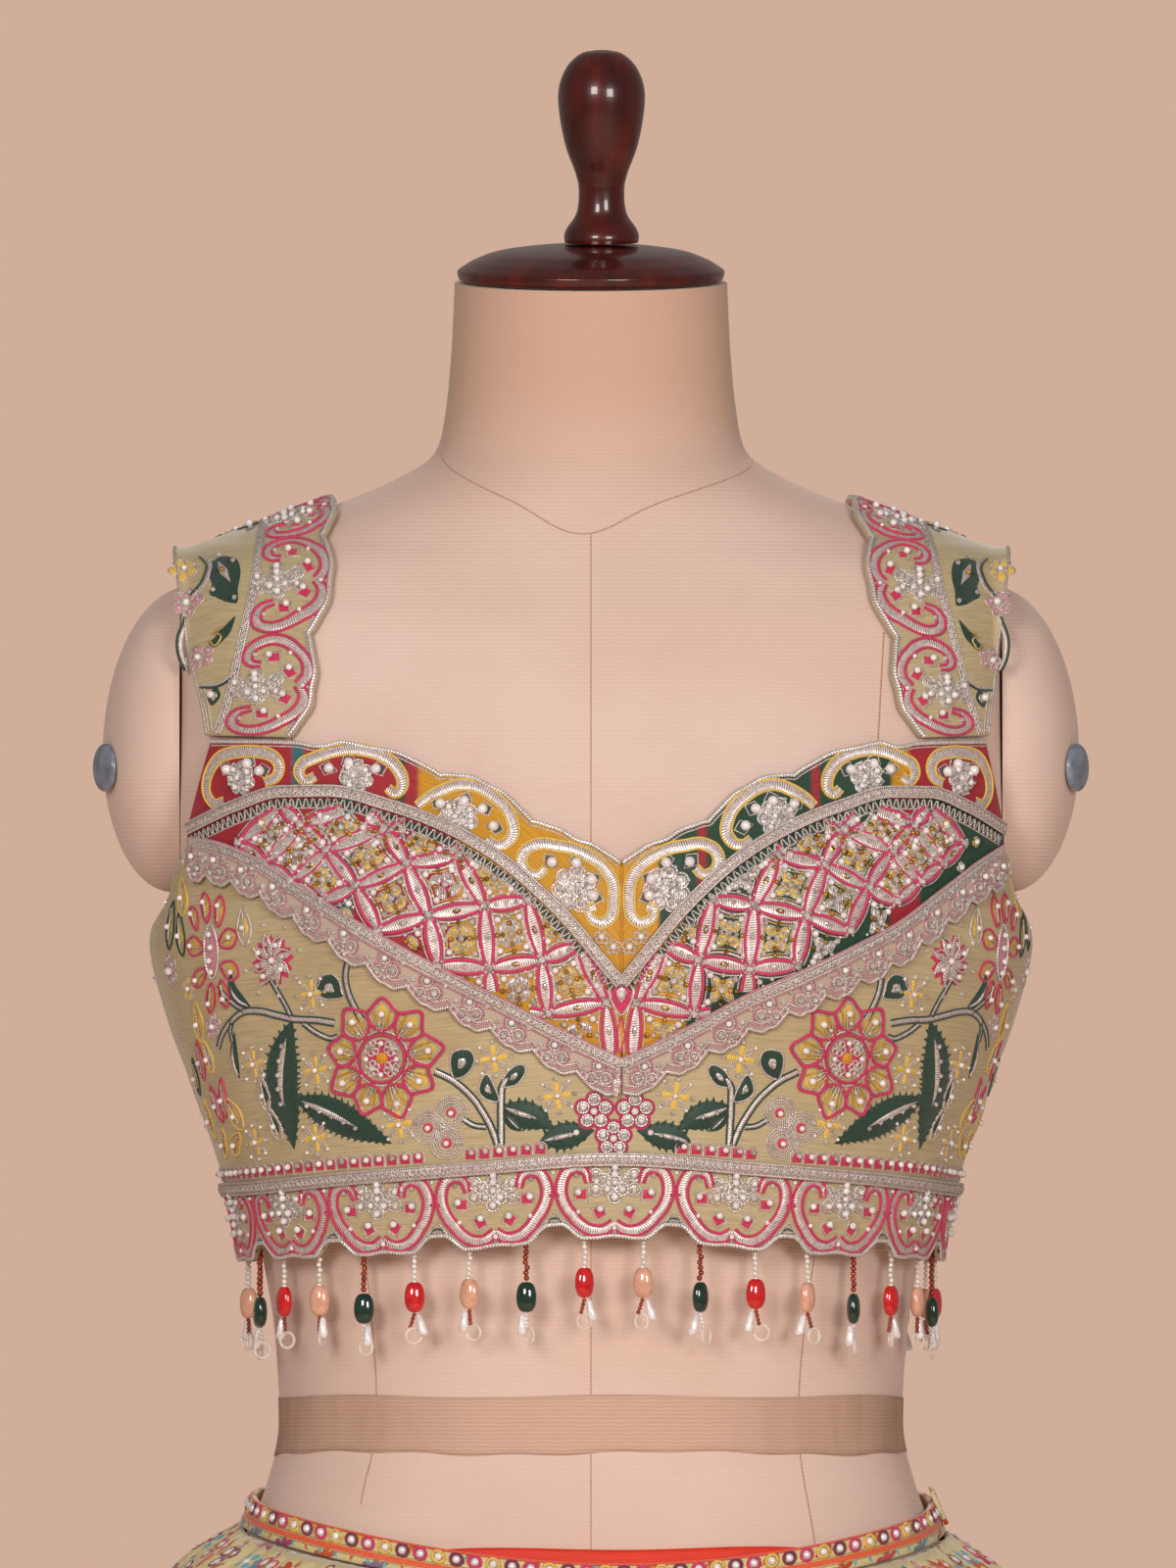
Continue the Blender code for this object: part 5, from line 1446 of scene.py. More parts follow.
def make_trims(side, word):
    """The tapes under the neckline's braid and the lace, which their stitching covers."""
    across, up = shares(200, 2)
    place = place_across(across, FRONT_END - 1.0)
    heights = NECK_SEAM_AT(place) + (BRAID_HALF - 0.9) * (2 * up - 1)
    cloth_piece(
        f"neck_braid_tape_{word}", f"choli_neck_braid_{word}",
        front_at(side * place, heights, CLOTH + TRIM_GAP), "net", thick=TRIM, side=side,
    )
    across, up = shares(240, 8)
    place = place_across(across, FRONT_END - 2.0)
    drop = LACE_DROP + LACE_SCALLOP * scallop(across * LACE_SCALLOPS)
    heights = underbust_at(side * place) + BRAID_HALF - (BRAID_HALF + drop) * (1 - up)
    cloth_piece(
        f"lace_net_{word}", f"choli_lace_{word}",
        front_at(side * place, heights, CLOTH + TRIM_GAP + LACE_END_LIFT * across**4), "net",
        thick=NET_THICK, side=side,
    )


def make_front():
    """The lower front: as wide as the cups under them, and on to the side seams under the armholes."""
    places = place_across(np.linspace(0, 1, 85))
    places = np.concatenate([-places[::-1], [0.0], places])
    top = underbust_at(places) - SEAM / 2
    t = DRESSED.share_of(worn_x(places), top) - CHOLI_TURN
    beyond = np.linspace(0, 1, 25)[1:]
    edge = SIDE_SEAM - SEAM / 2 / DRESSED.half_round(150.0)
    ends = [end + (ARMHOLE_LOW - end) * (1 - (1 - beyond) ** 1.6) for end in (top[0], top[-1])]
    t = np.concatenate([t[0] - (edge + t[0]) * beyond[::-1], t, t[-1] + (edge - t[-1]) * beyond])
    top = np.concatenate([ends[0][::-1], top, ends[1]])
    points = choli_rows(t, hem_seam_at(t) + SEAM / 2, top, 41)
    cloth_piece("front", "choli_front", points, "silk")


def make_back(side, word):
    """One half of the back, from the side seam to the closure at the centre."""
    gap = SEAM / 2 / DRESSED.half_round(150.0)
    t = np.linspace(SIDE_SEAM + gap, 1 - gap, 100)
    points = choli_rows(side * t, hem_seam_at(t) + SEAM / 2, BACK_EDGE_AT(t), 37)
    cloth_piece(f"back_{word}", f"choli_back_{word}", points, "silk", side=side)


def make_hem_borders():
    """The scalloped border in three parts, and the tape under the braid on its seam."""
    edge = SEAM / 2 / DRESSED.half_round(85.0)
    spans = {
        "front": (-SIDE_SEAM + edge, SIDE_SEAM - edge, 384),
        "back_left": (SIDE_SEAM + edge, 1 - edge, 192),
        "back_right": (-1 + edge, -SIDE_SEAM - edge, 192),
    }
    for word, (start, end, columns) in spans.items():
        t = np.linspace(start, end, columns + 1)
        points = choli_rows(t, hem_edge_at(t), hem_seam_at(t) - SEAM / 2, 11)
        cloth_piece(f"hem_border_{word}", f"choli_hem_border_{word}", points, "silk")
    t = np.linspace(-1 + edge, 1 - edge, 500)
    heights = hem_seam_at(t) + (BRAID_HALF - 0.7) * np.array([-1.0, 0.0, 1.0])[:, None]
    points = choli_at(t, heights, CLOTH + TRIM_GAP)
    cloth_piece(
        "hem_braid_tape", "choli_hem_braid", points, "net", thick=TRIM
    )


def make_strap(side, word):
    """A shoulder strap: its plain outer part and its scalloped inner border."""
    along, over = np.meshgrid(np.linspace(0, 1, 169), np.linspace(0, 1, 13), indexing="ij")
    spans = (
        ("strap", "olive_silk", STRAP_DIVIDE(along) + SEAM / 2, STRAP_OUTER(along)),
        ("strap_border", "border_cloth", strap_edge_at(along), STRAP_DIVIDE(along) - SEAM / 2),
    )
    for name, slot, inner, outer in spans:
        points = strap_at(side, inner + (outer - inner) * over, along)
        cloth_piece(f"{name}_{word}", f"choli_{name}_{word}", points, "silk", side=side)


# The hanging beads


def blob(centre, sizes, across, ahead):
    """A rounded bead, upright, with its faces flattened a little."""
    sides, rows, flattened = 18, 12, 0.35
    around = np.linspace(0, 2 * math.pi, sides, endpoint=False)
    rings = []
    for lift in np.linspace(90, -90, rows):
        up, wide = math.sin(math.radians(lift)), math.cos(math.radians(lift))
        wide = max(wide, 0.0) ** (1 - flattened)
        x, y = np.cos(around) * wide, np.sin(around) * wide
        ring = centre + np.outer(x * sizes[0], across) + np.outer(y * sizes[1], ahead)
        ring[:, 2] += up * sizes[2]
        rings.append(ring)
    return np.array(rings)


FringeStrand = namedtuple("FringeStrand", "oval above below lead")
FRINGE = (
    FringeStrand("red_bead", "seed", "rust_bead", 10.5),
    FringeStrand("peach_bead", "seed", "rust_bead", 10.5),
    FringeStrand("green_bead", "rust_bead", "seed", 14.0),
)
SEED_APART, SEED_RADIUS, SMALL_SEED_RADIUS = 1.95, 1.12, 0.85
PEARL_DROP = [(0.0, 0.7), (0.8, 1.15), (6.4, 1.95), (7.6, 1.7), (7.9, 0.6)]  # drops and radii
RING_RADIUS, RING_WIRE = 2.9, 0.62


def round_about(count, radius, across, up):
    """Points of a circle in the plane of two directions."""
    turns = np.linspace(0, 2 * math.pi, count, endpoint=False)
    return np.outer(np.cos(turns) * radius, across) + np.outer(np.sin(turns) * radius, up)


def make_strand(index, chance):
    """Strings one strand's small beads, and gives its oval bead, its pearl drop and its ring."""
    t = (2 * index + 1) / STRANDS - 1
    strand = FRINGE[(index - STRANDS // 2 + 1) % 3]
    root = choli_at(t, hem_edge_at(t), -TAPE_INSIDE - TRIM / 2)
    ahead = choli_at(t, 80.0, 1.0) - choli_at(t, 80.0, 0.0)
    ahead[2] = 0
    ahead /= np.linalg.norm(ahead)
    across = np.array([-ahead[1], ahead[0], 0.0])
    heights = np.arange(3.0, -strand.lead - 0.5, -SEED_APART)
    sway = chance.normal(0, 0.25, (len(heights), 1))
    string = root + np.stack([0 * heights, 0 * heights, heights], axis=1) + across * sway
    BEADS.setdefault(("fringe", strand.above), []).append((string, np.full(len(string), SEED_RADIUS)))
    turn = chance.normal(0, 0.35)
    side = across * math.cos(turn) + ahead * math.sin(turn)
    front = ahead * math.cos(turn) - across * math.sin(turn)
    sizes = (BEAD_WIDE, BEAD_DEEP, BEAD_LONG / 2)
    oval = blob(root - (0, 0, strand.lead + BEAD_LONG / 2), sizes, side, front)
    foot = root - (0, 0, strand.lead + BEAD_LONG)
    swing = chance.uniform(-0.35, 0.35)
    lean = across * swing
    fall = np.array([foot + lean * drop - (0, 0, drop) for drop in np.arange(0.8, 6.2, 1.5)])
    BEADS.setdefault(("fringe", strand.below), []).append((fall, np.full(len(fall), SMALL_SEED_RADIUS)))
    start = foot + across * (1.6 if swing < 0 else -1.6) - (0, 0, 0.6)
    aim = -lean * 0.9
    drop = [
        start + aim * down - (0, 0, down) + round_about(14, radius, side, front)
        for down, radius in PEARL_DROP
    ]
    middle = fall[-1] + across * 1.2 - (0, 0, 3.4)
    tilt = chance.uniform(-1.1, 1.1)
    facing = across * math.cos(tilt) + ahead * math.sin(tilt)
    ring = middle + round_about(24, RING_RADIUS, facing, np.array([0, 0, 1.0]))
    return strand.oval, oval, drop, (ring, RING_WIRE, True)


def make_fringe():
    """Strands in threes: seed beads, a flat oval bead, a small string, a pearl drop and a ring."""
    chance = np.random.default_rng(7)
    strands = [make_strand(index, chance) for index in range(STRANDS)]
    for kind in (strand.oval for strand in FRINGE):
        name = f"fringe_{kind}s"
        ovals = [oval for its_kind, oval, drop, ring in strands if its_kind == kind]
        show(name, body_mesh(name, ovals, kind, tidied=True))
    drops = [drop for kind, oval, drop, ring in strands]
    show("fringe_pearl_drops", body_mesh("fringe_pearl_drops", drops, "pearl", tidied=True))
    CORDS.setdefault(("fringe", "clear"), []).extend(ring for kind, oval, drop, ring in strands)
    t = np.linspace(-1, 1, 481)
    points = choli_at(t, hem_edge_at(t) + np.array([3.0, 7.5])[:, None], -TAPE_INSIDE - TRIM)
    cloth_piece("fringe_tape", "choli_bead_fringe", points, "silk", thick=TRIM)


# The skirt


def make_skirt():
    """Twelve flared panels, with their points close together where the cloth is gathered."""
    drops = np.concatenate([np.linspace(0, 60, 21)[:-1], np.linspace(60, 1030, 62)])[::-1]
    half_gap = PANEL_GAP / 2 / (math.pi * skirt_radius(drops))
    for index in range(SKIRT_PANELS):
        start, end = (2 * (index + step) / SKIRT_PANELS - 1 for step in (0, 1))
        t = np.linspace(start, end, 65)[None, :] + np.zeros((len(drops), 1))
        t[:, 0] += half_gap
        t[:, -1] -= half_gap
        number = f"{index + 1:02d}"
        cloth_piece(
            f"flared_panel_{number}", f"skirt_panel_{number}", skirt_at(t, drops[:, None]),
            "printed", thick=SKIRT_WALL, offset=0.0,
        )


def make_waistband():
    """The band, the orange facing that shows over it, and its bunched end at the closure."""
    half_round = NUDE.half_round(BAND_LEVEL)
    gap = SEAM / 2 / half_round
    up = np.linspace(0, 1, 9)[:, None]
    t = np.linspace(SIDE_SEAM + gap, SIDE_SEAM + 2 - gap, 401)
    points = band_ring(t, band_top(t) - BAND_TALL * (1 - up), BAND_OFFSET)
    cloth_piece("waistband", "skirt_waistband", points, "printed", BAND_WALL)
    t = FACING_CENTRE + np.linspace(-FACING_REACH, FACING_REACH, 121)
    shows = FACING_SHOWS * (1 - np.abs((t - FACING_CENTRE) / FACING_REACH) ** 3.0) - 0.8
    points = band_ring(t, band_top(t) + shows * up - FACING_BELOW * (1 - up), FACING_OFFSET)
    cloth_piece("orange_facing", "skirt_facing", points, "orange_silk", thick=FACING_WALL)
    u = np.linspace(-11.0, 7.0, 25)
    t = SIDE_SEAM + u / half_round
    low = band_top(t) - 9.0 + 0.4 * np.sin(u / 2.0)
    high = band_top(t) + 4.0 - 0.5 * np.abs(np.sin(u / 2.6))
    bunch = BAND_OFFSET + BAND_WALL + 0.5 + 0.35 * np.abs(np.sin(u / 2.2))
    points = band_ring(t, low + (high - low) * up, bunch)
    cloth_piece(
        "bunched_band_end", "skirt_band_end", points, "printed", 1.5,
    )


# The embroidery


def from_share(t, height):
    """Places on the choli's surface for shares of the way round it, and heights."""
    return np.stack([t * DRESSED.half_round(height), height + 0 * t], axis=-1)


def from_middle(place, height):
    """Places on the choli's surface for distances from its centre line, and heights."""
    return from_share(DRESSED.share_of(worn_x(np.asarray(place, float)), height) - CHOLI_TURN, height)


def half_hoop(garment, side):
    """A hoop on one half of the choli's front, for distances from its centre line and heights."""
    return Hoop(garment, CHOLI, CLOTH, lambda points: from_middle(side * points[:, 0], points[:, 1]))


def oblong(half_wide, half_tall):
    """The corners of an upright oblong."""
    return [(half_wide * x, half_tall * y) for x, y in ((1, 1), (-1, 1), (-1, -1), (1, -1))]


def diamond(half_long, half_wide):
    """The corners of a lying diamond."""
    return [(half_long, 0), (0, half_wide), (-half_long, 0), (0, -half_wide)]


# One half of the scroll of the hem and straps: x in scrolls from its middle, y from seam to edge
SCROLL = [
    (-0.215, 0.27), (-0.24, 0.13), (-0.31, 0.07), (-0.395, 0.12), (-0.44, 0.27), (-0.44, 0.42),
    (-0.40, 0.58), (-0.345, 0.69), (-0.295, 0.79), (-0.21, 0.88), (-0.11, 0.90), (-0.04, 0.85), (0, 0.80),
]


def embroider_scroll(hoop, wide):
    """Two crimson-edged silver scrolls round a thick silver flower, with pearls on crimson squares."""
    square_outline = oblong(2.6, 2.3)
    for side in (1, -1):
        line = [(side * x, y) for x, y in SCROLL]
        hoop.ribbon(line, [0.9, 1.7, 1.95, 1.95, 1.95, 1.9, 1.6], "zari", 0.5, edge="crimson", radius=0.7)
        for x, y, turn in ((0.275, 0.42, 0), (0.125, 0.66, 60)):
            square = hoop.pinned((side * x, y), turn * side)
            square.fill(square_outline, "crimson", 0.4, rings=(1.0, 0.0))
            square.cord(square_outline + square_outline[:1], 0.33, "zari", curved=False)
            square.beads([(1.2 * side, 1.0)], 1.35, "pearl", rise=0.9)
        hoop.beads([(side * 0.315, 0.17)], 1.0, "crystal")
        hoop.beads([(side * 0.30, 0.64)], 0.9, "pearl")
    hoop.beads([(0, 0.86)], 1.0, "pearl")
    flower = hoop.pinned((0.0, 0.27))
    petals = [*ring_of(5, wide * 0.105, 90), *ring_of(6, wide * 0.185, 30), (0.0, 0.0)]
    for number, petal in enumerate(petals):
        small = flower.at(np.array(petal) * (1.0, 0.66))
        small.disc((0, 0), wide * 0.044, "zari", 0.5, 7, rings=(1.0, 0.0))
        small.loop((0, 0), wide * 0.054, 0.46, "silver" if number % 2 else "zari")
        kind = "crystal" if number % 3 == 1 else "pearl"
        small.beads([(0, 0)], 1.15 if number % 3 else 1.35, kind, rise=1.0)


def hem_place(scroll_number):
    """Turns a hem scroll's own places into the surface's."""

    def place(points):
        t = (scroll_number + points[:, 0]) / (HEM_SCALLOPS / 2)
        seam = hem_seam_at(t) - 0.8
        return from_share(t, seam - points[:, 1] * (seam - HEM_EDGE_AT(np.abs(t)) + SCALLOP_DEPTH * 0.93))

    return place


def embroider_hem():
    """A scroll in each scallop, the cords of the edge, the braid, and a row of squares over it."""
    for number in range(-(HEM_SCALLOPS // 2), HEM_SCALLOPS // 2 + 1):
        hoop = Hoop("hem", CHOLI, CLOTH, hem_place(number))
        embroider_scroll(hoop, HEM_SCROLL_WIDE)
        hoop.cord([(0.37, 0.90), (0.44, 0.76), (0.5, 0.70), (0.56, 0.76), (0.63, 0.90)], 0.4, "slate")
        hoop.cord([(0.40, 0.84), (0.45, 0.70), (0.5, 0.62), (0.55, 0.70), (0.60, 0.84)], 0.45, "zari")
        hoop.pinned((0.5, 0.40)).cord([(-1.9, 0), (1.9, 0)], 0.65, "crimson")
        hoop.pinned((0.5, 0.0)).beads([(0, -3.2)], 0.8, "pearl")
    plain = Hoop("hem", CHOLI, CLOTH)
    t = np.linspace(-0.999, 0.999, 1100)
    edge = from_share(t, hem_edge_at(t)) + (0, 0.75)
    plain.cord(edge, 0.85, "silver", curved=False)
    plain.cord(edge + (0, 1.5), 0.38, "zari", curved=False)
    t = np.linspace(-0.999, 0.999, 560)
    embroider_braid(Hoop("hem", CHOLI, CLOTH + TRIM_GAP + TRIM), from_share(t, hem_seam_at(t)), 2.3)
    half_round = 418.0  # half the way round at the row of squares
    for start, end in ((-204.0, -69.0), (-54.0, -25.0), (25.0, 54.0), (69.0, 204.0)):
        for s in np.arange(start, end, 5.2):
            block = plain.at((s, float(hem_seam_at(s / half_round)) + 4.9))
            block.fill([(-2.1, -2.0), (2.1, -2.0), (2.1, 2.0), (-2.1, 2.0)], "crimson", 0.5)
            block.beads([(0.5, 0.9)], 1.2, "crystal" if int(s) % 3 == 0 else "pearl", rise=1.0)
            block.cord([(-2.5, -2.0), (-2.4, 1.5), (0, 2.8), (2.4, 1.5), (2.5, -2.0)], 0.35, "zari")


def embroider_braid(hoop, line, half, edge=None):
    """A flat silver braid: a row of stitches with a plait of cords on it."""
    hoop.ribbon(line, [half], "zari", 0.35, step=2.0, curved=False)
    gone, even = stepped(line, 0.9)
    for side in (1, -1):
        hoop.cord(beside(line, side * half * 0.92), 0.5, "zari", curved=False)
        wave = side * half * 0.48 * np.sin(gone * 2 * math.pi / 4.6)
        hoop.cord(beside(even, wave), 0.5, "zari", curved=False, rise=0.8)
        if edge:
            hoop.cord(beside(line, side * (half + 0.5)), 0.38, edge, curved=False, rise=0.0)


# The neckline's scrolls, from the middle to the arm: the middle line of each arch from foot to
# foot, its flower's heart, the flower's size and the pearls, as places from the middle and heights
NeckScroll = namedtuple("NeckScroll", "arch heart flower pearls")
NECK_SCROLLS = [
    NeckScroll(
        [(28.1, 206.8), (30.9, 204.3), (34.9, 205.3), (37.0, 209.3), (35.2, 213.7), (29.8, 215.9),
         (24.1, 215.1), (18.4, 214.1), (12.6, 211.5), (7.0, 207.6), (3.4, 201.7), (2.9, 195.2),
         (3.6, 189.4), (7.0, 186.5), (11.1, 187.9), (12.2, 191.2), (9.6, 192.6)],
        (17.3, 199.2), 9.0, [(26.3, 209.3), (16.9, 209.2), (10.7, 202.8), (9.9, 196.2)],
    ),
    NeckScroll(
        [(73.9, 229.9), (70.1, 233.2), (65.6, 235.6), (60.8, 237.6), (56.6, 238.0), (51.7, 236.6),
         (47.2, 233.6), (43.0, 229.8), (40.5, 225.0), (39.8, 219.9), (42.7, 215.8), (46.6, 215.4),
         (49.4, 217.6)],
        (59.6, 225.6), 7.6, [(66.3, 230.8), (57.3, 232.0), (50.4, 228.7), (46.5, 221.9)],
    ),
    NeckScroll(
        [(109.0, 241.6), (112.3, 239.8), (114.6, 242.8), (113.3, 246.5), (109.0, 248.6), (103.7, 250.7),
         (97.6, 251.7), (91.6, 250.9), (86.1, 249.0), (82.1, 245.8), (79.4, 241.3), (79.2, 236.9),
         (81.8, 234.6), (84.2, 236.8)],
        (95.0, 241.2), 6.6, [(104.6, 244.4), (97.6, 246.6), (87.6, 243.9)],
    ),
    NeckScroll(
        [(126.1, 239.5), (122.4, 241.4), (121.2, 245.6), (123.7, 249.6), (129.4, 251.3), (135.6, 251.2),
         (140.6, 249.8), (143.6, 246.0), (145.4, 240.8), (145.2, 235.6), (142.6, 231.8), (139.6, 232.9)],
        (134.0, 241.4), 6.4, [(127.0, 243.9), (131.4, 247.2), (138.6, 244.8)],
    ),
]


def embroider_neck_scroll(hoop, scroll, side):
    """A yellow-edged silver arch that curls in at both feet, over a silver flower and pearls."""
    hoop.ribbon(scroll.arch, [1.5, *[2.1] * 5, 1.5], "zari", 0.6, edge="yellow", radius=0.55)
    for number, place in enumerate(scroll.pearls):
        turn = turn_of(hoop.flat([scroll.heart, place]))
        ground = "teal" if side < 0 and number == 1 else "slate"
        hoop.pinned(place).pearl_drop((0, 0), turn, 7.4, 5.8, ground, 2.05)
    flower, size = hoop.pinned(scroll.heart), scroll.flower
    for number, petal in enumerate([*ring_of(7, size * 0.66, 30), *ring_of(2, size * 0.16)]):
        small = flower.at(petal)
        small.disc((0, 0), size * 0.28, "zari", 0.5)
        small.loop((0, 0), size * 0.32, 0.48, "silver", 9)
        small.beads([(0, 0)], 1.15, "crystal" if number % 2 else "pearl", rise=1.0)
        small.beads(ring_of(3, size * 0.34, 40 * number), 0.8, "crystal", rise=0.9)


def embroider_neckline(side):
    """The scrolls, the cord along the edge, and the braid and green band along the seam."""
    half = half_hoop("neckline", side)
    for scroll in NECK_SCROLLS:
        embroider_neck_scroll(half, scroll, side)
    for place in ((7.4, 181.4), (3.0, 177.8)):
        half.pinned(place).rosette((0, 0), 2.9, 5, "pearl", 1.3)
    plain = Hoop("neckline", CHOLI, CLOTH)
    place = place_across(np.linspace(0.002, 0.999, 420), NECK_END_TOP)
    edge = from_middle(side * place, neck_edge_at(place) - 0.8)
    plain.cord(edge, 0.85, "silver", curved=False)
    plain.cord(beside(edge, -side * 1.5), 0.35, "zari", curved=False)
    if side > 0:
        heights = np.linspace(float(NECK_SEAM_AT(0.0)) + 2.2, float(neck_edge_at(0.0)) - 1.6, 24)
        plain.couch(from_middle(0 * heights, heights), 0.5, "mustard")
    place = place_across(np.linspace(0.0, 0.999, 300), FRONT_END - 1)
    seam = from_middle(side * place, NECK_SEAM_AT(place))
    embroider_braid(Hoop("neckline", CHOLI, CLOTH + TRIM_GAP + TRIM), seam, 2.1)
    band = beside(seam, -side * 4.1)
    plain.ribbon(band, [1.7], "green", 0.3, curved=False)
    gone, even = stepped(band, 0.4, 2.0)
    zigzag = np.clip(2.4 * np.sin(gone * 2 * math.pi / 3.0), -1.5, 1.5)
    plain.cord(beside(even, zigzag), 0.4, "zari", curved=False, rise=1.2)
    plain.cord(beside(band, -side * 1.9), 0.38, "zari", curved=False)


# The crossings of the cup's lattice by column and row: distance from the middle and height
CROSSINGS = {
    (0, -2): (134.2, 217.3), (0, -1): (125.3, 209.4), (0, 0): (116.3, 202.5), (0, 1): (106.2, 194.6),
    (1, -2): (120.5, 230.1), (1, -1): (113.5, 223.3), (1, 0): (104.7, 213.6), (1, 1): (94.8, 199.8),
    (1, 2): (87.1, 183.5), (2, -1): (95.5, 229.6), (2, 0): (85.0, 221.3), (2, 1): (77.5, 208.0),
    (2, 2): (70.2, 188.8), (2, 3): (66.8, 171.1), (3, 0): (69.1, 221.6), (3, 1): (59.5, 211.3),
    (3, 2): (50.6, 192.5), (3, 3): (48.8, 170.0), (3, 4): (47.3, 152.6), (4, 1): (42.7, 213.3),
    (4, 2): (34.9, 194.8), (4, 3): (29.6, 173.0), (4, 4): (27.4, 153.3), (4, 5): (26.2, 136.4),
    (5, 2): (19.8, 199.9), (5, 3): (16.2, 178.2), (5, 4): (5.6, 157.3), (5, 5): (3.8, 133.4),
}
CELL_GROUNDS = {
    -1: {(1, 1): "teal", (2, 2): "green", (2, 1): "crimson", (3, 1): "mustard", (2, 3): "crimson"},
    1: {(1, 0): "crimson", (1, 1): "green", (2, 1): "green", (3, 1): "mustard", (3, 2): "green"},
}


def within_cup(side, points, margin_low, margin_high):
    """Whether places, as distances from the middle and heights, are clear of the cup's edges."""
    place, height = points[:, 0], points[:, 1]
    low, high = underbust_at(side * place) + margin_low, NECK_SEAM_AT(place) - margin_high
    return (height > low) & (height < high) & (place > 1.2) & (place < 148)


def embroider_cup_leaf(hoop, side, start, end, number):
    """A silver leaf between two crossings, edged in magenta and white, cut off at the cup's edge."""
    line = start + (end - start) * np.linspace(0.03, 0.97, 17)[:, None]
    inside = within_cup(side, line, 2.4, 6.2)
    if inside.sum() < 5:
        return
    halves = 2.45 * np.sin(np.linspace(0.10, 0.90, 17) * math.pi) ** 0.8
    line, halves = line[inside], halves[inside]
    hoop.ribbon(line, list(halves), "zari", 0.5, edge="magenta", radius=0.72)
    flat = hoop.flat(line)
    bare, across = Hoop(hoop.garment, hoop.surface, hoop.off), across_of(flat)
    for hand in (1, -1):
        bare.couch(flat + across * (hand * (halves + 1.4))[:, None], 0.38, "zari")
    if inside.sum() > 12:
        middle = flat[len(flat) // 2]
        if number % 3:
            bare.gem(middle, turn_of(flat), 5.0, 2.7, "crystal" if number % 3 == 1 else "sequin")
            bare.beads([middle + across[8] * 0.2], 0.7, "crystal", rise=2.0)
        else:
            bare.beads(flat[4:-3:4], 1.0, "crystal")


def embroider_cup(side):
    """The lattice: leaves between its crossings, a crystal knot on each, and its cells."""
    hoop = half_hoop("cups", side)
    chance = np.random.default_rng(11 if side > 0 else 12)
    plain_ground = "straw" if side < 0 else "green"
    for number, ((column_, row), here) in enumerate(CROSSINGS.items()):
        here = np.array(here)
        for after in ((column_ + 1, row), (column_, row + 1)):
            if after in CROSSINGS:
                embroider_cup_leaf(hoop, side, here, np.array(CROSSINGS[after]), number + after[1])
        if within_cup(side, here[None], 1.5, 6.5)[0]:
            hoop.beads([here], 1.6, "crystal", rise=0.9)
            hoop.pinned(here).beads(ring_of(4, 1.9, 45), 0.75, "crystal", rise=0.9)
        cell = [(column_, row), (column_ + 1, row), (column_ + 1, row + 1), (column_, row + 1)]
        ground = plain_ground
        if all(corner in CROSSINGS for corner in cell):
            corners = np.array([CROSSINGS[corner] for corner in cell])
            ground = CELL_GROUNDS[side].get((column_, row), plain_ground)
        else:
            corners = np.array([here, here + (-17, 2), here + (-19, -18), here + (-4, -20)])
            if cell[1] in CROSSINGS:
                corners[2] += np.array(CROSSINGS[cell[1]]) - corners[1]
                corners[1] = CROSSINGS[cell[1]]
        embroider_cell(hoop, side, corners, ground, chance)


def embroider_cell(hoop, side, corners, ground, chance):
    """Beads and gold petals in one cell of the lattice, within a hollow-sided square of cord."""

    def clear(spot):
        return within_cup(side, spot[None], 3.4, 7.0)[0]

    middle = corners.mean(axis=0)
    inner = middle + (corners - middle) * 0.72
    sides = np.concatenate([
        start + (end - start) * np.linspace(0, 1, 7, endpoint=False)[:, None]
        for start, end in zip(inner, np.roll(inner, -1, axis=0))
    ])
    hollow = 1 - 0.13 * np.sin(np.linspace(0, 4 * math.pi, 28, endpoint=False) % math.pi)
    sides = middle + (sides - middle) * hollow[:, None]
    if within_cup(side, sides, 3.4, 6.6).all():
        hoop.fill(sides, ground, 0.15)
        hoop.cord(sides, 0.62, "zari", closed=True, step=2.0)
        hoop.cord(middle + (sides - middle) * 0.82, 0.36, "gold", closed=True, step=2.4)
    petal = str(chance.choice(["straw", "zari", "yellow"]))
    for number, corner in enumerate(corners):
        between = (corner + corners[number - 1]) / 2
        for share, kind in ((0.24, petal), (0.50, "pearl")):
            spot = middle + (corner - middle) * share
            if clear(spot):
                small = hoop.pinned(spot, float(chance.uniform(-15, 15)) + 45 + 90 * number)
                if kind == petal:
                    small.fill(diamond(2.7, 1.6), kind, 0.6, curved=True)
                    small.cord(diamond(2.9, 1.8), 0.3, "zari", closed=True)
                    small.beads([(0, 0)], 0.95, "crystal", rise=1.4)
                else:
                    small.beads([(0, 0)], 1.3, str(chance.choice(["pearl", "crystal", "pearl"])))
                    small.beads([(2.1, 0), (-2.1, 0)], 0.65, "seed")
        for share in (0.34, 0.58):
            spot = middle + (between - middle) * share
            if clear(spot):
                hoop.beads([spot], 1.05, str(chance.choice(["sequin", "crystal", "gold_seed"])))
    if clear(middle):
        hoop.beads([middle], 1.45, "crystal", rise=0.9)


def embroider_cup_corner(side):
    """Rows of small rosettes in the corner by the arm, beyond the lattice."""
    hoop, apart = half_hoop("cups", side), 6.4
    for row, place in enumerate(np.arange(127.0, 147.0, apart)):
        for height in np.arange(186.0 + apart / 2 * (row % 2), 236.0, apart):
            near = min(math.hypot(place - x, height - y) for x, y in CROSSINGS.values())
            if near > 5.0 and within_cup(side, np.array([[place, height]]), 4.4, 8.6)[0]:
                thread = "zari" if row % 2 else "gold"
                hoop.pinned((place, height)).rosette((0, 0), 1.9, 4, "pearl", 1.15, thread, 0.45)


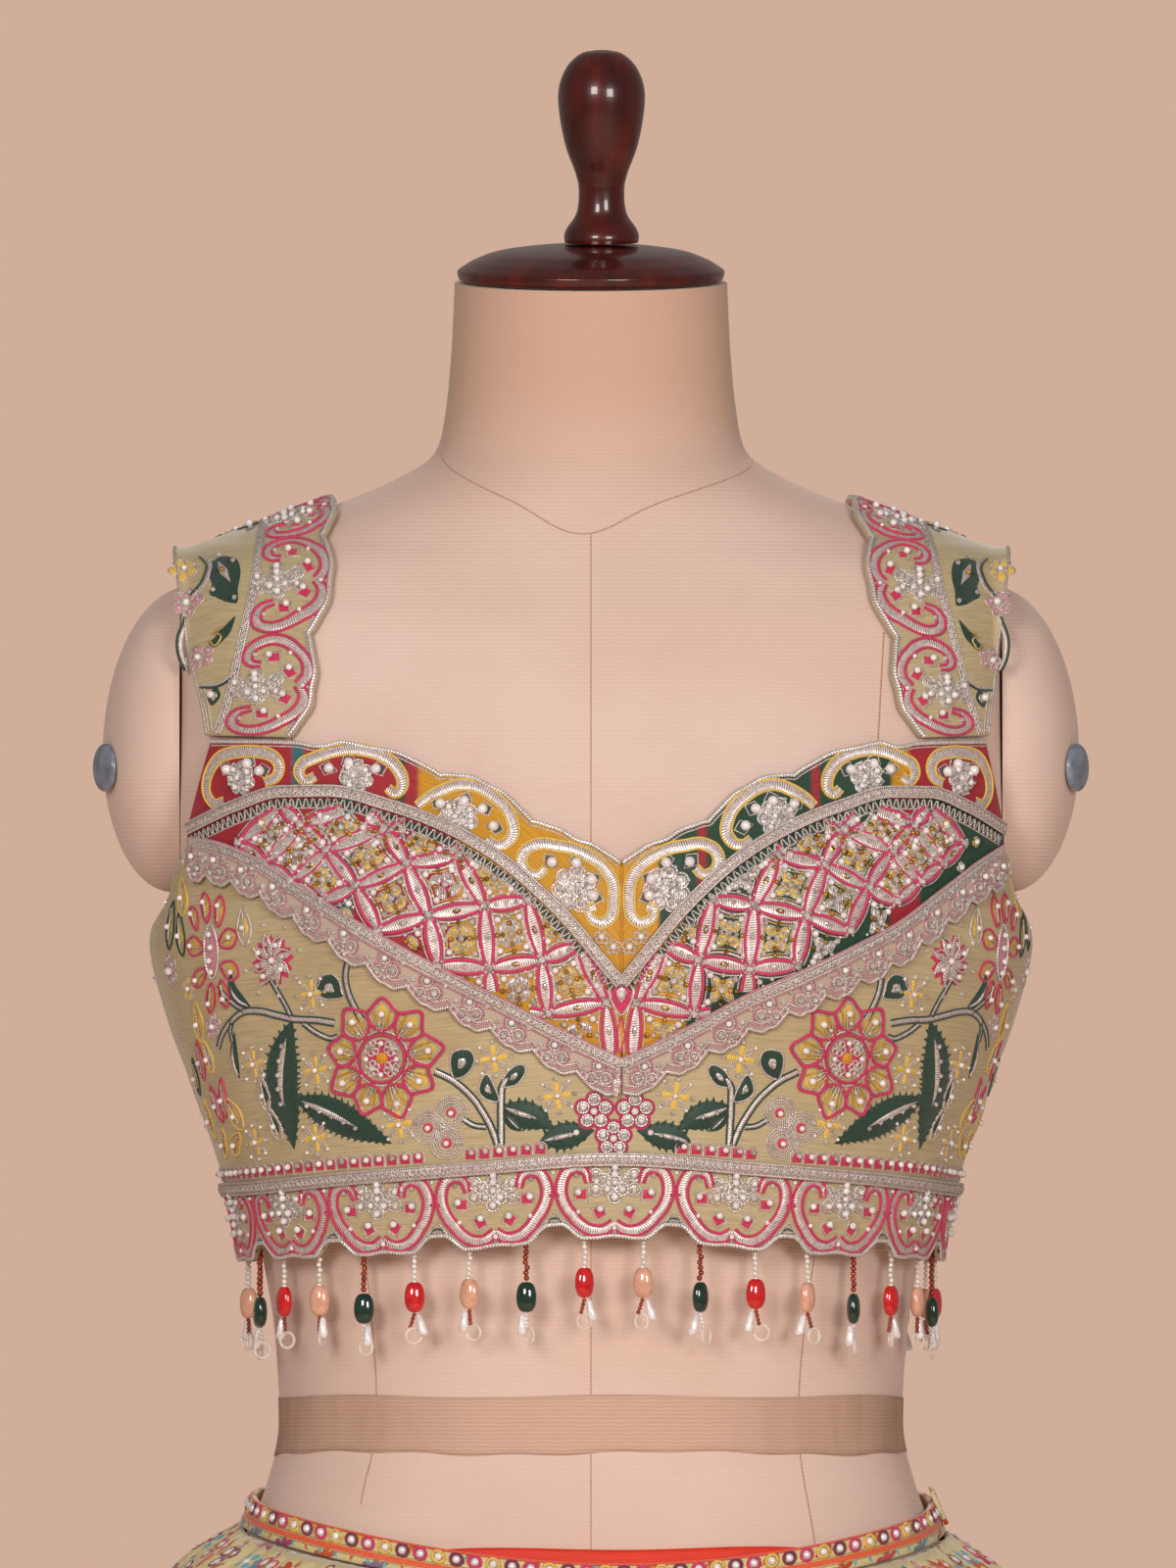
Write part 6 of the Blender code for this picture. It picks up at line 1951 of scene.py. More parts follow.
def embroider_cleavage():
    """Where the lattices of both cups meet: a coloured drop with silver round a pearl."""
    drop = half_hoop("cups", 1).pinned((0.0, 160.5))
    outline = [(0, 5.2), (4.6, 0.5), (0, -8.0), (-4.6, 0.5)]
    drop.fill(outline, "magenta", 0.4, curved=True)
    drop.cord(outline, 0.5, "zari", closed=True)
    drop.fill([(0, 3.4), (2.4, 0.2), (0, -4.0), (-2.4, 0.2)], "zari", 0.9, curved=True)
    drop.beads([(0, 0)], 1.5, "pearl", rise=1.4)
    drop.ribbon([(0, -9.0), (0, -15.0), (0, -22.0)], [0.4, 1.5, 0.3], "mustard", 0.4, edge="magenta")


def embroider_lace(side):
    """Silver-edged scallops of net under the bust, each with a small pink-edged flower."""
    place = place_across(np.linspace(0.0, 0.999, 300), FRONT_END - 2)
    seam = from_middle(side * place, underbust_at(side * place) + 0.4)
    embroider_braid(Hoop("lace", CHOLI, CLOTH + TRIM_GAP + TRIM), seam, 1.9, edge="rose")
    net_face = CLOTH + TRIM_GAP + NET_THICK
    share = np.linspace(0.002, 0.998, 400)
    place = place_across(share, FRONT_END - 2.5)
    drop = LACE_DROP + LACE_SCALLOP * scallop(share * LACE_SCALLOPS) - 0.6
    cords = ((0.0, 0.2, 0.85, "zari"), (1.7, 0.1, 0.36, "rose"), (2.9, 0.2, 0.5, "zari"))
    for inward, rise, radius, thread in cords:
        line = from_middle(side * place, underbust_at(side * place) - drop + inward)
        laid = CHOLI(line[:, 0], line[:, 1], net_face + rise + LACE_END_LIFT * share**4)
        CORDS.setdefault(("lace", thread), []).append((laid, radius, False))
    for number in range(LACE_SCALLOPS):
        share = (number + 0.5) / LACE_SCALLOPS
        across = float(place_across(share, FRONT_END - 2))
        spot = from_middle(side * across, float(underbust_at(side * across)) - 7.0)
        flower = Hoop("lace", CHOLI, net_face + LACE_END_LIFT * share**4).at(spot)
        for lobe in ring_of(3, 3.1, 90):
            flower.loop(lobe, 3.0, 0.38, "rose", step=1.2)
            flower.loop(lobe, 2.1, 0.55, "zari", 7, step=1.2)
            flower.beads([lobe], 1.2, "pearl" if lobe[1] > 0 else "crystal", rise=0.9)
        flower.beads([(0, -3.6), (-5.0, 3.6), (5.0, 3.6), (-6.6, 1.2), (6.6, 1.2)], 1.0, "crystal")
        flower.beads([(0, 0.2)], 1.0, "crystal", rise=0.9)


def strap_place(scroll_number):
    """Turns a strap scroll's own places into the surface's."""

    def place(points):
        share = np.clip((scroll_number + 0.5 + points[:, 0]) / STRAP_SCALLOPS, 0.004, 0.996)
        divide = STRAP_DIVIDE(share) - 1.5
        inner = STRAP_INNER(share) - STRAP_SCALLOP_DEPTH * 0.9
        return np.stack([divide + (inner - divide) * points[:, 1], share * STRAP_LENGTH], axis=-1)

    return place


def embroider_strap(side):
    """The scrolls of the scalloped border, the cords and braid along it, and the outer part's sprays."""
    plain = Hoop("straps", STRAPS[side], CLOTH)
    along = np.linspace(0.002, 0.998, 500)
    edge = np.stack([strap_edge_at(along) + 0.75, along * STRAP_LENGTH], axis=1)
    plain.cord(edge, 0.8, "silver", curved=False)
    plain.cord(edge + (1.4, 0), 0.35, "zari", curved=False)
    along = np.linspace(0.004, 0.996, 260)
    embroider_braid(plain, np.stack([STRAP_DIVIDE(along), along * STRAP_LENGTH], axis=1), 1.25)
    outer = np.stack([STRAP_OUTER(along) - 0.7, along * STRAP_LENGTH], axis=1)
    plain.cord(outer, 0.45, "zari", curved=False)
    for number in range(STRAP_SCALLOPS):
        embroider_scroll(Hoop("straps", STRAPS[side], CLOTH, strap_place(number)), STRAP_SCROLL_WIDE)
    embroider_strap_flowers(plain)


# A spray of the strap's plain outer part: distances from the middle and along the strap
STRAP_LEAF = [
    (143.2, 83.0), (138.4, 84.4), (134.0, 80.0), (132.2, 71.6), (133.4, 63.4), (133.6, 56.4),
    (137.4, 57.6), (141.6, 61.4), (144.4, 64.4), (143.4, 69.2), (144.6, 74.4),
]
STRAP_ARCS = [
    [(146.0, 85.0), (143.4, 78.0), (145.4, 71.0), (149.6, 66.4)],
    [(152.4, 58.0), (155.2, 50.0), (154.8, 42.0), (152.4, 35.6)],
    [(147.0, 26.0), (142.0, 24.8), (137.4, 27.6), (135.4, 31.4)],
]


def embroider_strap_spray(hoop):
    """A toothed leaf, two pink flowers, a yellow one, a gold bud and a pearl drop between arcs."""
    for line in STRAP_ARCS:
        flat = smooth_line(line, 1.3)
        hoop.ribbon(flat, [0.4, 0.9, 0.9, 0.4], "zari", 0.5, curved=False)
        hoop.cord(beside(flat, 1.2), 0.55, "green", curved=False)
    hoop.fill(STRAP_LEAF, "green", 0.7, curved=True)
    hoop.ribbon([(140.6, 78.6), (138.6, 73.0), (136.2, 67.6)], [0.6, 1.8, 0.7], "zari", 1.3)
    hoop.beads([(139.6, 80.4), (141.6, 65.4), (134.4, 59.4), (134.8, 76.0)], 1.05, "crystal", rise=1.6)
    hoop.beads([(138.2, 72.6)], 1.0, "gold_seed", rise=2.4)
    embroider_pink_flower(hoop.at((152.0, 64.4), 20), 6.6)
    embroider_pink_flower(hoop.at((147.6, 39.4), 60), 5.6)
    embroider_yellow_flower(hoop.at((153.6, 79.6), 10), 6.0)
    hoop.ribbon([(143.4, 43.0), (139.6, 46.0), (134.6, 53.0)], [1.9, 2.3, 0.3], "green", 0.6)
    curl = [(143.6, 45.0), (141.6, 42.0), (139.4, 45.4), (141.8, 47.6), (138.8, 48.8)]
    hoop.cord(curl, 0.45, "gold", rise=2.0)
    drop = hoop.at((142.8, 19.4), 100)
    drop.fill([(-5.2, 0), (0, 2.6), (5.0, 0), (0, -2.6)], "green", 0.5, curved=True)
    drop.fill([(-3.0, 0), (0, 1.5), (3.0, 0), (0, -1.5)], "zari", 0.9, curved=True)
    drop.beads([(0.4, 0)], 1.5, "pearl", rise=1.3)


def embroider_strap_flowers(hoop):
    """Three sprays, one after the other, with silver lines along the outer edge at the foot."""
    for shift in (0.0, 88.0, 176.0):
        centre = float(STRAP_DIVIDE(shift / STRAP_LENGTH) - STRAP_DIVIDE(0.0))
        embroider_strap_spray(hoop.at((0.82 * centre, shift)))
    for inward in (1.6, 2.8):
        hoop.cord([(146.4 - inward, 2.0), (147.2 - inward, 12.0), (149.0 - inward, 26.0)], 0.35, "zari")


# Flowers, leaves and stems


def embroider_pink_flower(hoop, size):
    """A small flower of silver loops edged in pink, with a pearl at its heart."""
    for petal in ring_of(5, size * 0.62, 18):
        hoop.disc(petal, size * 0.34, "rose", 0.5)
        hoop.loop(petal, size * 0.34, 0.36, "zari")
        hoop.beads([petal * 1.1], size * 0.13, "crystal")
    hoop.beads([(0, 0)], size * 0.24, "pearl")


def embroider_yellow_flower(hoop, size):
    """A small yellow flower with silver edges and a pearl at its heart."""
    for petal in ring_of(5, size * 0.62, 50):
        hoop.disc(petal, size * 0.38, "yellow", 0.5)
        hoop.loop(petal, size * 0.38, 0.32, "zari")
    hoop.beads([(0, 0)], size * 0.2, "pearl")


def embroider_petal(hoop, near, far, wide, inside):
    """A pointed petal: crimson round a silver line, stitches that fan out within, and a pearl."""
    middle = (near + far) / 2
    outline = [(near, 0), (near + (middle - near) * 0.5, wide * 0.36), (middle + 0.8, wide * 0.5)]
    outline += [(far - 3.2, wide * 0.36), (far + 0.9, 0)]
    outline += [(x, -y) for x, y in outline[-2:0:-1]]
    hoop.cord(outline + outline[:1], 0.8, "crimson", step=1.2)
    outline = np.array(outline)
    hoop.cord(outline * 0.84 + (middle * 0.16, 0), 0.3, "zari", closed=True, step=1.4)
    hoop.fill(outline * 0.78 + (middle * 0.22, 0), inside, 0.45)
    for shift in (-0.24, -0.08, 0.08, 0.24):
        line = [(near + 1.5, shift * wide * 0.6), (far - 5.0, shift * wide), (far - 3.6, shift * wide * 1.1)]
        hoop.cord(line, 0.34, "zari" if abs(shift) < 0.1 else "gold", rise=2.2)
    hoop.beads([(far - 4.8, 0)], 1.35, "pearl", rise=0.9)
    hoop.beads([(near + 3.4, 0.8)], 0.9, "crystal", rise=1.2)


def embroider_big_flower(hoop):
    """The nine-petalled flower, crimson outside and yellow within, round four silver rosettes."""
    for number in range(9):
        petal, far = hoop.at((0, 0), 40 * number + 90), 22.8 if number % 2 else 21.6
        embroider_petal(petal, 9.8, far, 12.0, "straw" if number % 3 else "yellow")
    hoop.disc((0, 0), 10.2, "crimson", 0.2, 24, rings=(1.0, 0.5, 0.0))
    hoop.loop((0, 0), 10.2, 0.6, "zari", 24)
    hoop.loop((0, 0), 9.0, 0.65, "crimson", 20, rise=1.0)
    for spot in ring_of(4, 5.5, 45):
        hoop.rosette(spot, 3.1, 6, "crystal", 1.2, cord=0.46)
    hoop.beads(ring_of(4, 5.9, 0), 1.1, "pearl", rise=1.0)
    hoop.disc((0, 0), 2.5, "mustard", 0.9, 12)


def embroider_star_flower(hoop):
    """A jagged crimson flower with silver petals, a pearl or crystal on each and crystals round it."""
    size = 12.5
    jagged = ring_of(32, 1.0, 5) * np.tile([size, size * 0.84, size * 0.97, size * 0.70], 8)[:, None]
    hoop.fill(jagged, "crimson", 0.5, rings=(1.0, 0.5, 0.0))
    for number in range(8):
        petal = hoop.at((0, 0), 45 * number + 16)
        petal.ribbon([(1.2, 0), (size * 0.45, 0), (size * 0.76, 0)], [0.6, 1.9, 1.5, 0.2], "zari", 1.1)
        petal.cord([(2.0, 1.2), (size * 0.5, 2.4), (size * 0.8, 0)], 0.36, "silver", rise=2.2)
        petal.beads([(size * 0.5, 0)], 1.1, "pearl" if number % 2 else "crystal", rise=1.9)
        petal.beads([(size * 1.08, 0)], 0.85, "crystal")
    hoop.rosette((0, 0), 2.6, 6, "pearl", 1.3)


# The tall flower's petals: each one's middle, turn, length and width
TALL_PETALS = [
    (-3, 16.5, 98, 10.5, 5.6), (5, 15, 80, 11, 5.6), (-10.5, 12.5, 118, 9, 5), (-10.5, 2, 170, 9.5, 7),
    (9.5, 4.5, 20, 9.5, 7), (10, -7, -20, 9.5, 7), (-8.5, -9.5, 212, 9.5, 6),
    (-1.5, -17.5, 262, 10.5, 5.4), (6.5, -16, -72, 10, 5.4),
]


def embroider_tall_flower(hoop):
    """A tall flower: crimson outlines round straw-coloured petals, with silver and pearls within."""
    for x, y, turn, long, wide in TALL_PETALS:
        petal = hoop.at((x, y), turn)
        outline = np.array([
            (long / 2, 0), (0.1 * long, wide / 2), (-long / 2, wide * 0.2), (-long / 2, -wide * 0.2),
            (0.1 * long, -wide / 2),
        ])
        petal.fill(outline * 0.8, "straw", 0.4, curved=True)
        petal.cord(outline, 0.6, "crimson", closed=True, step=1.2)
        petal.cord([(-0.4 * long, 0), (0.28 * long, 0)], 0.42, "zari", rise=2.0)
        petal.beads([(0.14 * long, 0)], 1.05, "pearl", rise=1.4)
    heart = [(0, 10), (3.6, 4), (3.4, -5), (0, -10), (-3.4, -5), (-3.6, 4)]
    hoop.fill(heart, "rose", 0.6, curved=True)
    hoop.cord(heart, 0.5, "silver", closed=True, rise=1.0)
    hoop.beads([(0, 6.0), (0.6, 1.5), (-0.6, -3.2), (0.2, -7.4)], 1.15, "pearl", rise=1.2)


def embroider_clover(hoop):
    """Three discs of silver rings, with a crimson heart and a pearl each."""
    for spot in ((3.5, 5.2), (-5.2, -0.4), (2.0, -6.2)):
        for radius in (6.1, 5.0, 3.9, 2.9):
            hoop.loop(spot, radius, 0.38, "zari", 11)
        hoop.disc(spot, 2.3, "crimson", 0.5)
        hoop.beads([spot], 1.15, "pearl", rise=1.0)


def embroider_yellow_star(hoop):
    """A yellow cross with silver loops between its arms, and a crystal at each end."""
    size = 5.2
    for number in range(4):
        spoke = hoop.at((0, 0), 90 * number + 8)
        spoke.ribbon([(0.5, 0), (size * 0.5, 0), (size, 0)], [0.7, 1.35, 0.9], "yellow", 0.6)
        spoke.cord([(0.8, 0.9), (3.2, 2.4), (4.4, 4.6), (2.4, 3.4), (0.9, 0.8)], 0.34, "zari")
        spoke.beads([(size + 1.2, 0)], 0.95, "crystal")
        spoke.beads([(4.9, 4.9)], 0.8, "seed")
    hoop.beads([(0, 0)], 1.05, "pearl", rise=1.0)


def embroider_stem(hoop, line, wide):
    """A stem: a silver cord between two dark green ones."""
    flat = smooth_line(line, 1.4)
    hoop.ribbon(flat, [wide], "zari", 0.5, curved=False)
    for side in (1, -1):
        hoop.cord(beside(flat, side * wide * 1.15), 0.4, "green", curved=False)


def embroider_leaf(hoop, line, half):
    """A dark green leaf with a silver vein; a broad one has small teeth, and beads on its vein."""
    halves = np.array([0.15, 0.6, 0.92, 1.0, 0.95, 0.75, 0.4, 0.1]) * half
    hoop.ribbon(line, list(halves), "green", 0.9, step=1.2)
    flat = smooth_line(line, 1.5)
    vein = flat[max(1, len(flat) // 12) : 1 + len(flat) * 3 // 4]
    hoop.ribbon(vein, [0.3, 0.22 * half, 0.24 * half, 0.16 * half, 0.2], "zari", 1.6, curved=False)
    if half < BROAD_LEAF:
        return
    gone, across = gone_along(flat), across_of(flat)
    for number in range(2, len(flat) - 2, 2):
        share = gone[number] / gone[-1]
        reach = float(np.interp(share, np.linspace(0, 1, len(halves)), halves))
        back = (flat[number - 2] - flat[number]) * 0.35
        for side in (1, -1):
            foot = flat[number] + across[number] * side * reach * 0.7
            tip = flat[number] + across[number] * side * (reach * 1.16) + back
            hoop.ribbon([foot, (foot + tip) / 2, tip], [1.0, 0.7, 0.2], "green", 0.7, step=1.5)
    hoop.beads(vein[3:-2:4], 1.0, "crystal", rise=2.2)


def embroider_bud(hoop, outline):
    """A bud: dark green round a silver heart."""
    outline = np.array(outline)
    hoop.fill(outline, "green", 0.7, curved=True)
    hoop.cord(outline, 0.42, "zari", closed=True)
    middle = outline.mean(axis=0)
    hoop.fill(middle + (outline - middle) * 0.5, "zari", 1.1, curved=True)
    hoop.beads([middle], 1.1, "crystal", rise=1.6)


def embroider_side_leaf(hoop, long, wide, edge, inside):
    """A pointed leaf drawn in outline, half filled, with a pearl."""
    outline = [(-long / 2, 0), (-0.1 * long, wide / 2), (long / 2, 0), (-0.1 * long, -wide / 2)]
    hoop.cord(outline, 0.5, edge, closed=True, step=1.2)
    hoop.fill(np.array(outline) * 0.6, inside, 0.5, curved=True)
    hoop.cord([(-0.3 * long, 0), (0.34 * long, 0)], 0.36, "zari", rise=2.0)
    hoop.beads([(-0.05 * long, 0)], 1.1, "pearl", rise=1.4)


# What is sewn on each half of the lower front: arc lengths from its centre line, counted down, and
# heights

# Outlined leaves near the side seam: place, turn, length, width, outline and filling
SIDE_LEAVES = [
    (-188.8, 197.4, 95, 15, 7.5, "yellow", "straw"), (-198.5, 187.0, 80, 18, 7.0, "green", "gold"),
    (-190.0, 183.5, 100, 16, 6.5, "green", "straw"), (-180.8, 151.0, 100, 15, 7.5, "yellow", "straw"),
    (-176.1, 138.0, 110, 13, 6.5, "yellow", "zari"), (-183.5, 137.0, 92, 15, 6.0, "crimson", "rose"),
    (-161.4, 116.5, 130, 15, 8.0, "yellow", "straw"), (-164.3, 105.5, 40, 12, 7.5, "yellow", "straw"),
    (-175.4, 120.5, 115, 15, 6.5, "crimson", "rose"), (-168.6, 122.7, 85, 15, 6.5, "crimson", "rose"),
    (-176.7, 105.8, 70, 12, 7.0, "yellow", "straw"), (-141.6, 124.0, 105, 14, 5.6, "zari", "green"),
    (-136.8, 112.5, 115, 14, 5.6, "zari", "green"), (-151.8, 186.0, 92, 14, 7.0, "zari", "straw"),
    (-188.5, 115.0, 95, 15, 7.0, "yellow", "straw"), (-193.0, 131.0, 85, 14, 6.0, "green", "straw"),
]


BROAD_LEAF = 5.0
STEMS = [
    [(-167.6, 141.4), (-164.2, 146.7), (-158.3, 151.6), (-151.7, 154.6), (-143.3, 154.6), (-135.1, 153.1),
     (-126.2, 151.6), (-116.6, 151.2), (-107.9, 150.1)],
    [(-166.5, 164.8), (-163, 161), (-157.3, 157.3), (-151.7, 155)],
    [(-138.8, 166.3), (-135.1, 161.8), (-131.4, 157.3), (-128.2, 152.7)],
    [(-122.2, 150.1), (-116.4, 146.7), (-109.9, 144.4), (-106.4, 145.2)],
    [(-102.7, 172.4), (-103.5, 167.1), (-102, 161), (-99.2, 155.8), (-96.1, 151.2)],
    [(-158.3, 151.2), (-159.5, 147.5), (-158.4, 143.7)],
    [(-67.9, 131.8), (-62.1, 129), (-57.5, 125.6), (-52.9, 121), (-49.4, 115.9), (-46.5, 110.8),
     (-43.8, 104)],
    [(-42.6, 104), (-42.7, 109.7), (-42.9, 116.5), (-42.9, 121), (-42.7, 125.6), (-40.5, 129)],
    [(-56.8, 113.7), (-52.8, 111.4), (-48.2, 110.8)],
]
# Leaves: half the width, and the middle line
LEAVES = [
    (8.6, [(-127.8, 150.6), (-131.6, 138.0), (-132.4, 126.0), (-129.6, 115.0), (-127.6, 102.4)]),
    (6.6, [(-126.0, 122.2), (-110.6, 116.7), (-98.0, 111.1), (-84.1, 104.6)]),
    (2.6, [(-155.4, 129.7), (-157.4, 134.6), (-158.1, 139.9), (-157.1, 147.5)]),
    (5.6, [(-42.8, 118.6), (-36.1, 115.9), (-29.5, 113.8), (-23.2, 109.5)]),
    (2.6, [(-35.1, 109.1), (-39.1, 113.1), (-42.3, 116.5)]),
    (5.4, [(-28.0, 105.2), (-19.5, 107.2), (-13.2, 108.4), (-7.6, 109.4)]),
    (2.8, [(-148.6, 156.1), (-154.6, 158.8), (-158.5, 162.6), (-159.7, 167.1), (-158, 170.5)]),
]
BUDS = [
    [(-104.2, 159.5), (-109.6, 158.8), (-114.2, 159.5), (-117.2, 163.3), (-115.5, 167.1), (-109.9, 168.2),
     (-106.2, 165.6), (-105.1, 161.8)],
    [(-60.4, 129), (-62.2, 134.6), (-61.2, 139.1), (-55.5, 140), (-53.2, 136.3), (-55.3, 131.2)],
    [(-42.5, 126.1), (-41.7, 130.1), (-38.4, 133.5), (-35, 134.1), (-34.1, 131.2), (-37.1, 126.7),
     (-41.6, 125.6)],
    [(-43.8, 120.5), (-45.6, 126.1), (-48.5, 130.7), (-50.7, 127.8), (-51.2, 123.9), (-48.3, 121)],
]
YELLOW_STARS = [
    (-115.9, 132.6), (-116.8, 107.2), (-149.0, 106.0), (-81.4, 112.0), (-118.8, 161.0), (-146.5, 135.1),
    (-46.0, 136.5), (-22.0, 122.4),
]


def embroider_front(side):
    """One half of the lower front's flowers, leaves and stems; the halves mirror each other."""
    hoop = Hoop("front", CHOLI, CLOTH, lambda points: points * (-side, 1))
    for line in STEMS:
        embroider_stem(hoop, line, 0.75 if len(line) < 5 else 1.0)
    for half, line in LEAVES:
        embroider_leaf(hoop, line, half)
    for outline in BUDS:
        embroider_bud(hoop, outline)
    embroider_big_flower(hoop.at((-88.1, 136.9)))
    embroider_star_flower(hoop.at((-138.0, 173.4)))
    embroider_tall_flower(hoop.at((-169.7, 177.0)))
    for spot in YELLOW_STARS:
        embroider_yellow_star(hoop.at(spot))
    for s, height, turn, long, wide, edge, inside in SIDE_LEAVES:
        embroider_side_leaf(hoop.at((s, height), turn), long, wide, edge, inside)
    embroider_clover(hoop.at((-65.0, 111.0)))
    embroider_pink_flower(hoop.at((-170.5, 149.3)), 5.0)
    embroider_pink_flower(hoop.at((-201.0, 170.4), 15), 6.6)
    embroider_yellow_flower(hoop.at((-186.5, 163.6), 30), 5.0)


def embroider_fan_flower(hoop, size):
    """A flower of five silver loops with a crimson outline, pearls and crystals."""
    for number, petal in enumerate(ring_of(5, size * 0.62, 90)):
        hoop.loop(petal, size * 0.44, 0.5, "crimson", 9)
        hoop.disc(petal, size * 0.36, "zari", 0.6, rings=(1.0, 0.0))
        hoop.loop(petal, size * 0.30, 0.42, "silver", rise=1.4)
        hoop.beads([petal], 1.1, "pearl" if number % 2 else "crystal", rise=1.5)
    hoop.disc((0, 0), size * 0.34, "zari", 1.0, rings=(1.0, 0.0))
    hoop.beads([(0, 0)], 1.4, "pearl", rise=1.5)


def embroider_pendant():
    """The three flowers that hang at the centre, where the two rows of lace meet."""
    hoop = Hoop("front", CHOLI, CLOTH)
    for spot, size in (((-8.2, 116.6), 7.0), ((7.0, 116.6), 7.0), ((-0.8, 106.4), 6.6)):
        embroider_fan_flower(hoop.at(spot), size)
    hoop.beads([(-14.6, 108.6), (13.0, 108.6), (-0.8, 97.6)], 1.2, "pearl")
    ridge = Hoop("lace", CHOLI, CLOTH + TRIM_GAP + TRIM)
    line = [(0.2, 131.6), (0.0, 127.6), (-0.2, 123.6)]
    ridge.ribbon(line, [0.9, 1.7, 1.2], "zari", 0.5, edge="rose", radius=0.4)
    ridge.beads([(0.1, 129.8), (-0.1, 126.6), (-0.3, 123.2)], 1.15, "crystal", rise=1.3)


def embroider_back(side):
    """The backs carry the same cord along their top edge, and a few small flowers."""
    hoop = Hoop("back", CHOLI, CLOTH)
    gap = 1.2 / DRESSED.half_round(200.0)
    t = side * np.linspace(SIDE_SEAM + gap, 1 - gap, 300)
    edge = from_share(t, BACK_EDGE_AT(np.abs(t)) - 0.8)
    hoop.cord(edge, 0.85, "silver", curved=False)
    hoop.cord(beside(edge, -side * 1.6), 0.38, "zari", curved=False)
    t = side * (1 - gap)
    heights = np.linspace(float(hem_seam_at(t)) + 3, float(BACK_EDGE_AT(abs(t))) - 3, 60)
    hoop.cord(from_share(t, heights), 0.45, "zari", curved=False)
    for row, height in enumerate((112.0, 140.0, 168.0, 194.0)):
        for column_ in range(4):
            t = SIDE_SEAM + 0.085 + 0.12 * column_ + 0.05 * (row % 2)
            spot = hoop.at((side * t * float(DRESSED.half_round(height)), height))
            if (row + column_) % 2:
                embroider_pink_flower(spot, 5.0)
            else:
                embroider_yellow_star(spot)


# The skirt's embroidery


def embroider_waistband():
    """Round mirrors in rings of thread along the band, and orange strips over and under them."""
    half_round = float(NUDE.half_round(BAND_LEVEL))
    closure = SIDE_SEAM * half_round

    def on_band(points):
        s = (points[:, 0] + half_round) % (2 * half_round) - half_round
        return np.stack([s, band_top(s / half_round) + points[:, 1]], axis=-1)

    hoop = Hoop("waistband", BODY_FACE, BAND_OFFSET + BAND_WALL, on_band)
    rings = (("maroon", "mirror", 1.7), ("magenta", "mirror", 1.7), ("yellow", "pearl", 1.6))
    for number, s in enumerate(np.arange(closure + 8, closure + 2 * half_round - 13, 6.9)):
        thread, kind, size = rings[number % 3]
        dot = hoop.at((s, -3.1))
        dot.loop((0, 0), 2.25, 0.72, thread, step=1.5)
        dot.fill([(3.45, 2.6), (3.05, 0), (3.45, -2.6), (3.85, 0)], "yellow", 0.4, rings=(1.0, 0.0))
        dot.beads([(0, 0)], size, kind, rise=0.1)
        leaf = dot.at((0, -6.6), 60 if number % 2 else 120)
        leaf.fill(diamond(2.3, 1.0), "sky" if number % 3 else "rust", 0.4, rings=(1.0, 0.0))
    for s in (np.arange(closure + 1, half_round, 3.0), np.arange(-half_round, closure - 1, 3.0)):
        line = np.stack([s, 0 * s], axis=1)
        hoop.cord(line - (0, 0.3), 0.5, "orange", curved=False)
        hoop.ribbon(line - (0, 7.2), [1.3], "orange", 0.35, step=3.0, curved=False)
        for drop in (5.7, 8.7):
            hoop.cord(line - (0, drop), 0.25, "gold", curved=False)


def embroider_mirror_flower(hoop, petal):
    """Five round petals of thread with a mirror in each, round a gold knot."""
    for spot in ring_of(5, 3.35, 90):
        hoop.disc(spot, 2.3, petal, 0.5, rings=(1.0, 0.6))
        hoop.disc(spot, 1.25, "mirror", 0.75, 6, rings=(1.0, 0.0))
    hoop.disc((0, 0), 1.5, "gold", 1.0, 6, rings=(1.0, 0.0))


def embroider_sprig(hoop):
    """Three rust leaves on a stalk, with a small mirror."""
    for turn in (90, 45, 135):
        leaf = hoop.at((0, -3), turn)
        leaf.fill([(1.2, 0), (4.4, 1.9), (8.4, 0), (4.4, -1.9)], "rust", 0.5, rings=(1.0, 0.0))
    hoop.cord([(0, -6.5), (0, -1.5)], 0.5, "rust", step=4.0)
    hoop.disc((0, 1.5), 1.1, "mirror", 0.9, 6, rings=(1.0, 0.0))


def embroider_cross(hoop):
    """Four sky-blue dots round a small mirror."""
    for spot in ring_of(4, 2.3, 45):
        hoop.disc(spot, 1.5, "sky", 0.5, 6, rings=(1.0, 0.0))
    hoop.disc((0, 0), 1.1, "mirror", 0.9, 6, rings=(1.0, 0.0))


def embroider_skirt():
    """Small flowers, sprigs and crosses in staggered rows, close together where the cloth is gathered.

    The rows below the first ones are wider apart, so that the stitches stay few enough, and the
    print fills the room between.
    """
    row, drop = 0, 6.5
    while drop < 1015.0:
        around = 2 * math.pi * float(skirt_radius(drop))
        apart = 14.0 if drop < 42 else 28.0 if drop < 130 else 42.0
        count = 4 * int(around / apart / 4)
        for number in range(count):
            share = (2 * (number + 0.5 * (row % 2)) + 0.35) / count - 1
            place = 1000 * share, -drop
            hoop = Hoop("skirt", SKIRT_CLOTH, SKIRT_WALL / 2).pinned(place, size=(2000 / around, 1.0))
            kind = (number + 2 * row) % 4
            if kind % 2 == 0:
                embroider_mirror_flower(hoop, "maroon" if (number + row) % 4 else "magenta")
            elif kind == 1:
                embroider_sprig(hoop)
            else:
                embroider_cross(hoop)
        drop += apart * 0.8
        row += 1


# The room


def make_floor():
    """A plain floor under the stand, outside the picture."""
    mesh = bpy.data.meshes.new("studio_floor")
    mesh.from_pydata([(-6, -6, 0), (6, -6, 0), (6, 6, 0), (-6, 6, 0)], [], [(0, 1, 2, 3)])
    mesh.materials.append(FINISH["floor"])
    floor = bpy.data.objects.new("studio_floor", mesh)
    bpy.context.scene.collection.objects.link(floor)


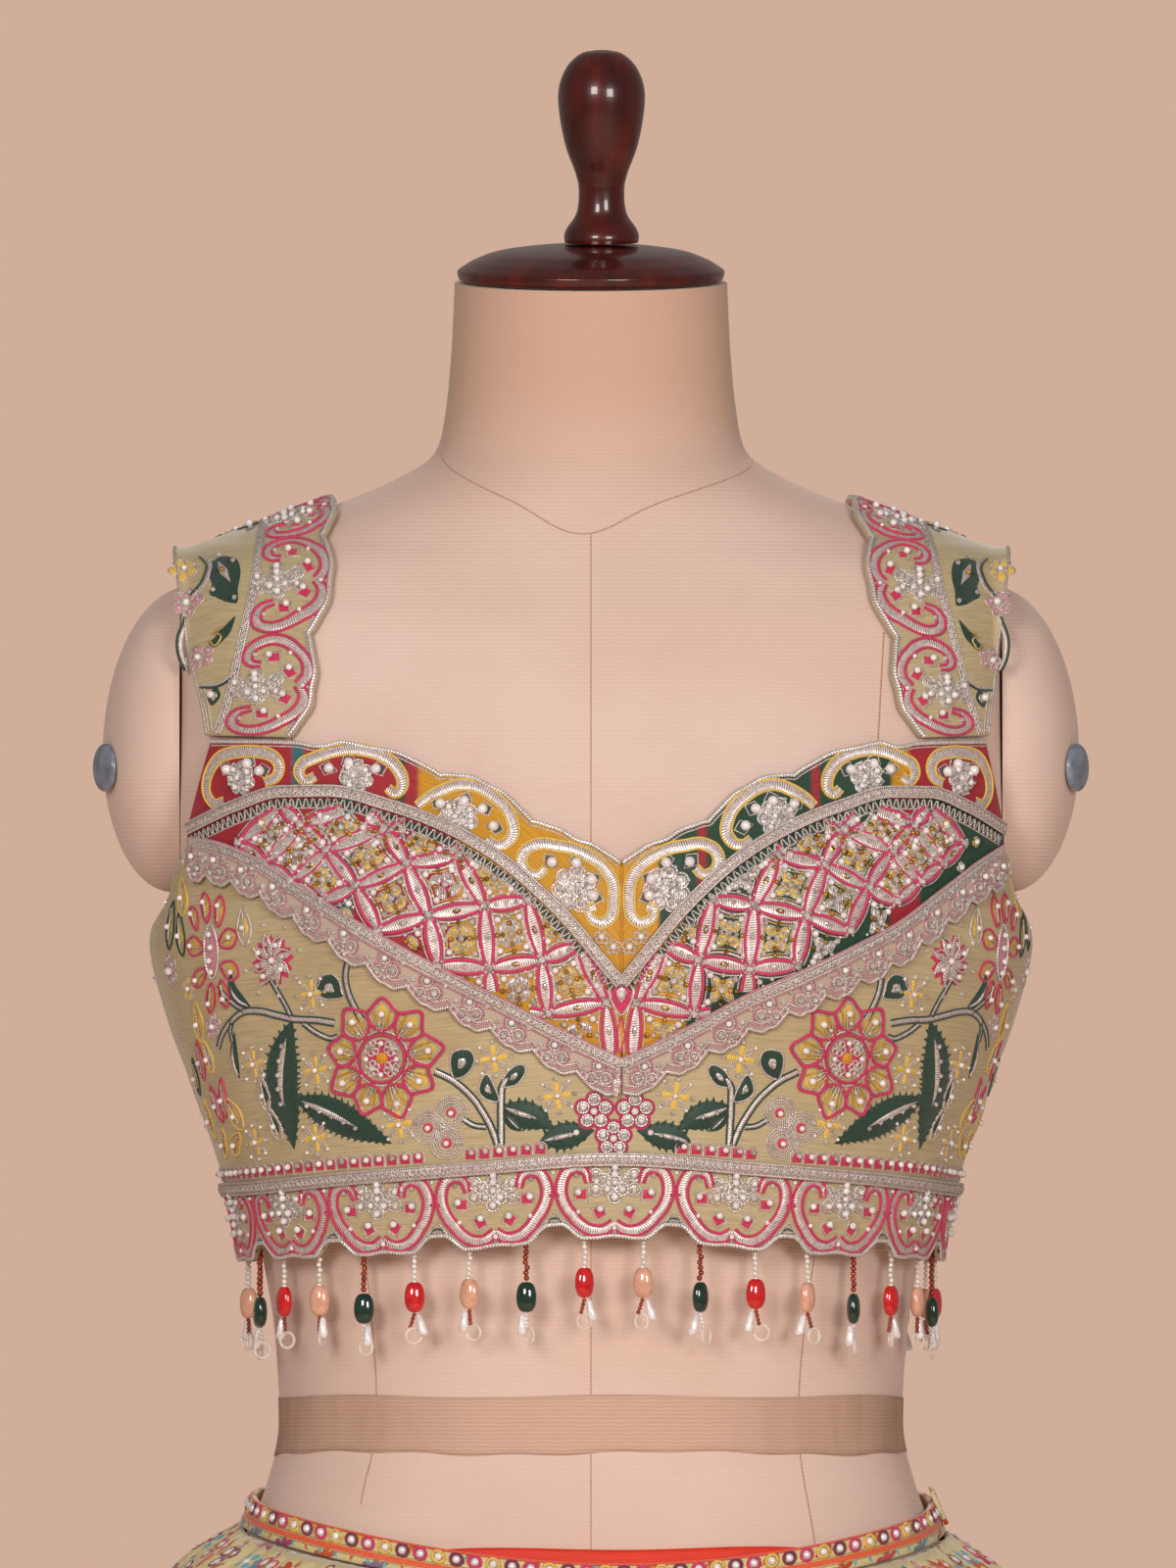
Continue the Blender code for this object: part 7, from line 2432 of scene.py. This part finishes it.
def soft_light(name, place, wide, watts, mirrored=True):
    """A square soft box that faces the choli; one that isn't mirrored leaves no bright image."""
    choli = Vector((0, 0, 1.3))
    lamp = bpy.data.lights.new(name, "AREA")
    lamp.shape, lamp.size, lamp.energy, lamp.color = "SQUARE", wide, watts, linear("#FFFAF6")[:3]
    light = bpy.data.objects.new(name, lamp)
    light.location, light.visible_glossy = place, mirrored
    light.rotation_euler = (choli - Vector(place)).to_track_quat("-Z", "Y").to_euler()
    bpy.context.scene.collection.objects.link(light)


def make_lights():
    """Two soft boxes in front, the left a little stronger, one behind, and a warm plain backdrop.

    The pieces get a weak, greyer light from all round, so that their edges turn darker.
    """
    soft_light("left_softbox", (-1.3, -3.7, 2.25), 1.1, 66)
    soft_light("right_softbox", (1.5, -3.6, 1.9), 1.1, 60)
    soft_light("back_softbox", (0.0, 3.4, 3.2), 1.4, 80, mirrored=False)
    world = bpy.data.worlds.new("warm_studio")
    bpy.context.scene.world = world
    world.use_nodes = True
    tree = world.node_tree
    around = tree.nodes["Background"]
    around.inputs["Color"].default_value = linear("#E9DCD4")
    around.inputs["Strength"].default_value = 0.30
    backdrop = node(tree, "ShaderNodeBackground", {"Color": linear("#D1AE9A"), "Strength": 1.0})
    seen = node(tree, "ShaderNodeLightPath").outputs["Is Camera Ray"]
    inputs = {0: seen, 1: around.outputs[0], 2: backdrop.outputs[0]}
    both = node(tree, "ShaderNodeMixShader", inputs)
    tree.links.new(both.outputs[0], tree.nodes["World Output"].inputs["Surface"])


def make_camera():
    """A long lens from 12 m off at waist height, for a picture 0.592 m tall, as parallel edges show."""
    seen, away = 0.592, 12.0
    eye, aim = Vector((-0.0011, -away, 1.07)), Vector((-0.0011, 0.0, 1.3212))
    lens = bpy.data.cameras.new("camera")
    lens.sensor_fit, lens.sensor_height, lens.sensor_width = "VERTICAL", 36.0, 27.0
    lens.lens, lens.clip_end = 36.0 * away / seen, 60.0
    camera = bpy.data.objects.new("camera", lens)
    camera.location = eye
    camera.rotation_euler = (aim - eye).to_track_quat("-Z", "Y").to_euler()
    bpy.context.scene.collection.objects.link(camera)
    bpy.context.scene.camera = camera
    bpy.context.scene.view_settings.view_transform = "Standard"


def main():
    """Makes the room, the form, the clothes and what is sewn on them."""
    make_camera()
    make_floor()
    make_lights()
    make_form()
    for side, word in ((1, "left"), (-1, "right")):
        make_neckline(side, word)
        make_trims(side, word)
        make_back(side, word)
        make_strap(side, word)
    make_front()
    make_hem_borders()
    make_fringe()
    make_waistband()
    make_skirt()
    for side in (1, -1):
        embroider_neckline(side)
        embroider_cup(side)
        embroider_lace(side)
        embroider_strap(side)
        embroider_front(side)
        embroider_back(side)
    for side in (-1, 1):
        embroider_cup_corner(side)
    embroider_cleavage()
    embroider_pendant()
    embroider_hem()
    embroider_waistband()
    embroider_skirt()
    sew_cords()
    sew_beads()
    sew_patches()


main()
